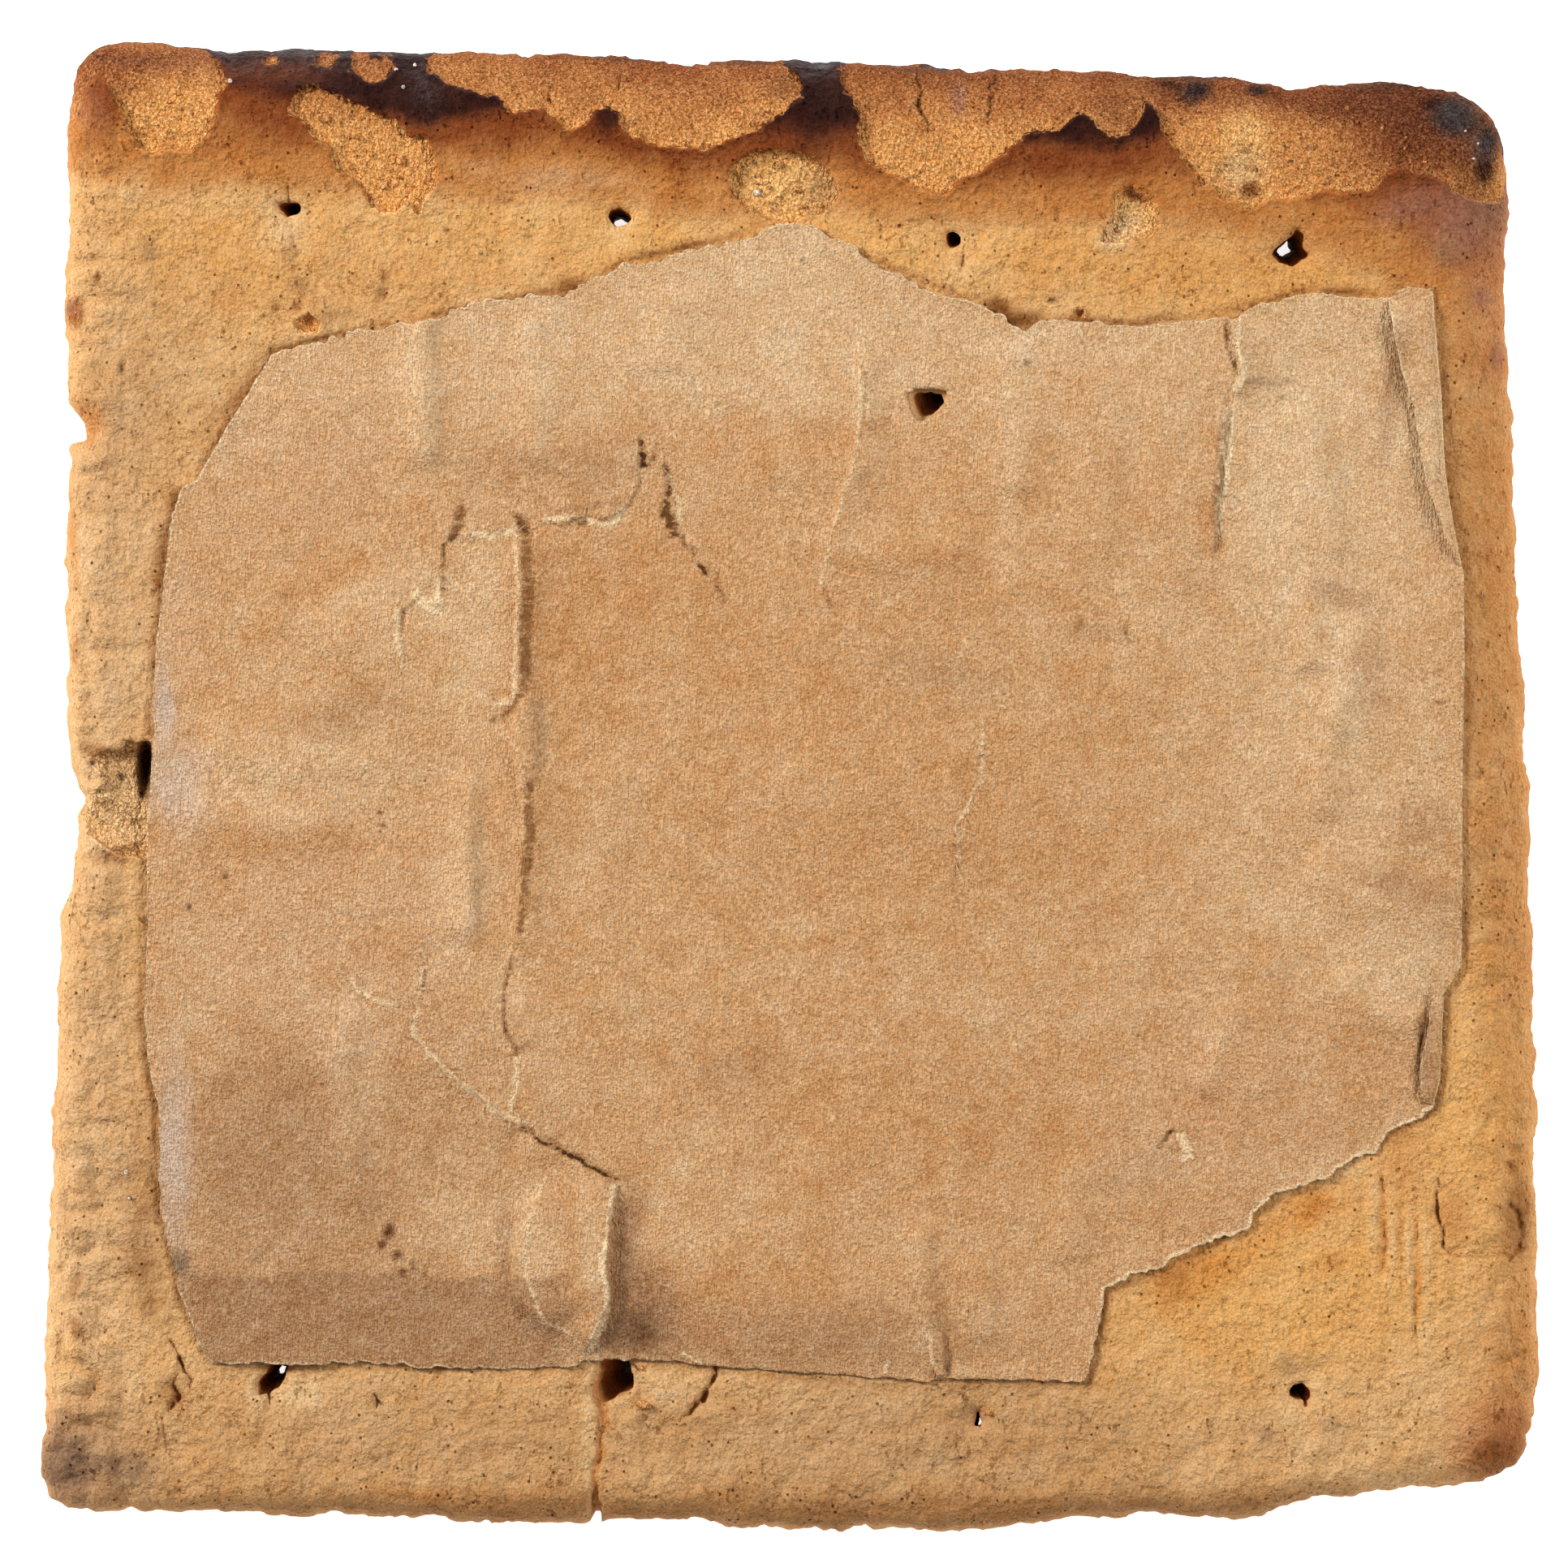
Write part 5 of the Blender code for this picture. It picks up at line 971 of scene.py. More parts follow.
def colour_setting(name, description, seen):
    """A colour setting of the sidebar, given as it is seen on a screen."""
    return bpy.props.FloatVectorProperty(
        name=name,
        description=description,
        subtype="COLOR",
        size=3,
        min=0.0,
        max=1.0,
        default=linear(*seen),
    )


def length_setting(name, description, default, low, high):
    """A length setting of the sidebar, given in millimetres."""
    return bpy.props.FloatProperty(
        name=name,
        description=description,
        default=default * MM,
        min=low * MM,
        max=high * MM,
        precision=5,
        unit="LENGTH",
    )


class CrustSettings(bpy.types.PropertyGroup):
    """Sizes and colours of the baked biscuit."""

    spacing: length_setting(
        "Finest spacing", "Distance between mesh points along cracks and flaked edges",
        0.15, 0.1, 1.0)
    grain: length_setting(
        "Grain height", "How far the grains of the bare crumb stand up", 0.09, 0.0, 0.5)
    tan: colour_setting("Tan", "Baked skin away from the scorched edge", (214, 163, 108))
    golden: colour_setting("Golden", "Warm skin", (224, 166, 98))
    pale: colour_setting("Pale", "Skin that took no colour", (226, 186, 136))
    orange: colour_setting("Orange", "Orange stain", (206, 126, 54))
    murk: colour_setting("Murk", "Grey-brown dirt at the corner", (112, 86, 70))
    amber: colour_setting("Amber", "Skin that starts to scorch", (190, 125, 68))
    brown: colour_setting("Brown", "Scorched skin", (128, 68, 35))
    black: colour_setting("Black", "Charred skin", (50, 24, 17))
    # Where slate lines the rolled top edge, its grey is partly painted sheen.
    slate: colour_setting("Slate", "Shiny grey char", (58, 44, 42))
    plum: colour_setting("Plum", "Purple-brown stain", (156, 106, 86))
    grey: colour_setting("Grey", "Grey-brown dirt", (140, 106, 78))
    # Umber also paints the contact shadow along the label's rim and the shade in pits and cracks.
    umber: colour_setting("Umber", "Brown glue stain", (122, 74, 38))
    crumb: colour_setting("Crumb", "Bare crumb", (226, 160, 94))
    dark_crumb: colour_setting("Dark crumb", "Bare crumb near the edge", (150, 88, 52))
    scab: colour_setting("Scab", "Scorched crumb", (108, 62, 40))
    ivory: colour_setting("Ivory", "Dull pale skin along the left", (206, 166, 124))
    # In the charred corner these near-white specks are partly painted glints.
    fleck: colour_setting("Fleck", "Near-white specks", (238, 230, 214))
    sand: colour_setting("Sand", "Untoasted crumb", (240, 188, 120))
    haze: colour_setting("Haze", "Milky smears on scorched skin", (202, 156, 118))
    dusky: colour_setting("Dusky", "Greyish brown skin", (158, 118, 84))
    russet: colour_setting("Russet", "Reddish brown skin", (186, 120, 76))
    # Soot also paints the shade deep in cracks and holes and in the hollow under the label's edge.
    soot: colour_setting("Soot", "Dirt in cracks and holes", (48, 30, 22))


class PaperSettings(bpy.types.PropertyGroup):
    """Sizes and colours of the paper label."""

    spacing: length_setting(
        "Finest spacing", "Distance between mesh points along creases and torn edges",
        0.13, 0.08, 1.0)
    thickness: length_setting("Thickness", "Thickness of the sheet", PAPER_THICKNESS, 0.05, 0.4)
    kraft: colour_setting("Kraft", "The sheet's main colour", (208, 160, 113))
    # Light also paints the highlights along the folds and raised lips.
    light: colour_setting("Light", "Clean parts of the sheet", (226, 190, 148))
    rosy: colour_setting("Rosy", "Pinkish parts of the sheet", (212, 168, 130))
    russet: colour_setting("Russet", "Worn and rubbed parts", (196, 138, 88))
    # Dusky also paints the shadow beside the groove, the folds and the ridge at the right.
    dusky: colour_setting("Dusky", "Greyish brown parts", (158, 118, 86))
    grey: colour_setting("Grey", "Dirt on the sheet", (120, 98, 78))
    milky: colour_setting("Milky", "Dried glue film", (210, 184, 164))
    fringe: colour_setting("Fringe", "Torn inner layer", (244, 212, 166))
    scab: colour_setting("Scab", "Dried brown spots", (92, 52, 30))
    gap: colour_setting("Gap", "Shaded inside of the tears", (140, 92, 50))
    # Soot also paints the shade at the core of the gaps.
    soot: colour_setting("Soot", "Dirt in the gaps", (58, 36, 22))


class StudioSettings(bpy.types.PropertyGroup):
    """The floor, the lights and the camera."""

    lens: bpy.props.FloatProperty(
        name="Lens",
        description="Focal length of the copy-stand camera, in millimetres",
        default=300.0,
        min=20.0,
        max=400.0,
    )
    field: length_setting("Field", "Width of floor that the picture takes in", 100.6, 10.0, 1000.0)
    light: bpy.props.FloatProperty(
        name="Light",
        description="Strength of all the lamps together",
        default=1.0,
        min=0.0,
        max=10.0,
        subtype="FACTOR",
    )
    floor: colour_setting("Floor", "The pale floor", (246, 246, 246))


def noise(points, size, number):
    """Smooth random values from -1 to 1 in a plane or in space, one bump about every size."""
    if points.shape[1] == 2:
        points = np.column_stack([points, np.full(len(points), PLANE_HEIGHT)])
    draw = np.random.default_rng(SEED + number)
    lattice = draw.uniform(-1.0, 1.0, (LATTICE, LATTICE, LATTICE))
    scaled = points / size
    low = np.floor(scaled).astype(int)
    ease = scaled - low
    ease = ease * ease * (3.0 - 2.0 * ease)
    total = np.zeros(len(points))
    for corner in itertools.product((0, 1), repeat=3):
        index = (low + corner) % LATTICE
        weight = np.prod(np.where(np.array(corner) == 1, ease, 1.0 - ease), axis=1)
        total += weight * lattice[index[:, 0], index[:, 1], index[:, 2]]
    return total


def layered(points, rows):
    """The sum of noises: each row has its depth, size and number, and may have a stretch."""
    total = np.zeros(len(points))
    for depth, size, number, *stretch in rows:
        total += depth * noise(points * stretch if stretch else points, size, number)
    return total


def wavered(xy, rows):
    """Places shifted a little at random by each row: its size, depth and number."""
    for size, depth, number in rows:
        xy = xy + depth * np.column_stack([noise(xy, size, number), noise(xy, size, number + 1)])
    return xy


def ease_step(value):
    """Passes softly from 0 to 1 while the value does."""
    value = np.clip(value, 0.0, 1.0)
    return value * value * (3.0 - 2.0 * value)


def batches(indices, size):
    """The indices in runs of about one size."""
    for part in np.array_split(indices, max(1, len(indices) // size)):
        if len(part):
            yield part


def joined(loop):
    """The outline with its first point once more at the end."""
    return np.vstack([loop, loop[:1]])


def along(rows, step, closed):
    """Rows walked at even steps, every column carried along."""
    rows = np.array(rows, float)
    if closed:
        rows = joined(rows)
    lengths = np.hypot(*np.diff(rows[:, :2], axis=0).T)
    reach = np.concatenate([[0.0], np.cumsum(lengths)])
    count = max(2, round(reach[-1] / step))
    places = np.linspace(0.0, reach[-1], count, endpoint=not closed)
    return np.column_stack([np.interp(places, reach, column) for column in rows.T])


def eased(rows, passes):
    """A closed row of points with its corners rounded off."""
    for _ in range(passes):
        rows = (np.roll(rows, 1, axis=0) + 2.0 * rows + np.roll(rows, -1, axis=0)) / 4.0
    return rows


def turning(loop):
    """Twice the outline's area, positive if it runs counter-clockwise."""
    after = np.roll(loop, -1, axis=0)
    return np.sum(loop[:, 0] * after[:, 1] - after[:, 0] * loop[:, 1])


def counter_clockwise(loop):
    """The outline, turned round if it runs clockwise."""
    return loop if turning(loop) > 0.0 else loop[::-1]


def outward_of(loop, passes):
    """Unit directions out of a closed outline, evened out over their neighbours."""
    run = np.roll(loop, -1, axis=0) - np.roll(loop, 1, axis=0)
    out = np.column_stack([run[:, 1], -run[:, 0]]) / np.hypot(run[:, 0], run[:, 1])[:, None]
    out = eased(out if turning(loop) > 0.0 else -out, passes)
    return out / np.hypot(out[:, 0], out[:, 1])[:, None]


def toothed(rows, size, depth, number):
    """Outline points pushed in and out across the outline by their own depth."""
    out = outward_of(eased(rows[:, :2], TOOTH_PASSES), TOOTH_PASSES)
    rows[:, :2] += (depth * noise(rows[:, :2], size, number))[:, None] * out
    return rows


def pushed(rows, radius, push):
    """Outline points moved away from the middle by their own push."""
    rows[:, :2] *= (1.0 + push / radius)[:, None]
    return rows


def near(xy, rows, reach):
    """Indices of the points inside the rows' box, widened by reach."""
    low = np.min(rows, axis=0)[:2] - reach
    high = np.max(rows, axis=0)[:2] + reach
    return np.nonzero(((xy >= low) & (xy <= high)).all(axis=1))[0]


def line_gap(xy, rows):
    """Distance to a chain of rows, which side is left (+1), and the other columns there."""
    rows = np.array(rows, float)
    start, run = rows[:-1], np.diff(rows, axis=0)
    offset = xy[:, None, :] - start[None, :, :2]
    share = (offset * run[:, :2]).sum(-1) / (run[:, :2] ** 2).sum(-1)
    share = np.clip(share, 0.0, 1.0)
    apart = offset - share[..., None] * run[:, :2]
    gap = np.hypot(apart[..., 0], apart[..., 1])
    best = gap.argmin(axis=1)
    pick = np.arange(len(xy))
    turn = run[best, 0] * offset[pick, best, 1] - run[best, 1] * offset[pick, best, 0]
    carried = start[best, 2:] + share[pick, best, None] * run[best, 2:]
    return gap[pick, best], np.where(turn >= 0.0, 1.0, -1.0), carried


def nearest_gap(xy, closed):
    """Distance to a long fine chain, looking only at the stretch beside the points."""
    low, high = xy.min(axis=0) - CHAIN_REACH, xy.max(axis=0) + CHAIN_REACH
    use = np.nonzero(((closed >= low) & (closed <= high)).all(axis=1))[0]
    gap = np.full(len(xy), FAR)
    for block in batches(use, CHAIN_BATCH):
        apart = xy[:, None, :] - closed[None, block]
        gap = np.minimum(gap, np.sqrt((apart ** 2).sum(-1).min(axis=1)))
    return gap


def inside(xy, ring):
    """True for the points inside a closed outline."""
    ring = np.asarray(ring, float)[:, :2]
    found = np.zeros(len(xy), bool)
    for (x0, y0), (x1, y1) in zip(ring, np.roll(ring, -1, axis=0)):
        if y0 == y1:
            continue
        crosses = (y0 > xy[:, 1]) != (y1 > xy[:, 1])
        found ^= crosses & (xy[:, 0] < x0 + (xy[:, 1] - y0) / (y1 - y0) * (x1 - x0))
    return found


def between_loops(xy, loops):
    """True for the points inside the first outline and outside the others."""
    good = inside(xy, loops[0])
    for loop in loops[1:]:
        close = near(xy, loop, LOOP_REACH)
        good[close] &= ~inside(xy[close], loop)
    return good


def ring_gap(xy, ring):
    """Distance to a closed outline, positive inside it."""
    ring = np.asarray(ring, float)[:, :2]
    gap, _, _ = line_gap(xy, joined(ring))
    return np.where(inside(xy, ring), gap, -gap)


def turned_reach(xy, row):
    """How far each point is from an oval's middle, 1 being its rim."""
    x, y, half_width, half_height, turn = row[:5]
    angle = math.radians(turn)
    right = (xy[:, 0] - x) * math.cos(angle) + (xy[:, 1] - y) * math.sin(angle)
    up = (xy[:, 1] - y) * math.cos(angle) - (xy[:, 0] - x) * math.sin(angle)
    return np.hypot(right / half_width, up / half_height)


def make_biscuit_edge():
    """The biscuit's outline with its teeth, chips and notches: x, y, roll width."""
    edge = eased(along(BISCUIT_OUTLINE, OUTLINE_STEP, True), OUTLINE_SMOOTHING)
    push = RAGGED_DEPTH * layered(edge[:, :2], RAGGED)
    edge = along(pushed(edge, np.hypot(edge[:, 0], edge[:, 1]), push), EDGE_SPACING, True)
    radius = np.hypot(edge[:, 0], edge[:, 1])
    (low_above, low_share), (deep_below, deep_share) = LOW_TEETH, DEEP_TEETH
    share = np.where(edge[:, 1] < deep_below, deep_share, 1.0)
    share = np.where(edge[:, 1] > low_above, low_share, share)
    edge = pushed(edge, radius, OUTLINE_GROWTH)
    for size, depth, number in EDGE_TEETH:
        edge = toothed(edge, size, depth * share, number)
    chip_depth, chip_steps, chip_size, number = CHIPS
    chips = chip_depth * np.round(chip_steps * noise(edge[:, :2], chip_size, number))
    edge = pushed(edge, radius, chips)
    for x, y, half_width, depth, steep in NOTCHES:
        reach = np.hypot(edge[:, 0] - x, edge[:, 1] - y) / half_width
        edge = pushed(edge, radius, -depth * ease_step(steep * (1.0 - reach) + NOTCH_FLOOR))
    return edge


def make_paper_edge():
    """The label's torn outline: x, y, how ragged the tear is."""
    edge = along(PAPER_OUTLINE, PAPER_STEP, True)
    for size, share, least, number in PAPER_TEETH:
        edge = toothed(edge, size, share * edge[:, 2] + least, number)
    return edge


def hidden_rings():
    """The docking holes that the label covers, as small round outlines."""
    turns = np.arange(HIDDEN_CORNERS) * 2.0 * math.pi / HIDDEN_CORNERS
    ring = np.column_stack([np.cos(turns), np.sin(turns)]) * HIDDEN_RADIUS
    for y in HIDDEN_ROWS:
        for x in HIDDEN_COLUMNS:
            yield (*HIDDEN_LEAN, ring + (x, y))


def every_hole():
    """Lean, share and fine ring of each docking hole."""
    for lean_x, lean_y, share, ring in (*DOCKING_HOLES, *hidden_rings()):
        fine = eased(along(ring, HOLE_SPACING, True), 1)
        middle = fine.mean(axis=0)
        out = (fine - middle) / np.hypot(*(fine - middle).T)[:, None]
        yield lean_x, lean_y, share, fine + layered(fine, (HOLE_RAGGED,))[:, None] * out


BISCUIT_EDGE = make_biscuit_edge()
SHIFT = (BISCUIT_EDGE[:, :2].max(axis=0) + BISCUIT_EDGE[:, :2].min(axis=0)) / 2.0
PAPER_EDGE = make_paper_edge()
HOLES = list(every_hole())


def edge_gap(xy):
    """Distance to the biscuit's outline and the width of the rolled edge there."""
    rows = along(joined(BISCUIT_EDGE), ROLL_STEP, False)
    gap = np.full(len(xy), FAR)
    roll = np.ones(len(xy))
    for part in batches(np.arange(len(xy)), EDGE_BATCH):
        gap[part], _, carried = line_gap(xy[part], rows)
        roll[part] = carried[:, 0]
    return gap, roll


def crust_height(xy):
    """The upper face as baked, before anything broke off it."""
    height = THICKNESS - CROWN_DROP * (xy ** 2).sum(axis=1) / CROWN_RADIUS ** 2
    height += layered(xy, (SWELL,))
    gap, roll = edge_gap(xy)
    height -= ROLL_DROP * roll * np.clip(1.0 - gap / roll, 0.0, 1.0) ** ROLL_POWER
    return height


def flaked(xy):
    """Distance into the nearest patch without skin: positive where the crumb is bare."""
    places = wavered(xy, FLAKE_WAVER)
    bare = np.full(len(xy), -FAR)
    upper = np.nonzero(xy[:, 1] > FLAKED_ABOVE)[0]
    gap, _, _ = line_gap(places[upper], CRUST_LINE)
    bare[upper] = np.where(inside(places[upper], CRUST_LINE + SKY_CORNERS), gap, -gap)
    for patch in FLAKED_PATCHES:
        close = near(xy, patch, PATCH_REACH)
        bare[close] = np.maximum(bare[close], ring_gap(places[close], patch))
    return bare


def crack_fields(xy, cracks, widened=1.0):
    """Depth cut into the surface, and painted shade: its darkness, and how near the crack is."""
    depth, dark, close_by = np.zeros((3, len(xy)))
    places = wavered(xy, CRACK_WAVER)
    least, *gain = BROKEN
    broken = ease_step(least + layered(xy, (gain,)))
    start, width, least_width = CRACK_WALLS
    for darkness, rows in cracks:
        close = near(xy, rows, CRACK_REACH)
        gap, _, carried = line_gap(places[close], rows)
        half, deep = carried[:, 0] * widened, carried[:, 1]
        wall = ease_step(1.0 - (gap - half * start) / (half * width + least_width))
        keep = np.where(half < BROKEN_BELOW, np.maximum(broken[close], darkness), 1.0)
        depth[close] = np.maximum(depth[close], deep * wall * keep)
        shown = half * (BROKEN_WIDTH + (1.0 - BROKEN_WIDTH) * keep)
        here = np.clip(0.5 + (shown - gap) / CRACK_SPREAD, 0.0, 1.0)
        dark[close] = np.where(here > close_by[close], darkness, dark[close])
        close_by[close] = np.maximum(close_by[close], here)
    return depth, dark, close_by


def hollow_depth(xy):
    """How deep the hollows are at each place."""
    depth = np.zeros(len(xy))
    places = wavered(xy, HOLLOW_WAVER)
    for *oval, deep, floor in HOLLOWS:
        close = near(xy, [oval[:2]], HOLLOW_REACH * max(oval[2:4]) + HOLLOW_SHIFT)
        reach = turned_reach(places[close], oval)
        wall = ease_step((HOLLOW_RIM - reach) / (HOLLOW_RIM - floor))
        depth[close] = np.maximum(depth[close], deep * wall)
    return depth


def mound_height(xy):
    """How high the mounds are at each place."""
    height = np.zeros(len(xy))
    places = wavered(xy, MOUND_WAVER)
    for *oval, high in MOUNDS:
        close = near(xy, [oval[:2]], MOUND_REACH * max(oval[2:4]))
        reach = turned_reach(places[close], oval)
        height[close] = np.maximum(height[close], high * np.exp(-(reach ** 2)))
    return height


def pore_depth(xy):
    """How deep the small pores scattered over the crust are at each place."""
    count, number, field, radii, depths, stretches, turns = PORES
    draw = np.random.default_rng(SEED + number)
    depth = np.zeros(len(xy))
    for _ in range(count):
        x, y = draw.uniform(*field, 2)
        radius = draw.uniform(*radii)
        deep = draw.uniform(*depths)
        stretch = draw.uniform(*stretches)
        close = near(xy, [(x, y)], PORE_REACH * radius)
        if len(close):
            oval = (x, y, radius, radius * stretch, draw.uniform(*turns))
            reach = turned_reach(xy[close], oval)
            depth[close] = np.maximum(depth[close], deep * np.exp(-(reach ** 4)))
    return depth


def dimple_depth(xy):
    """How deep the crust sinks around the docking holes."""
    depth = np.zeros(len(xy))
    for _, _, _, ring in HOLES:
        close = near(xy, ring, DIMPLE_REACH)
        reach = np.hypot(*(xy[close] - ring.mean(axis=0)).T) / DIMPLE_RADIUS
        depth[close] += DIMPLE_DEPTH * np.exp(-(reach ** 2))
        rim = np.clip(-ring_gap(xy[close], ring), 0.0, FAR)
        depth[close] += HOLE_RIM_DROP * np.exp(-((rim / HOLE_RIM_WIDTH) ** 2))
    return depth


def label_gap(xy):
    """Distance into the label's outline, positive where the label covers the crust."""
    ring = PAPER_EDGE[::RING_STRIDE, :2]
    found = np.full(len(xy), FAR)
    middle, half = SURELY_COVERED
    rest = np.nonzero(np.abs(xy - middle).max(axis=1) >= half)[0]
    for part in batches(rest, EDGE_BATCH):
        found[part] = ring_gap(xy[part], ring)
    return found


def top_surface(xy, grain):
    """Height of the upper face, and what its finish needs to know at each point."""
    bare = flaked(xy)
    covered = ease_step((label_gap(xy) + COVERED[0]) / COVERED[1])
    relief = mound_height(xy) - hollow_depth(xy) - dimple_depth(xy)
    cut, dark, crack = crack_fields(xy, CRUST_CRACKS)
    patch = ease_step(bare / FLAKE_STEP + 0.5)
    lip_height, lip_place, lip_width = LIP
    lip = lip_height * np.exp(-(((bare + lip_place) / lip_width) ** 2))
    relief += lip - FLAKE_DEPTH * patch
    left = ease_step((PEBBLY_LEFT[0] - xy[:, 0]) / PEBBLY_LEFT[1])
    below = ease_step((PEBBLY_BELOW[0] - xy[:, 1]) / PEBBLY_BELOW[1])
    right = ease_step((xy[:, 0] - PEBBLY_RIGHT[0]) / PEBBLY_RIGHT[1])
    skin = layered(xy, SKIN_LAYERS)
    for waver, size, number, at_left, at_bottom, at_right, anywhere in PEBBLES:
        lumps = np.sqrt(np.abs(noise(wavered(xy, waver), size, number))) - 0.5
        skin += (at_left * left + at_bottom * below + at_right * right + anywhere) * lumps
    grains = [(share * grain, *row) for share, *row in GRAIN_LAYERS]
    crumb = layered(xy, [*grains, CRUMB_LUMPS])
    relief += skin * (1.0 - patch) + crumb * patch
    relief -= pore_depth(xy) * (1.0 - CRUMB_PORES * patch)
    height = crust_height(xy) + relief * (1.0 - covered)
    height -= covered * (COVERED_DROP + dimple_depth(xy))
    height -= cut
    return np.maximum(height, LEAST_HEIGHT), {"bare": bare, "crack": crack, "dark": dark}


def base_level(xy, loops):
    """The underside: flat where it stands, with shallow hollows left by steam."""
    rise, start, softness = BLISTER_RISE
    level = rise * ease_step((layered(xy, BASE_BLISTERS) - start) / softness)
    dimple, size, number, start = BASE_DIMPLES
    level += dimple * ease_step(noise(xy, size, number) - start)
    gap = np.full(len(xy), FAR)
    for loop in loops:
        close = near(xy, loop, PATCH_REACH)
        if len(close):
            gap[close] = np.minimum(gap[close], nearest_gap(xy[close], loop))
    return level * ease_step((gap - BASE_FLAT[0]) / BASE_FLAT[1])


def graded_points(finest, spacing_at, loops):
    """Points between the loops on nested grids; spacing_at tells how many finest
    spacings, a power of two, they lie apart at each place."""
    ticks = np.arange(-GRID_HALF, GRID_HALF, GRID_CELL)
    grid = np.stack(np.meshgrid(ticks, ticks, indexing="ij"), axis=-1).reshape(-1, 2)
    level = np.log2(spacing_at(grid + GRID_CELL / 2.0))
    level = level.astype(int).reshape(len(ticks), len(ticks))
    count = np.arange(int(2.0 * POINTS_HALF / finest))
    index = np.stack(np.meshgrid(count, count, indexing="ij"), axis=-1).reshape(-1, 2)
    places = index * finest - POINTS_HALF
    where = ((places + GRID_HALF) / GRID_CELL).astype(int)
    step = 2 ** level[where[:, 0], where[:, 1]]
    chosen = ((index % step[:, None]) == 0).all(axis=1)
    places, spacing = places[chosen], finest * step[chosen]
    draw = np.random.default_rng(SEED + POINTS_DRAW)
    places = places + draw.uniform(-STRAY, STRAY, places.shape) * spacing[:, None]
    good = between_loops(places, loops)
    for loop in loops:
        for part in batches(near(places, loop, LOOP_REACH), LOOP_BATCH):
            good[part] &= nearest_gap(places[part], joined(loop)) > CLEARANCE * spacing[part]
    return places[good]


def crust_spacing(grid):
    """How close the crust's mesh points lie, in finest spacings."""
    wanted = np.where(flaked(grid) > -FLAKE_MARGIN, 1.0, 2.0)
    for _, rows in CRUST_CRACKS:
        gap, _, _ = line_gap(grid, rows)
        wanted = np.where(gap < LINE_MARGIN, 1.0, wanted)
    for _, _, _, ring in HOLES[: len(DOCKING_HOLES)]:
        wanted = np.where(ring_gap(grid, ring) > -RIM_MARGIN, 1.0, wanted)
    covered = label_gap(grid)
    for margin, spacing in COVERED_SPACINGS:
        wanted = np.where(covered > margin, spacing, wanted)
    return wanted


def base_spacing(grid):
    """How close the underside's mesh points lie, in its own finest spacings."""
    return np.where(edge_gap(grid)[0] < BASE_MARGIN, 1.0, 2.0)


def paper_spacing(grid):
    """How close the label's mesh points lie: fine at creases, tears and its rim."""
    wanted = np.full(len(grid), 2.0)
    lines = [row[-1] for row in (*PAPER_SLITS, *PAPER_TEARS, *PAPER_FRINGES)]
    lines += [rows for _, left, right, rows in PAPER_FOLDS if min(left, right) < SHARP_FOLD]
    for rows in lines:
        close = near(grid, rows, LOOP_REACH)
        gap, _, _ = line_gap(grid[close], rows)
        wanted[close] = np.where(gap < LINE_MARGIN, 1.0, wanted[close])
    return np.where(paper_edge_gap(grid) < RIM_MARGIN, 1.0, wanted)


def triangulated(points, loops):
    """Triangles over the points and loops, the loops' edges kept, holes left open."""
    rows = np.vstack([*loops, points])
    edges = []
    first = 0
    for loop in loops:
        count = len(loop)
        edges += [(first + i, first + (i + 1) % count) for i in range(count)]
        first += count
    found = geometry.delaunay_2d_cdt([Vector(row) for row in rows], edges, [], 0, SAME_PLACE)
    if len(found[0]) != len(rows):
        raise RuntimeError(f"the outline lost points: {len(rows)} became {len(found[0])}")
    order = np.array([origins[0] for origins in found[3]])
    faces = order[np.array([face for face in found[2] if len(face) == 3])]
    return faces[between_loops(rows[faces].mean(axis=1), loops)]


class Shell:
    """Rows of points and faces of one closed mesh, joined by index."""

    def __init__(self):
        self.points = []
        self.faces = []
        self.marks = []
        self.count = 0

    def add(self, points, bare=-FAR, crack=0.0, dark=0.0, side=0.0):
        """Adds points with what their finish needs to know, and returns their indices."""
        count = len(points)
        marks = {"bare": bare, "crack": crack, "dark": dark, "side": side}
        self.points.append(points)
        self.marks.append({key: np.broadcast_to(mark, count) for key, mark in marks.items()})
        self.count += count
        return np.arange(self.count - count, self.count)

    def skin(self, faces, flipped=False):
        """Adds triangles given by the indices of their points."""
        self.faces.append(faces[:, ::-1] if flipped else faces)

    def bridge(self, upper, lower, flipped=False):
        """Adds the triangles between two rings of the same length."""
        after_upper, after_lower = np.roll(upper, -1), np.roll(lower, -1)
        self.skin(np.column_stack([upper, lower, after_upper]), flipped)
        self.skin(np.column_stack([after_upper, lower, after_lower]), flipped)

    def marked(self, key):
        """One mark at every point."""
        return np.concatenate([np.asarray(row[key], float) for row in self.marks])

    def mesh(self, name):
        """The shell as a smooth mesh in metres, and its points in millimetres."""
        points = np.vstack(self.points)
        faces = np.vstack(self.faces)
        mesh = bpy.data.meshes.new(name)
        moved = (points - (*SHIFT, 0.0)) * MM
        mesh.vertices.add(len(moved))
        mesh.vertices.foreach_set("co", moved.astype(np.float32).ravel())
        mesh.loops.add(faces.size)
        mesh.loops.foreach_set("vertex_index", faces.astype(np.int32).ravel())
        mesh.polygons.add(len(faces))
        mesh.polygons.foreach_set("loop_start", np.arange(0, faces.size, 3, dtype=np.int32))
        mesh.polygons.foreach_set("loop_total", np.full(len(faces), 3, dtype=np.int32))
        mesh.polygons.foreach_set("use_smooth", np.ones(len(faces), bool))
        mesh.update(calc_edges=True)
        return mesh, points


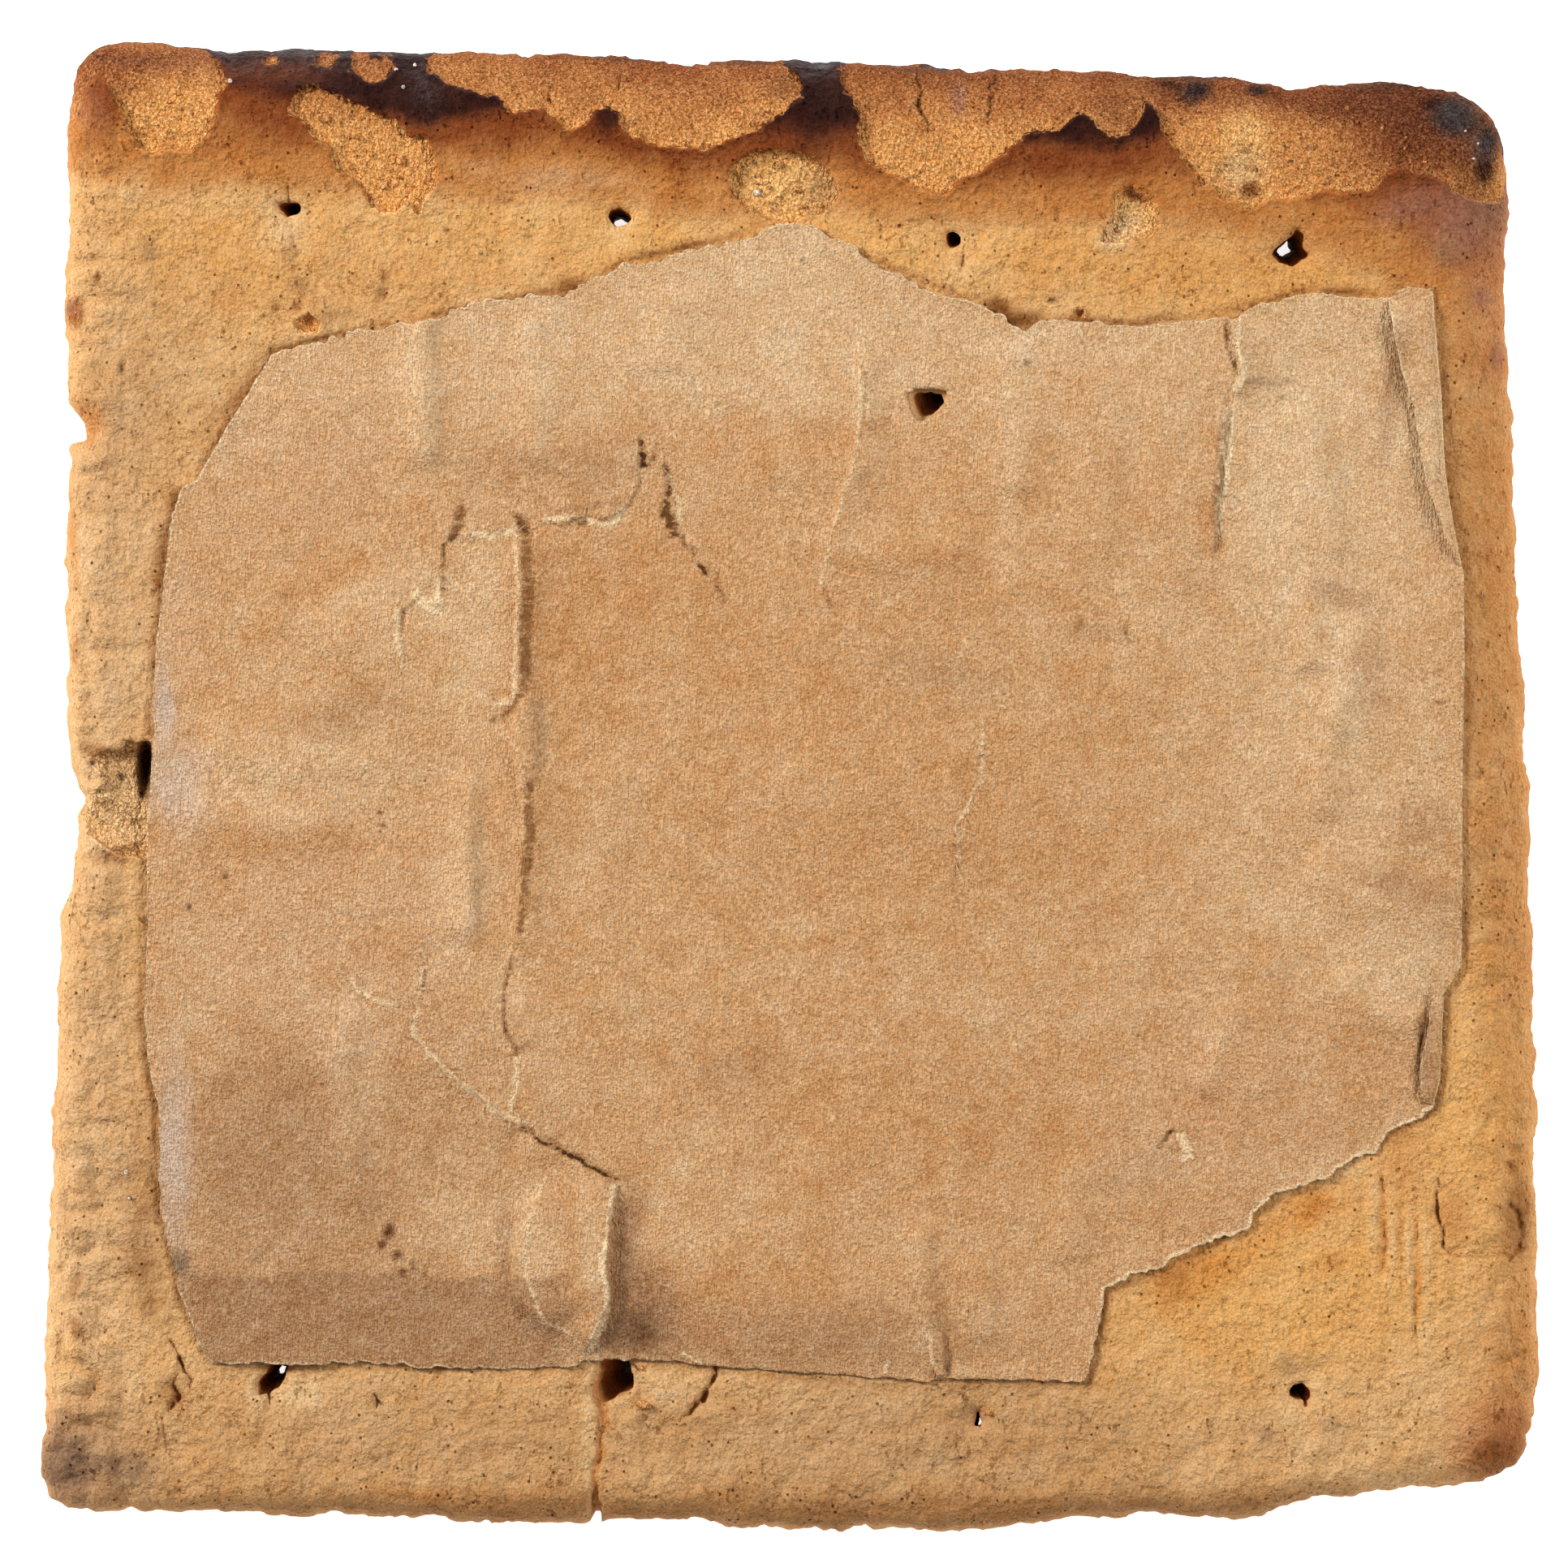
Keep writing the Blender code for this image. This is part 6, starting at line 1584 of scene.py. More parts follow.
def add_side(shell, rim, height, marks, outline, calm, outward):
    """Adds the side from the rim down to the base: its lowest ring and places."""
    rounded = eased(outline, BASE_PASSES)
    upper = rim
    for share, inset in SIDE_PROFILE[1:]:
        ring = calm + ease_step(TEETH_BELOW * (1.0 - share)) * (outline - calm)
        even = ease_step(EVEN_BELOW[0] - EVEN_BELOW[1] * share)
        ring += even * (rounded - ring) - outward * inset
        place = np.column_stack([ring, height * share])
        fade = 4.0 * share * (1.0 - share)
        push = layered(place, SIDE_LAYERS) * min(1.0, SIDE_GAIN * fade)
        place[:, :2] += outward * push[:, None]
        bare = np.minimum(marks["bare"], 1.0) - SKIN_OVER * (1.0 - share)
        bare += layered(place, (SKIN_LIMIT,))
        lower = shell.add(place, bare, marks["crack"] * share, marks["dark"], 1.0 - share)
        shell.bridge(upper, lower)
        upper = lower
    return upper, place[:, :2]


def add_hole(shell, rim, height, ring, hole):
    """Adds the wall of a docking hole: its lowest ring and places."""
    *lean, share, _ = hole
    out = ring - ring.mean(axis=0)
    wobble_depth, *wobble = HOLE_WOBBLE
    upper = rim
    for step in range(1, HOLE_RINGS + 1):
        down = step / HOLE_RINGS
        narrow = 1.0 + (share - 1.0) * ease_step(down * HOLE_NARROWING)
        place = ring.mean(axis=0) + out * narrow + np.array(lean) * down
        place = np.column_stack([place, height * (1.0 - down)])
        if step < HOLE_RINGS:
            place[:, :2] += out * (wobble_depth * noise(place, *wobble))[:, None]
        # The wall darkens downwards: painted shade.
        lower = shell.add(place, crack=1.0, dark=HOLE_SHADE[0] + HOLE_SHADE[1] * down)
        shell.bridge(upper, lower, flipped=True)
        upper = lower
    return upper, place[:, :2]


def build_biscuit_shell(finest, grain):
    """The whole biscuit as one closed mesh: upper face, side, docking holes and base."""
    shell = Shell()
    outline = counter_clockwise(BISCUIT_EDGE)[:, :2]
    calm = eased(outline, RIM_PASSES)
    outward = outward_of(eased(outline, OUTWARD_PASSES[0]), OUTWARD_PASSES[1])
    loops = [calm - outward * RIM_INSET]
    loops += [counter_clockwise(ring) for _, _, _, ring in HOLES]
    points = graded_points(finest, crust_spacing, loops)
    rows = np.vstack([*loops, points])
    height, marks = top_surface(rows, grain)
    top = shell.add(np.column_stack([rows, height]), **marks)
    shell.skin(top[triangulated(points, loops)])
    count = len(outline)
    rim_marks = {key: mark[:count] for key, mark in marks.items()}
    rims = [add_side(shell, top[:count], height[:count], rim_marks, outline, calm, outward)]
    for hole, ring in zip(HOLES, loops[1:]):
        last = count + len(ring)
        rims.append(add_hole(shell, top[count:last], height[count:last], ring, hole))
        count = last
    coarse = finest * BASE_COARSENESS
    base_loops = [places for _, places in rims]
    points = graded_points(coarse, base_spacing, base_loops)
    level = base_level(points, base_loops)
    extra = shell.add(np.column_stack([points, level]), side=1.0)
    indices = np.concatenate([ring for ring, _ in rims] + [extra])
    shell.skin(indices[triangulated(points, base_loops)], flipped=True)
    return shell


def between(share, one, two):
    """Colours passing from one to another as the share goes from 0 to 1."""
    return one + share[:, None] * (two - one)


def palette_of(settings):
    """Every colour of the settings by name, as seen on a screen, where paint mixes."""
    values = {key: getattr(settings, key) for key in type(settings).__annotations__}
    return {key: np.power(np.array(value), 1.0 / GAMMA)
            for key, value in values.items() if not isinstance(value, float)}


def painted(xy, colour, strokes, palette):
    """Colours with every stroke laid over them in turn."""
    places = wavered(xy, STROKE_WAVER)
    for *oval, name, strength in strokes:
        sizes = oval[2:4]
        close = near(xy, [oval[:2]], STROKE_REACH * max(sizes) + STROKE_STRAY)
        shift = min(1.0, STROKE_SHIFT * min(sizes))
        moved = xy[close] + shift * (places[close] - xy[close])
        weight = strength * np.exp(-(turned_reach(moved, oval) ** 3))
        colour[close] = between(weight, colour[close], palette[name])
    return colour


def burn_level(xy):
    """How scorched the skin is: 0 not at all, 1 charred."""
    table = np.array(BURN_FRONT, float)
    places = wavered(xy, BURN_WAVER)
    fronts = [np.interp(places[:, 0], table[:, 0], column) for column in table.T[:0:-1]]
    level = np.zeros(len(xy))
    for low, high, share in zip(fronts[:-1], fronts[1:], np.diff(BURN_LEVELS[::-1])):
        level += share * ease_step((places[:, 1] - low) / (high - low))
    return level


def burnt_colours(level, palette):
    """Colour of scorched skin at each level."""
    _, brown, amber, _ = BURN_LEVELS
    colours = {0.0: palette["tan"], amber: palette["amber"], brown: palette["brown"],
               DARKER_BROWN: 0.5 * (palette["brown"] + palette["black"]), 1.0: palette["black"]}
    columns = np.array(list(colours.values())).T
    return np.column_stack([np.interp(level, list(colours), column) for column in columns])


def patches(xy, share, size, number):
    """Random patches, from nothing up to a share."""
    return share * (0.5 + 0.5 * noise(xy, size, number))


def crumb_colours(xy, palette):
    """Colour of the bare crumb: toasted and partly darkened by painted shade along the edge,
    pale in the shallow flakes.
    """
    slope, line, softness, *change = TOASTED
    depth = (xy[:, 1] + slope * xy[:, 0] - line) / softness + layered(xy, (change,))
    share, line, softness = LESS_TOASTED
    depth = np.clip(depth - share * ease_step((line - xy[:, 0]) / softness), 0.0, 1.0)
    return between(depth, palette["crumb"], palette["dark_crumb"])


def glued_and_shaded(xy, paint, colour):
    """Colours with brown glue and painted contact shadow laid over them along the label."""
    least, *change = GLUE_SHADOW_PATCHES
    patchy = ease_step(least + layered(xy, (change,)))
    for strength, reach, rows in GLUE_AND_SHADOW_LINES:
        close = near(xy, rows, GLUE_SHADOW_REACH * reach)
        gap, _, _ = line_gap(xy[close], rows)
        weight = strength * patchy[close] * np.exp(-((gap / reach) ** GLUE_SHADOW_POWER))
        paint[close] = between(weight, paint[close], colour)
    return paint


def crust_finish(points, shell, palette):
    """Colours of skin and crumb, and scorching, shine and bareness at each point."""
    xy, high = points[:, :2], points[:, 2]
    side = shell.marked("side")
    paint = np.tile(palette["tan"], (len(xy), 1))
    paint = between(patches(xy, *PALE_PATCHES), paint, palette["pale"])
    paint = painted(xy, paint, CRUST_STROKES, palette)
    # Brown glue and painted contact shadow along the label's rim.
    paint = glued_and_shaded(xy, paint, palette["umber"])
    scorch = burn_level(xy)
    paint = between(ease_step(scorch / SCORCHED_FROM), paint, burnt_colours(scorch, palette))
    paint = painted(xy, paint, CHAR_STROKES, palette)
    crumb = painted(xy, crumb_colours(xy, palette), CRUMB_STROKES, palette)
    wall = ease_step(side / WALL_FROM) * (1.0 - np.clip(scorch * WALL_SCORCH, 0.0, 1.0))
    toasted = between(patches(xy, *WALL_PATCHES), palette["golden"], palette["amber"])
    paint = between(WALL_SHARE * wall, paint, toasted)
    low = (side > UNDER_SIDE) & (high < UNDER_HEIGHT)
    under = between(patches(xy, *UNDER_PATCHES), palette["tan"], palette["golden"])
    paint = between(UNDER_SHARE * low, paint, under)
    share, size, number, line, softness = UNDER_STAINS
    stains = ease_step((noise(xy, size, number) - line) / softness)
    paint = between(share * stains * low, paint, palette["amber"])
    shine = np.zeros(len(xy))
    for *oval, strength in SHINE_STROKES:
        shine = np.maximum(shine, strength * np.exp(-(turned_reach(xy, oval) ** 3)))
    scorch = np.where(low, UNDER_SCORCH * scorch, scorch)
    bare = np.clip(0.5 + shell.marked("bare") / BARE_SPREAD, 0.0, 1.0)
    return paint, crumb, scorch, shine, bare


def put_marks(mesh, **marks):
    """Stores numbers for each point, for the materials to read."""
    for name, values in marks.items():
        layer = mesh.attributes.new(name, "FLOAT", "POINT")
        layer.data.foreach_set("value", np.ascontiguousarray(values, dtype=np.float32))


def put_paint(mesh, name, paint):
    """Stores a colour for each point; the paint is as seen on a screen."""
    layer = mesh.color_attributes.new(name, "FLOAT_COLOR", "POINT")
    rows = np.ones((len(paint), 4), np.float32)
    rows[:, :3] = np.clip(paint, 0.0, 1.0) ** GAMMA
    layer.data.foreach_set("color", rows.ravel())


def shared(rows):
    """Rows with one more column, the share of the way along."""
    rows = np.array(rows, float)
    steps = np.hypot(*np.diff(rows[:, :2], axis=0).T)
    share = np.concatenate([[0.0], np.cumsum(steps)]) / steps.sum()
    return np.column_stack([rows, share])


def tapered(share, steepness=6.0, least=0.1):
    """Full along the middle of a fold or tear, and fading at its two ends."""
    return ease_step(steepness * np.minimum(share, 1.0 - share) + least)


def paper_lift(xy, rim_gap):
    """How far the label's upper face stands above where it would lie flat."""
    lift = np.zeros(len(xy))
    places = wavered(xy, FOLD_WAVER)
    for height, left, right, rows in PAPER_FOLDS:
        close = near(xy, rows, FOLD_REACH * max(left, right))
        gap, side, carried = line_gap(places[close], shared(rows))
        bulge = np.exp(-((gap / np.where(side > 0.0, left, right)) ** 2))
        lift[close] += FOLD_GAIN * height * bulge * tapered(carried[:, -1])
    for height, reach, rows in PAPER_TEARS:
        close = near(xy, rows, TEAR_REACH * reach)
        gap, side, carried = line_gap(wavered(xy[close], TEAR_WAVER), shared(rows))
        rise = height * np.exp(-((gap / reach) ** TEAR_POWER)) * tapered(carried[:, -1])
        lift[close] += rise * ease_step(side * gap / TEAR_STEP + 0.5)
    lift += layered(xy, SHEET_WAVES)
    for height, sharpness, size, number, *stretch in CREASES:
        lift += height * (1.0 - np.abs(noise(xy * stretch, size, number))) ** sharpness
    curl = CURL + layered(xy, (CURL_CHANGE,))
    lift += curl * np.exp(-np.clip(rim_gap, 0.0, FAR) / CURL_REACH)
    return np.maximum(lift + SHEET_REST, SHEET_LEAST)


def fringe_share(xy, rim_gap):
    """How much the pale torn inner layer of the label shows at each point."""
    share = np.zeros(len(xy))
    places = wavered(xy, FRINGE_WAVER)
    change = 1.0 + layered(xy, (FRINGE_CHANGE,))
    for strength, rows in PAPER_FRINGES:
        close = near(xy, rows, LOOP_REACH)
        gap, _, carried = line_gap(places[close], rows)
        width = carried[:, 0] * change[close]
        here = np.clip(FRINGE_CORE + (width - gap) / FRINGE_SPREAD, 0.0, 1.0)
        here *= FRINGE_LEAST + (1.0 - FRINGE_LEAST) * strength
        share[close] = np.maximum(share[close], here)
    for width, rows in PALE_EDGES:
        close = near(xy, rows, PALE_BOX)
        gap, _, _ = line_gap(xy[close], rows)
        wide = width * (1.0 + layered(xy[close], (PALE_CHANGE,))) * change[close]
        here = np.clip(0.5 + (PALE_WIDTH * wide - rim_gap[close]) / PALE_SPREAD, 0.0, 1.0)
        share[close] = np.maximum(share[close], here * (gap < PALE_REACH))
    return share


def paper_edge_gap(xy):
    """Distance to the label's rim."""
    found = np.full(len(xy), FAR)
    for part in batches(np.arange(len(xy)), RIM_BATCH):
        found[part] = np.minimum(nearest_gap(xy[part], joined(PAPER_EDGE[:, :2])), FAR)
    return found


def label_base(xy):
    """The height at which the label's lower face lies."""
    return crust_height(xy) + PAPER_GAP


def build_label_shell(finest, thickness):
    """The label as one closed sheet whose upper face carries its creases and tears."""
    shell = Shell()
    hole = counter_clockwise(along(PAPER_HOLE, HOLE_STEP, True))
    depth, size, *numbers = PAPER_HOLE_RAGGED
    hole = hole + depth * np.column_stack([noise(hole, size, number) for number in numbers])
    loops = [counter_clockwise(PAPER_EDGE[:, :2]), hole]
    points = graded_points(finest, paper_spacing, loops)
    rows = np.vstack([*loops, points])
    base = label_base(rows)
    gap = paper_edge_gap(rows)
    cut, dark, crack = crack_fields(rows, PAPER_SLITS, SLIT_WIDENING)
    height = base + thickness + paper_lift(rows, gap) - cut
    height = np.maximum(height, base + LEAST_SHEET)
    top = shell.add(np.column_stack([rows, height]), fringe_share(rows, gap), crack, dark)
    shell.skin(top[triangulated(points, loops)])
    first = 0
    lower_loops = []
    lower_rings = []
    for loop, side in zip(loops, (-1.0, 1.0)):
        last = first + len(loop)
        place = loop + outward_of(loop, 2) * side * LABEL_UNDERCUT
        ring = shell.add(np.column_stack([place, base[first:last]]), LABEL_RIM_BARE)
        shell.bridge(top[first:last], ring, flipped=side > 0.0)
        lower_loops.append(place)
        lower_rings.append(ring)
        first = last
    points = graded_points(LABEL_UNDERSIDE_STEP, lambda grid: np.ones(len(grid)), lower_loops)
    under = shell.add(np.column_stack([points, label_base(points)]), LABEL_UNDER_BARE)
    indices = np.concatenate([*lower_rings, under])
    shell.skin(indices[triangulated(points, lower_loops)], flipped=True)
    return shell


def label_colours(xy, palette):
    """Colour of the label at each place: mottled, worn and stained."""
    paint = np.tile(palette["kraft"], (len(xy), 1))
    paint = between(patches(xy, *CLEAN_PATCHES), paint, palette["light"])
    share, size, number = WORN_PATCHES
    worn = ease_step(0.5 + noise(xy, size, number))
    paint = between(share * worn, paint, palette["russet"])
    paint = painted(xy, paint, PAPER_STROKES, palette)
    top = DAMP_TOP[0] + layered(xy, DAMP_EDGE)
    damp = ease_step((top - xy[:, 1]) / DAMP_TOP[1])
    damp *= ease_step((DAMP_RIGHT[0] - xy[:, 0]) / DAMP_RIGHT[1])
    return between(DAMP_SHARE * damp, paint, palette["dusky"])


def grid_shell(places, height, thickness, bare):
    """A closed sheet from a grid of places with the height of its upper face."""
    down, across = height.shape
    shell = Shell()
    flat = places.reshape(-1, 2)
    top = shell.add(np.column_stack([flat, height.ravel()]), bare.ravel())
    under = shell.add(np.column_stack([flat, height.ravel() - thickness]), bare.ravel())
    index = np.arange(down * across).reshape(down, across)
    one = np.stack([index[:-1, :-1], index[1:, :-1], index[1:, 1:]], axis=-1)
    two = np.stack([index[:-1, :-1], index[1:, 1:], index[:-1, 1:]], axis=-1)
    grid = np.vstack([one.reshape(-1, 3), two.reshape(-1, 3)])
    flipped = turning(flat[grid[0]]) < 0.0
    shell.skin(top[grid], flipped)
    shell.skin(under[grid], not flipped)
    rim = np.concatenate([index[:-1, 0], index[-1, :-1], index[:0:-1, -1], index[0, :0:-1]])
    shell.bridge(top[rim], under[rim], flipped)
    return shell


def build_fold_shell(free_side, held_side, rise, thickness):
    """A narrow fold of the label, held along one side and lifted along the other."""
    down, across = FOLD_GRID
    at = np.linspace(0.0, 1.0, down)
    over = np.linspace(0.0, 1.0, across)
    sides = [along(side, FOLD_WALK, False) for side in (free_side, held_side)]
    free, held = [side[(at * (len(side) - 1)).astype(int)] for side in sides]
    places = held[:, None, :] + over[None, :, None] * (free - held)[:, None, :]
    places[..., 0] += layered(free, FOLD_JAGS)[:, None] * over[None, :] ** 2
    flat = places.reshape(-1, 2)
    base = label_base(flat).reshape(down, across) + thickness
    bend = np.sqrt(np.clip(1.0 - (1.0 - over) ** 2, 0.0, 1.0))
    ends = tapered(at, *FOLD_ENDS)
    wrinkle = 1.0 + layered(flat, FOLD_WRINKLES).reshape(down, across)
    height = base + FOLD_LIFT + rise * ends[:, None] * bend[None, :] * wrinkle
    height += layered(flat, FOLD_DIMPLES).reshape(down, across)
    gain, power, most = FOLD_BARE
    bare = np.clip(gain * (np.abs(over - 0.5) * 2.0) ** power, 0.0, most)
    return grid_shell(places, height, thickness, np.repeat(bare[None, :], down, axis=0))


def tube_into(shell, route, radii, sides, bare):
    """Adds a thin closed thread along a route of points."""
    turns = (np.arange(sides) * 2.0 * math.pi / sides)[:, None]
    run = route[-1] - route[0]
    run = run / np.linalg.norm(run)
    one = np.cross(run, (0.0, 0.0, 1.0))
    one = one / max(np.linalg.norm(one), TINY)
    two = np.cross(run, one)
    rings = []
    for place, radius in zip(route, radii):
        ring = place + np.cos(turns) * radius * one + np.sin(turns) * radius * two
        rings.append(shell.add(ring, bare))
    for upper, lower in zip(rings[:-1], rings[1:]):
        shell.bridge(upper, lower, flipped=True)
    for ring, tip, flipped in ((rings[0], route[0], True), (rings[-1], route[-1], False)):
        point = shell.add(tip[None, :], bare)
        shell.skin(np.column_stack([ring, np.roll(ring, -1), np.repeat(point, sides)]), flipped)


def build_fibre_shell(thickness):
    """Loose fibres that stand out of the label's torn edges."""
    draw = np.random.default_rng(SEED + FIBRE_DRAW)
    shell = Shell()
    share = np.linspace(0.0, 1.0, FIBRE_POINTS)
    radii = np.linspace(*FIBRE_RADII, FIBRE_POINTS)
    lines = [np.array(rows)[:, :2] for strength, rows in PAPER_FRINGES if strength > FIBRE_FRINGE]
    for place in np.vstack([along(line, FIBRE_SPACING, False) for line in lines]):
        start = place + draw.uniform(*FIBRE_STRAY, 2)
        angle = draw.uniform(0.0, 2.0 * math.pi)
        length = draw.uniform(*FIBRE_LENGTH)
        turn = angle + draw.uniform(*FIBRE_BEND) * share
        steps = np.column_stack([np.cos(turn), np.sin(turn)]) * length / (FIBRE_POINTS - 1)
        places = start + np.cumsum(steps, axis=0)
        ground = label_base(places) + thickness + paper_lift(places, paper_edge_gap(places))
        rise = draw.uniform(*FIBRE_RISE)
        high = ground + FIBRE_GROUND + rise * np.sin(share * math.pi * FIBRE_ARCH)
        route = np.column_stack([places, high])
        tube_into(shell, route, radii, FIBRE_SIDES, draw.uniform(*FIBRE_BARE))
    return shell


def round_ball():
    """Points and faces of a small round ball."""
    shape = bmesh.new()
    bmesh.ops.create_icosphere(shape, subdivisions=2, radius=1.0)
    points = np.array([vert.co[:] for vert in shape.verts])
    faces = np.array([[vert.index for vert in face.verts] for face in shape.faces])
    shape.free()
    return points, faces


def build_crumb_shell(grain):
    """Crumbs and grains that lie in the hollows and on the bare crumb."""
    draw = np.random.default_rng(SEED + CRUMB_DRAW)
    corner, corner_half = CHARRED_CORNER
    wanted = [list(row) for row in CRUMB_PLACES]
    while len(wanted) < CRUMB_COUNT:
        spot = draw.uniform(*CRUMB_FIELD)[None, :]
        if (flaked(spot)[0] > CRUMB_OFF_SKIN and edge_gap(spot)[0][0] > CRUMB_OFF_RIM
                and inside(spot, BISCUIT_EDGE)[0] and np.abs(spot - corner).max() > corner_half):
            wanted.append([*spot[0], draw.uniform(*CRUMB_RADIUS), draw.uniform(*CRUMB_PALENESS)])
    rows = np.array(wanted)
    ground, _ = top_surface(rows[:, :2], grain)
    ball, faces = round_ball()
    swell_depth, *swell = CRUMB_SHAPE
    shell = Shell()
    for (x, y, radius, bare), high in zip(rows, ground):
        points = ball * draw.uniform(*CRUMB_STRETCH, 3)
        grown = 1.0 + swell_depth * noise(points + draw.uniform(0, CRUMB_SHAPES, 3), *swell)
        points = points * grown[:, None] * radius + (x, y, high + CRUMB_SIT * radius)
        shell.skin(shell.add(points, bare)[faces])
    return shell


class Nodes:
    """Short calls for building one material's node tree."""

    def __init__(self, name):
        self.material = bpy.data.materials.new(name)
        self.material.use_nodes = True
        self.tree = self.material.node_tree
        self.tree.nodes.clear()
        self.place = self.add("ShaderNodeTexCoord").outputs["Object"]

    def add(self, kind, inputs=None, **settings):
        """Adds a node; an input may be a value or another node's output."""
        node = self.tree.nodes.new(kind)
        for key, value in settings.items():
            setattr(node, key, value)
        for key, value in (inputs or {}).items():
            if isinstance(value, bpy.types.NodeSocket):
                self.tree.links.new(value, node.inputs[key])
            else:
                node.inputs[key].default_value = value
        return node

    def attribute(self, name, output="Fac"):
        """A number, or with "Color" a colour, stored at the mesh's points."""
        return self.add("ShaderNodeAttribute", attribute_name=name).outputs[output]

    def maths(self, operation, one, two=0.0, third=0.0):
        """One sum of two or three values."""
        inputs = {0: one, 1: two, 2: third}
        return self.add("ShaderNodeMath", inputs, operation=operation).outputs[0]

    def product(self, one, two):
        """One value times another."""
        return self.maths("MULTIPLY", one, two)

    def less(self, one, two):
        """One value less another."""
        return self.maths("SUBTRACT", one, two)

    def total(self, *parts):
        """The sum of several values."""
        found = parts[0]
        for part in parts[1:]:
            found = self.maths("ADD", found, part)
        return found

    def noise(self, size_mm, detail=2.0, rough=0.5, place=None):
        """A noise with bumps of a size in millimetres; most of it is from 0.3 to 0.7."""
        inputs = {"Vector": place or self.place, "Scale": 1.0 / (size_mm * MM),
                  "Detail": detail, "Roughness": rough}
        return self.add("ShaderNodeTexNoise", inputs).outputs["Fac"]

    def dots(self, size_mm, small, large):
        """Dots at random places, one in each cell of a size in millimetres."""
        inputs = {"Vector": self.place, "Scale": 1.0 / (size_mm * MM)}
        cells = self.add("ShaderNodeTexVoronoi", inputs, feature="F1").outputs["Distance"]
        return self.spread(cells, small, large, 1.0, 0.0)

    def spread(self, value, low, high, to_low=0.0, to_high=1.0):
        """The stretch from low to high, brought to the one from to_low to to_high."""
        inputs = {"Value": value, "From Min": low, "From Max": high,
                  "To Min": to_low, "To Max": to_high}
        return self.add("ShaderNodeMapRange", inputs).outputs["Result"]

    def swing(self, field, to_low, to_high, reach=0.2):
        """A noise's main stretch around its middle, brought to that of two values."""
        return self.spread(field, 0.5 - reach, 0.5 + reach, to_low, to_high)

    def mix(self, share, one, two, blend="MIX"):
        """One colour passing into another."""
        node = self.add("ShaderNodeMix", data_type="RGBA", blend_type=blend)
        for key, value in ((0, share), (6, one), (7, two)):
            if isinstance(value, bpy.types.NodeSocket):
                self.tree.links.new(value, node.inputs[key])
            else:
                node.inputs[key].default_value = value if key == 0 else (*value, 1.0)
        return node.outputs[2]

    def scaled(self, colour, factor):
        """The colour, brighter or darker by a grey factor."""
        grey = self.add("ShaderNodeCombineColor", {0: factor, 1: factor, 2: factor})
        return self.mix(1.0, colour, grey.outputs[0], "MULTIPLY")

    def blended(self, share, one, two):
        """One value passing into another."""
        return self.add("ShaderNodeMix", {0: share, 2: one, 3: two}).outputs[0]

    def cut_off(self, field, rough, depth, width):
        """Turns a soft field from 0 to 1 into a crisp shape with a ragged edge."""
        uneven = self.maths("MULTIPLY_ADD", rough, depth, third=-0.5 * depth)
        return self.spread(self.maths("ADD", field, uneven), 0.5 - width, 0.5 + width)

    def deepened(self, colour, power):
        """The colour raised to a power: above one it grows darker and richer."""
        return self.add("ShaderNodeGamma", {0: colour, 1: power}).outputs[0]

    def turned(self, angle, stretch):
        """Places stretched along one direction, for grain and fibres."""
        inputs = {"Vector": self.place, "Rotation": (0.0, 0.0, angle), "Scale": stretch}
        return self.add("ShaderNodeMapping", inputs).outputs["Vector"]

    def bumped(self, height, distance_mm):
        """Light bent as by a relief of a height in millimetres."""
        inputs = {"Height": height, "Strength": 1.0, "Distance": distance_mm * MM}
        return self.add("ShaderNodeBump", inputs).outputs["Normal"]

    def finish(self, colour, roughness, normal, gloss=0.0):
        """Ends the tree with its shader, and returns the material."""
        shader = self.add("ShaderNodeBsdfPrincipled", {
            "Base Color": colour, "Roughness": roughness, "Normal": normal,
            "Specular IOR Level": 0.06, "Coat Weight": gloss, "Coat Roughness": 0.28,
            "Coat Normal": normal})
        self.add("ShaderNodeOutputMaterial", {"Surface": shader.outputs[0]})
        return self.material


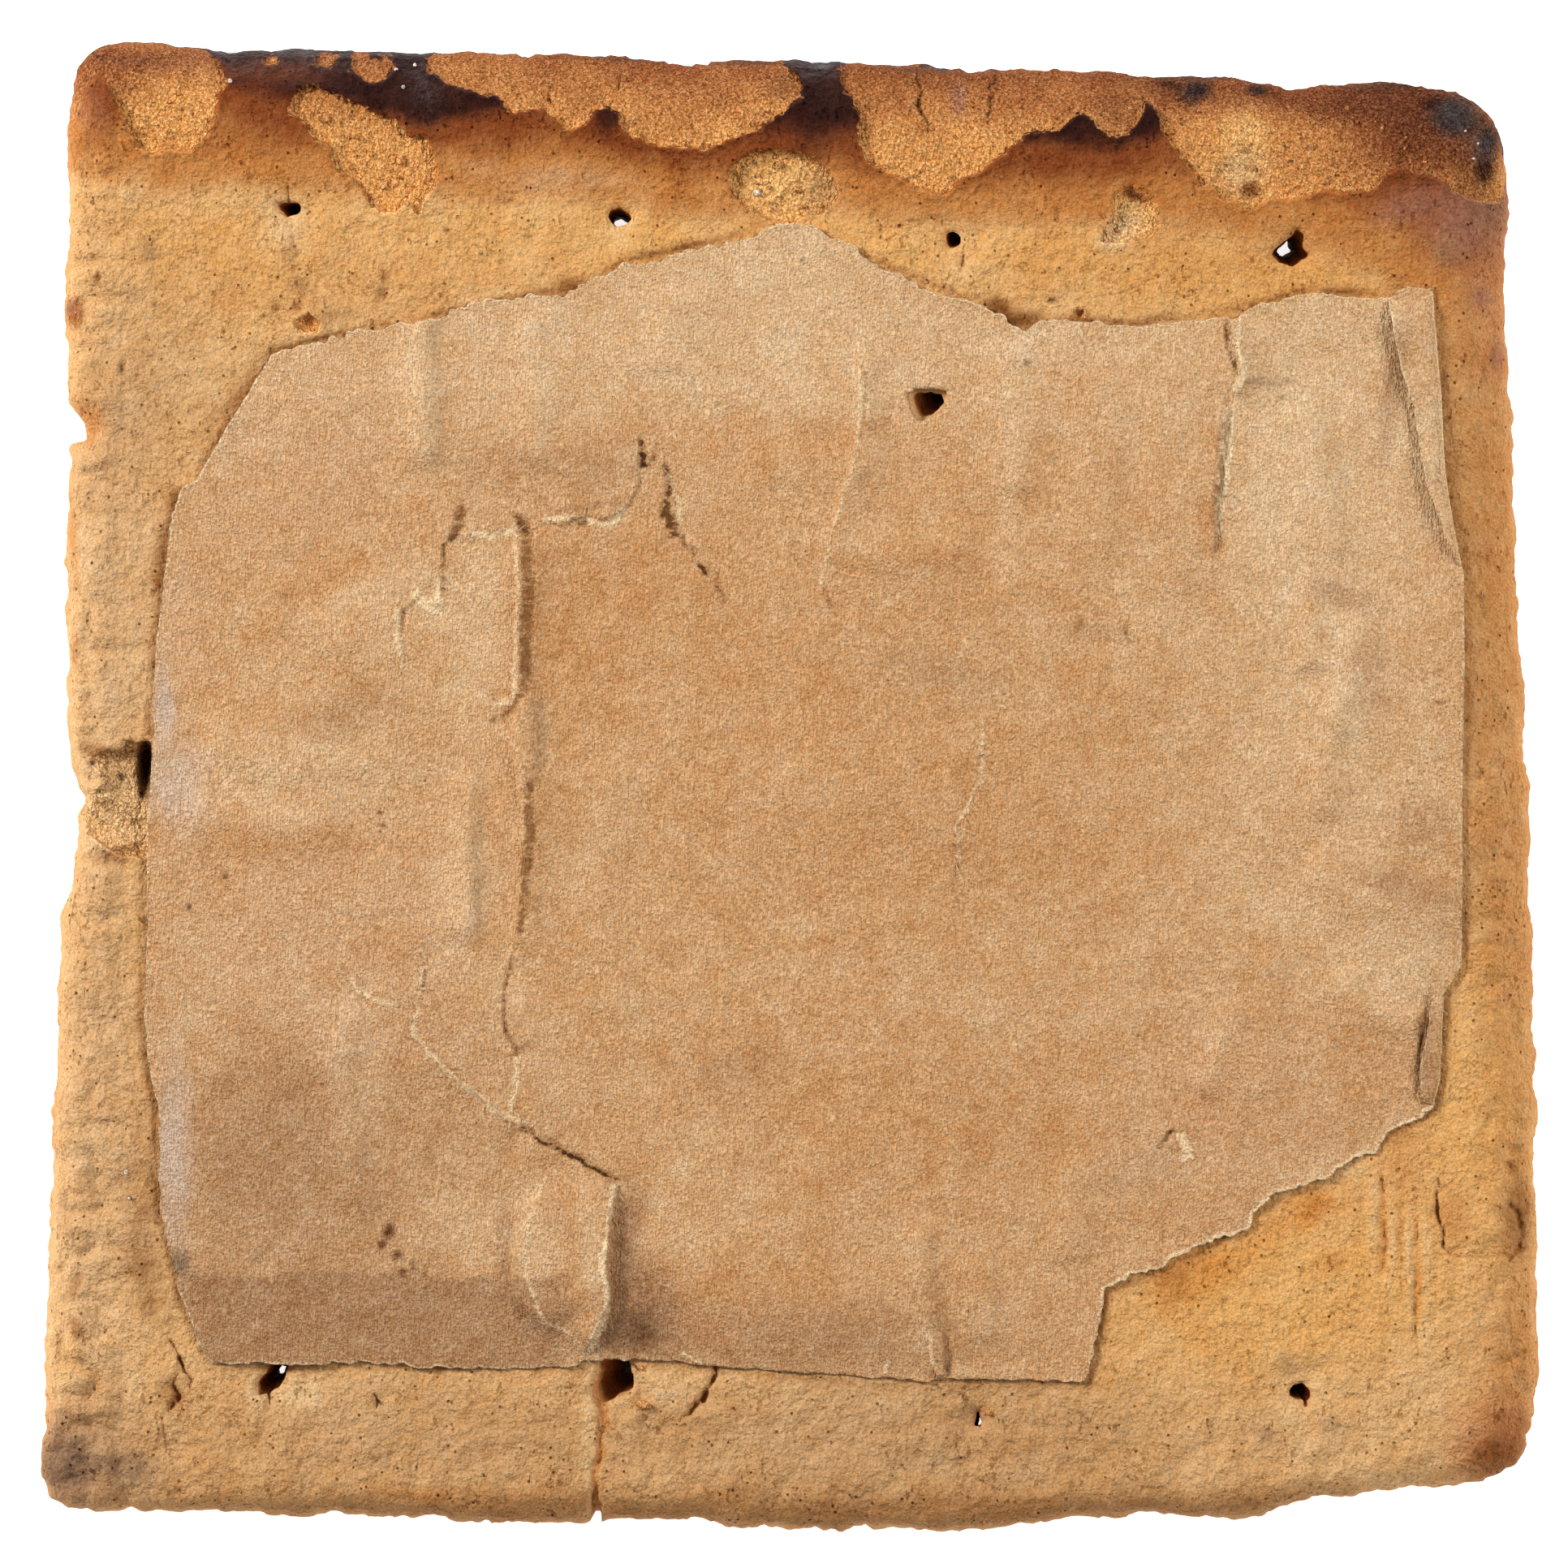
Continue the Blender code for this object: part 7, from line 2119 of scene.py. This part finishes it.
def crust_material(settings):
    """Baked skin with pores and flecks, grainy crumb where it broke off, and char, with painted
    shade in cracks and holes and painted highlights along the flaked edges.
    """
    nodes = Nodes("baked_crust")
    product, total, swing, spread = nodes.product, nodes.total, nodes.swing, nodes.spread
    fine = nodes.noise(0.15, 1.0, 0.5)
    middle = nodes.noise(0.4, 3.0, 0.62)
    broad = nodes.noise(2.2, 4.0, 0.65)
    pebbly = nodes.noise(0.9, 3.0, 0.6)
    streaks = nodes.noise(0.5, 3.0, 0.62, nodes.turned(0.04, (1.0, 0.4, 1.0)))
    grains = nodes.noise(0.3, 2.5, 0.6, nodes.turned(0.08, (1.0, 0.55, 1.0)))
    patchy = nodes.noise(1.6, 3.0, 0.6)
    edge = nodes.attribute("bare")
    bare = nodes.cut_off(edge, middle, 1.3, 0.08)
    skinned = nodes.less(1.0, bare)

    flecks = product(spread(streaks, 0.61, 0.67), spread(patchy, 0.42, 0.62, 0.06, 0.36))
    stained = product(spread(nodes.noise(0.4, 4.0, 0.7), 0.54, 0.62),
                      spread(nodes.noise(3.4, 3.0), 0.46, 0.62, 0.0, 0.34))
    pores = product(nodes.dots(0.7, 0.1, 0.15), swing(patchy, 0.0, 0.6, 0.05))
    spots = total(flecks, stained, pores)
    tone = total(swing(broad, 1.12, 0.9), swing(middle, 0.08, -0.08, 0.16),
                 swing(streaks, 0.06, -0.06, 0.16), product(spots, 1.1))
    skin = nodes.deepened(nodes.attribute("tint", "Color"), tone)
    scuffs = product(spread(middle, 0.36, 0.3),
                     spread(nodes.noise(2.6, 3.0), 0.44, 0.6, 0.02, 0.24))
    # The lip is a painted highlight on the skin along the flaked edges.
    lip = product(spread(edge, 0.26, 0.42, 0.0, 0.5), skinned)
    light = nodes.less(total(swing(fine, 0.78, 1.14), scuffs, lip), product(spots, 0.7))
    skin = nodes.scaled(skin, light)

    tone = total(swing(grains, 1.14, 0.9, 0.16), swing(fine, 0.22, -0.16))
    crumb = nodes.deepened(nodes.attribute("crumb", "Color"), tone)
    pits = product(spread(nodes.noise(0.34, 2.0, 0.6), 0.62, 0.68),
                   swing(nodes.noise(1.1), 0.1, 0.5, 0.1))
    # The rim is a painted highlight on the crumb just inside the flaked edges.
    rim = spread(edge, 0.86, 0.54, 0.0, 0.16)
    crumb = nodes.scaled(crumb, nodes.less(total(swing(fine, 0.78, 1.44), rim), pits))

    colour = nodes.mix(bare, skin, crumb)
    # The dirt mark lays painted shade into cracks and hole walls, from amber through umber to soot
    # as they darken.
    dirt = nodes.cut_off(nodes.attribute("dirt"), middle, 0.5, 0.14)
    dark = nodes.attribute("dark")
    gap = nodes.mix(spread(dark, 0.2, 0.45), tuple(settings.amber), tuple(settings.umber))
    gap = nodes.mix(spread(dark, 0.45, 0.95), gap, tuple(settings.soot))
    gap = nodes.scaled(gap, swing(fine, 0.75, 1.25))
    colour = nodes.mix(product(dirt, spread(dark, 0.0, 0.5, 0.6, 1.0)), colour, gap)

    scorch = product(nodes.attribute("scorch"), skinned)
    rough = total(spread(scorch, 0.3, 1.0, 0.74, 0.55), product(bare, 0.2),
                  swing(middle, -0.08, 0.08))
    skin_relief = total(product(middle, 0.7), product(pebbly, 1.4), product(streaks, 0.6),
                        product(total(pores, flecks), -0.8))
    crumb_relief = total(product(grains, 3.6), product(fine, 0.6), product(pits, -1.5))
    normal = nodes.bumped(nodes.blended(bare, skin_relief, crumb_relief), 0.3)
    gloss = product(nodes.attribute("shine"), swing(middle, 0.1, 0.5, 0.1))
    return nodes.finish(colour, rough, normal, gloss)


def paper_material(settings):
    """Worn kraft paper: crossing fibres, mottling, dark specks, pale torn edges and painted shade
    in the gaps.
    """
    nodes = Nodes("kraft_label")
    product, total, swing, spread = nodes.product, nodes.total, nodes.swing, nodes.spread
    strands = []
    for angle, width in STRANDS:
        strands.append(nodes.noise(width, 1.0, 0.5, nodes.turned(angle, (1.0, 0.18, 1.0))))
    pale_fibres = nodes.maths("MAXIMUM", nodes.maths("MAXIMUM", *strands[:2]), strands[2])
    dark_fibres = nodes.maths("MAXIMUM", *strands[3:])
    fine = nodes.noise(0.15, 1.0, 0.5)
    mottle = nodes.noise(0.3, 3.0, 0.62)
    broad = nodes.noise(1.8, 4.0, 0.62)
    tone = total(swing(mottle, 1.12, 0.88, 0.16), swing(broad, 0.13, -0.13),
                 spread(nodes.noise(0.7, 4.0, 0.65), 0.5, 0.64, 0.0, 0.14))
    colour = nodes.deepened(nodes.attribute("tint", "Color"), tone)
    specks = product(nodes.dots(1.2, 0.05, 0.09),
                     spread(nodes.noise(3.0), 0.52, 0.58, 0.0, 0.45))
    light = total(swing(fine, 0.84, 1.28), spread(pale_fibres, 0.6, 0.72, 0.0, 0.14),
                  spread(dark_fibres, 0.6, 0.72, 0.0, -0.16))
    colour = nodes.scaled(colour, nodes.less(light, specks))
    torn = nodes.cut_off(nodes.attribute("bare"), mottle, 0.7, 0.2)
    fringe = nodes.scaled(tuple(settings.fringe), swing(fine, 0.85, 1.25))
    colour = nodes.mix(product(torn, 0.8), colour, fringe)
    # The dirt mark lays painted shade into the gaps, with a soot core where they are darkest.
    dirt = nodes.attribute("dirt")
    dark = nodes.attribute("dark")
    fray = nodes.noise(0.42, 3.0, 0.65, nodes.turned(0.2, (0.7, 1.0, 1.0)))
    shade = nodes.cut_off(product(dirt, 0.85), fray, 1.1, 0.24)
    shade = product(shade, spread(dark, 0.0, 0.7, 0.3, 0.95))
    shade = product(shade, spread(fray, 0.4, 0.56, 0.45, 1.0))
    colour = nodes.mix(shade, colour, tuple(settings.gap))
    core = nodes.cut_off(product(dirt, 0.62), fray, 0.9, 0.07)
    core = product(core, spread(dark, 0.4, 0.9, 0.0, 0.85))
    colour = nodes.mix(core, colour, tuple(settings.soot))
    relief = total(mottle, product(fine, 0.5), spread(pale_fibres, 0.55, 0.75, 0.0, 0.5),
                   product(torn, 0.3))
    return nodes.finish(colour, swing(mottle, 0.8, 0.92), nodes.bumped(relief, 0.2))


def floor_material(settings):
    """A matt white sweep, lit a little from within so that it stays even."""
    nodes = Nodes("white_floor")
    grain = nodes.spread(nodes.noise(2.0), 0.0, 1.0, 0.99, 1.0)
    shader = nodes.add("ShaderNodeBsdfPrincipled", {
        "Base Color": nodes.scaled(tuple(settings.floor), grain), "Roughness": 0.9,
        "Specular IOR Level": 0.1, "Emission Color": WHITE, "Emission Strength": FLOOR_GLOW})
    nodes.add("ShaderNodeOutputMaterial", {"Surface": shader.outputs[0]})
    return nodes.material


def placed(name, mesh, material, slot, *nodes):
    """Makes a piece of the mesh, gives it its finish and fixes it to the body."""
    mesh.materials.append(material)
    piece = bpy.data.objects.new(name, mesh)
    bpy.context.scene.collection.objects.link(piece)
    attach(piece, BODY)
    if nodes:
        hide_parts(*nodes)
    return piece


def label_piece(name, shell, settings, *nodes):
    """A piece of the label from its shell, painted and placed."""
    mesh, points = shell.mesh(name)
    put_paint(mesh, "tint", label_colours(points[:, :2], palette_of(settings)))
    # The dirt and dark marks carry the painted shade in the gaps.
    put_marks(mesh, bare=shell.marked("bare"), dirt=shell.marked("crack"),
              dark=shell.marked("dark"))
    material = bpy.data.materials.get("kraft_label") or paper_material(settings)
    return placed(name, mesh, material, "label_paper", *nodes)


class HARDTACK_OT_biscuit(bpy.types.Operator):
    """Build the biscuit with its scorched, flaked crust and docking holes"""

    bl_idname = "hardtack.biscuit"
    bl_label = "Biscuit"
    bl_options = {"REGISTER", "UNDO"}

    def execute(self, context):
        settings = context.scene.hardtack_crust
        shell = build_biscuit_shell(settings.spacing / MM, settings.grain / MM)
        mesh, points = shell.mesh("biscuit_crust")
        skin, crumb, scorch, shine, bare = crust_finish(points, shell, palette_of(settings))
        put_paint(mesh, "tint", skin)
        put_paint(mesh, "crumb", crumb)
        # The dirt and dark marks carry the painted shade in cracks and on hole walls.
        put_marks(mesh, bare=bare, scorch=scorch, shine=shine, dirt=shell.marked("crack"),
                  dark=shell.marked("dark"))
        placed("biscuit_crust", mesh, crust_material(settings), "crust", "biscuit")
        return {"FINISHED"}


class HARDTACK_OT_label(bpy.types.Operator):
    """Build the torn, creased paper label glued to the biscuit"""

    bl_idname = "hardtack.label"
    bl_label = "Paper label"
    bl_options = {"REGISTER", "UNDO"}

    def execute(self, context):
        settings = context.scene.hardtack_paper
        shell = build_label_shell(settings.spacing / MM, settings.thickness / MM)
        label_piece("label_sheet", shell, settings, "paper_label")
        return {"FINISHED"}


class HARDTACK_OT_folds(bpy.types.Operator):
    """Build the narrow folds that stand up from the label"""

    bl_idname = "hardtack.folds"
    bl_label = "Label folds"
    bl_options = {"REGISTER", "UNDO"}

    def execute(self, context):
        settings = context.scene.hardtack_paper
        for name, (free, held), rise in FOLDS:
            shell = build_fold_shell(free, held, rise, settings.thickness / MM)
            label_piece(name, shell, settings)
        return {"FINISHED"}


class HARDTACK_OT_fibres(bpy.types.Operator):
    """Build the loose fibres along the label's torn edges"""

    bl_idname = "hardtack.fibres"
    bl_label = "Torn fibres"
    bl_options = {"REGISTER", "UNDO"}

    def execute(self, context):
        settings = context.scene.hardtack_paper
        label_piece("torn_fibres", build_fibre_shell(settings.thickness / MM), settings)
        return {"FINISHED"}


class HARDTACK_OT_crumbs(bpy.types.Operator):
    """Build the crumbs that lie in the hollows and on the flaked crust"""

    bl_idname = "hardtack.crumbs"
    bl_label = "Crumbs"
    bl_options = {"REGISTER", "UNDO"}

    def execute(self, context):
        settings = context.scene.hardtack_crust
        shell = build_crumb_shell(settings.grain / MM)
        mesh, points = shell.mesh("crumbs")
        palette = palette_of(settings)
        paleness = shell.marked("bare")
        paint = crumb_colours(points[:, :2], palette)
        paint = between(CRUMB_PALE_SHARE * paleness ** 2, paint, palette["pale"])
        paint[paleness > FLECK_PALENESS] = palette["fleck"]
        put_paint(mesh, "crumb", paint)
        put_marks(mesh, bare=np.ones(len(points)))
        placed("crumbs", mesh, bpy.data.materials["baked_crust"], "crust")
        return {"FINISHED"}


def add_lamp(name, place, size, power):
    """A square soft lamp aimed at the middle of the biscuit."""
    lamp = bpy.data.lights.new(name, "AREA")
    lamp.shape = "SQUARE"
    lamp.size = size
    lamp.energy = power
    made = bpy.data.objects.new(name, lamp)
    made.location = place
    made.rotation_euler = (-Vector(place)).to_track_quat("-Z", "Y").to_euler()
    bpy.context.scene.collection.objects.link(made)


def add_floor(settings):
    """The pale floor, which lies just under the biscuit."""
    mesh = bpy.data.meshes.new("floor")
    corners = [(-FLOOR_HALF, -FLOOR_HALF), (FLOOR_HALF, -FLOOR_HALF),
               (FLOOR_HALF, FLOOR_HALF), (-FLOOR_HALF, FLOOR_HALF)]
    mesh.from_pydata([(x, y, -FLOOR_DROP * MM) for x, y in corners], [], [(0, 1, 2, 3)])
    mesh.materials.append(floor_material(settings))
    floor = bpy.data.objects.new("floor", mesh)
    bpy.context.scene.collection.objects.link(floor)


def add_camera(settings):
    """The copy-stand camera, looking straight down at the middle of the picture."""
    lens = bpy.data.cameras.new("copy_stand")
    lens.lens = settings.lens
    lens.sensor_width = SENSOR_WIDTH
    lens.clip_start = CLIP_START
    lens.clip_end = CLIP_END
    camera = bpy.data.objects.new("copy_stand", lens)
    middle = (np.array(PICTURE_MIDDLE) - SHIFT) * MM
    reach = settings.field * settings.lens / lens.sensor_width
    camera.location = (*middle, FOCUS_HEIGHT * MM + reach)
    bpy.context.scene.collection.objects.link(camera)
    bpy.context.scene.camera = camera


class HARDTACK_OT_stage(bpy.types.Operator):
    """Set up the pale floor, the soft lamps and the copy-stand camera"""

    bl_idname = "hardtack.stage"
    bl_label = "Stage"
    bl_options = {"REGISTER", "UNDO"}

    def execute(self, context):
        settings = context.scene.hardtack_studio
        add_floor(settings)
        for name, place, size, power in LAMPS:
            add_lamp(name, place, size, power * settings.light)
        world = bpy.data.worlds.new("studio")
        world.use_nodes = True
        background = world.node_tree.nodes["Background"]
        background.inputs["Color"].default_value = WHITE
        background.inputs["Strength"].default_value = SKY_STRENGTH
        context.scene.world = world
        context.scene.view_settings.view_transform = "Standard"
        add_camera(settings)
        return {"FINISHED"}


class HARDTACK_PT_sidebar(bpy.types.Panel):
    """Lists the pieces and their settings"""

    bl_label = "Hardtack"
    bl_idname = "HARDTACK_PT_sidebar"
    bl_space_type = "VIEW_3D"
    bl_region_type = "UI"
    bl_category = "Hardtack"

    def draw(self, context):
        column = self.layout.column(align=True)
        for operator in OPERATORS:
            column.operator(operator.bl_idname)
        for name in SETTINGS:
            settings = getattr(context.scene, name)
            for key in type(settings).__annotations__:
                self.layout.prop(settings, key)


SETTINGS = {
    "hardtack_crust": CrustSettings,
    "hardtack_paper": PaperSettings,
    "hardtack_studio": StudioSettings,
}
OPERATORS = (
    HARDTACK_OT_stage,
    HARDTACK_OT_biscuit,
    HARDTACK_OT_label,
    HARDTACK_OT_folds,
    HARDTACK_OT_fibres,
    HARDTACK_OT_crumbs,
)


def register():
    """Makes the settings, the operators and the panel known to Blender."""
    for made in (*SETTINGS.values(), *OPERATORS, HARDTACK_PT_sidebar):
        bpy.utils.register_class(made)
    for name, kind in SETTINGS.items():
        setattr(bpy.types.Scene, name, bpy.props.PointerProperty(type=kind))


def unregister():
    """Takes them away again."""
    for name in SETTINGS:
        delattr(bpy.types.Scene, name)
    for made in reversed((*SETTINGS.values(), *OPERATORS, HARDTACK_PT_sidebar)):
        bpy.utils.unregister_class(made)


def main():
    """Builds every piece and the stage."""
    register()
    for operator in OPERATORS:
        group, name = operator.bl_idname.split(".")
        getattr(getattr(bpy.ops, group), name)()


if __name__ == "__main__":
    main()
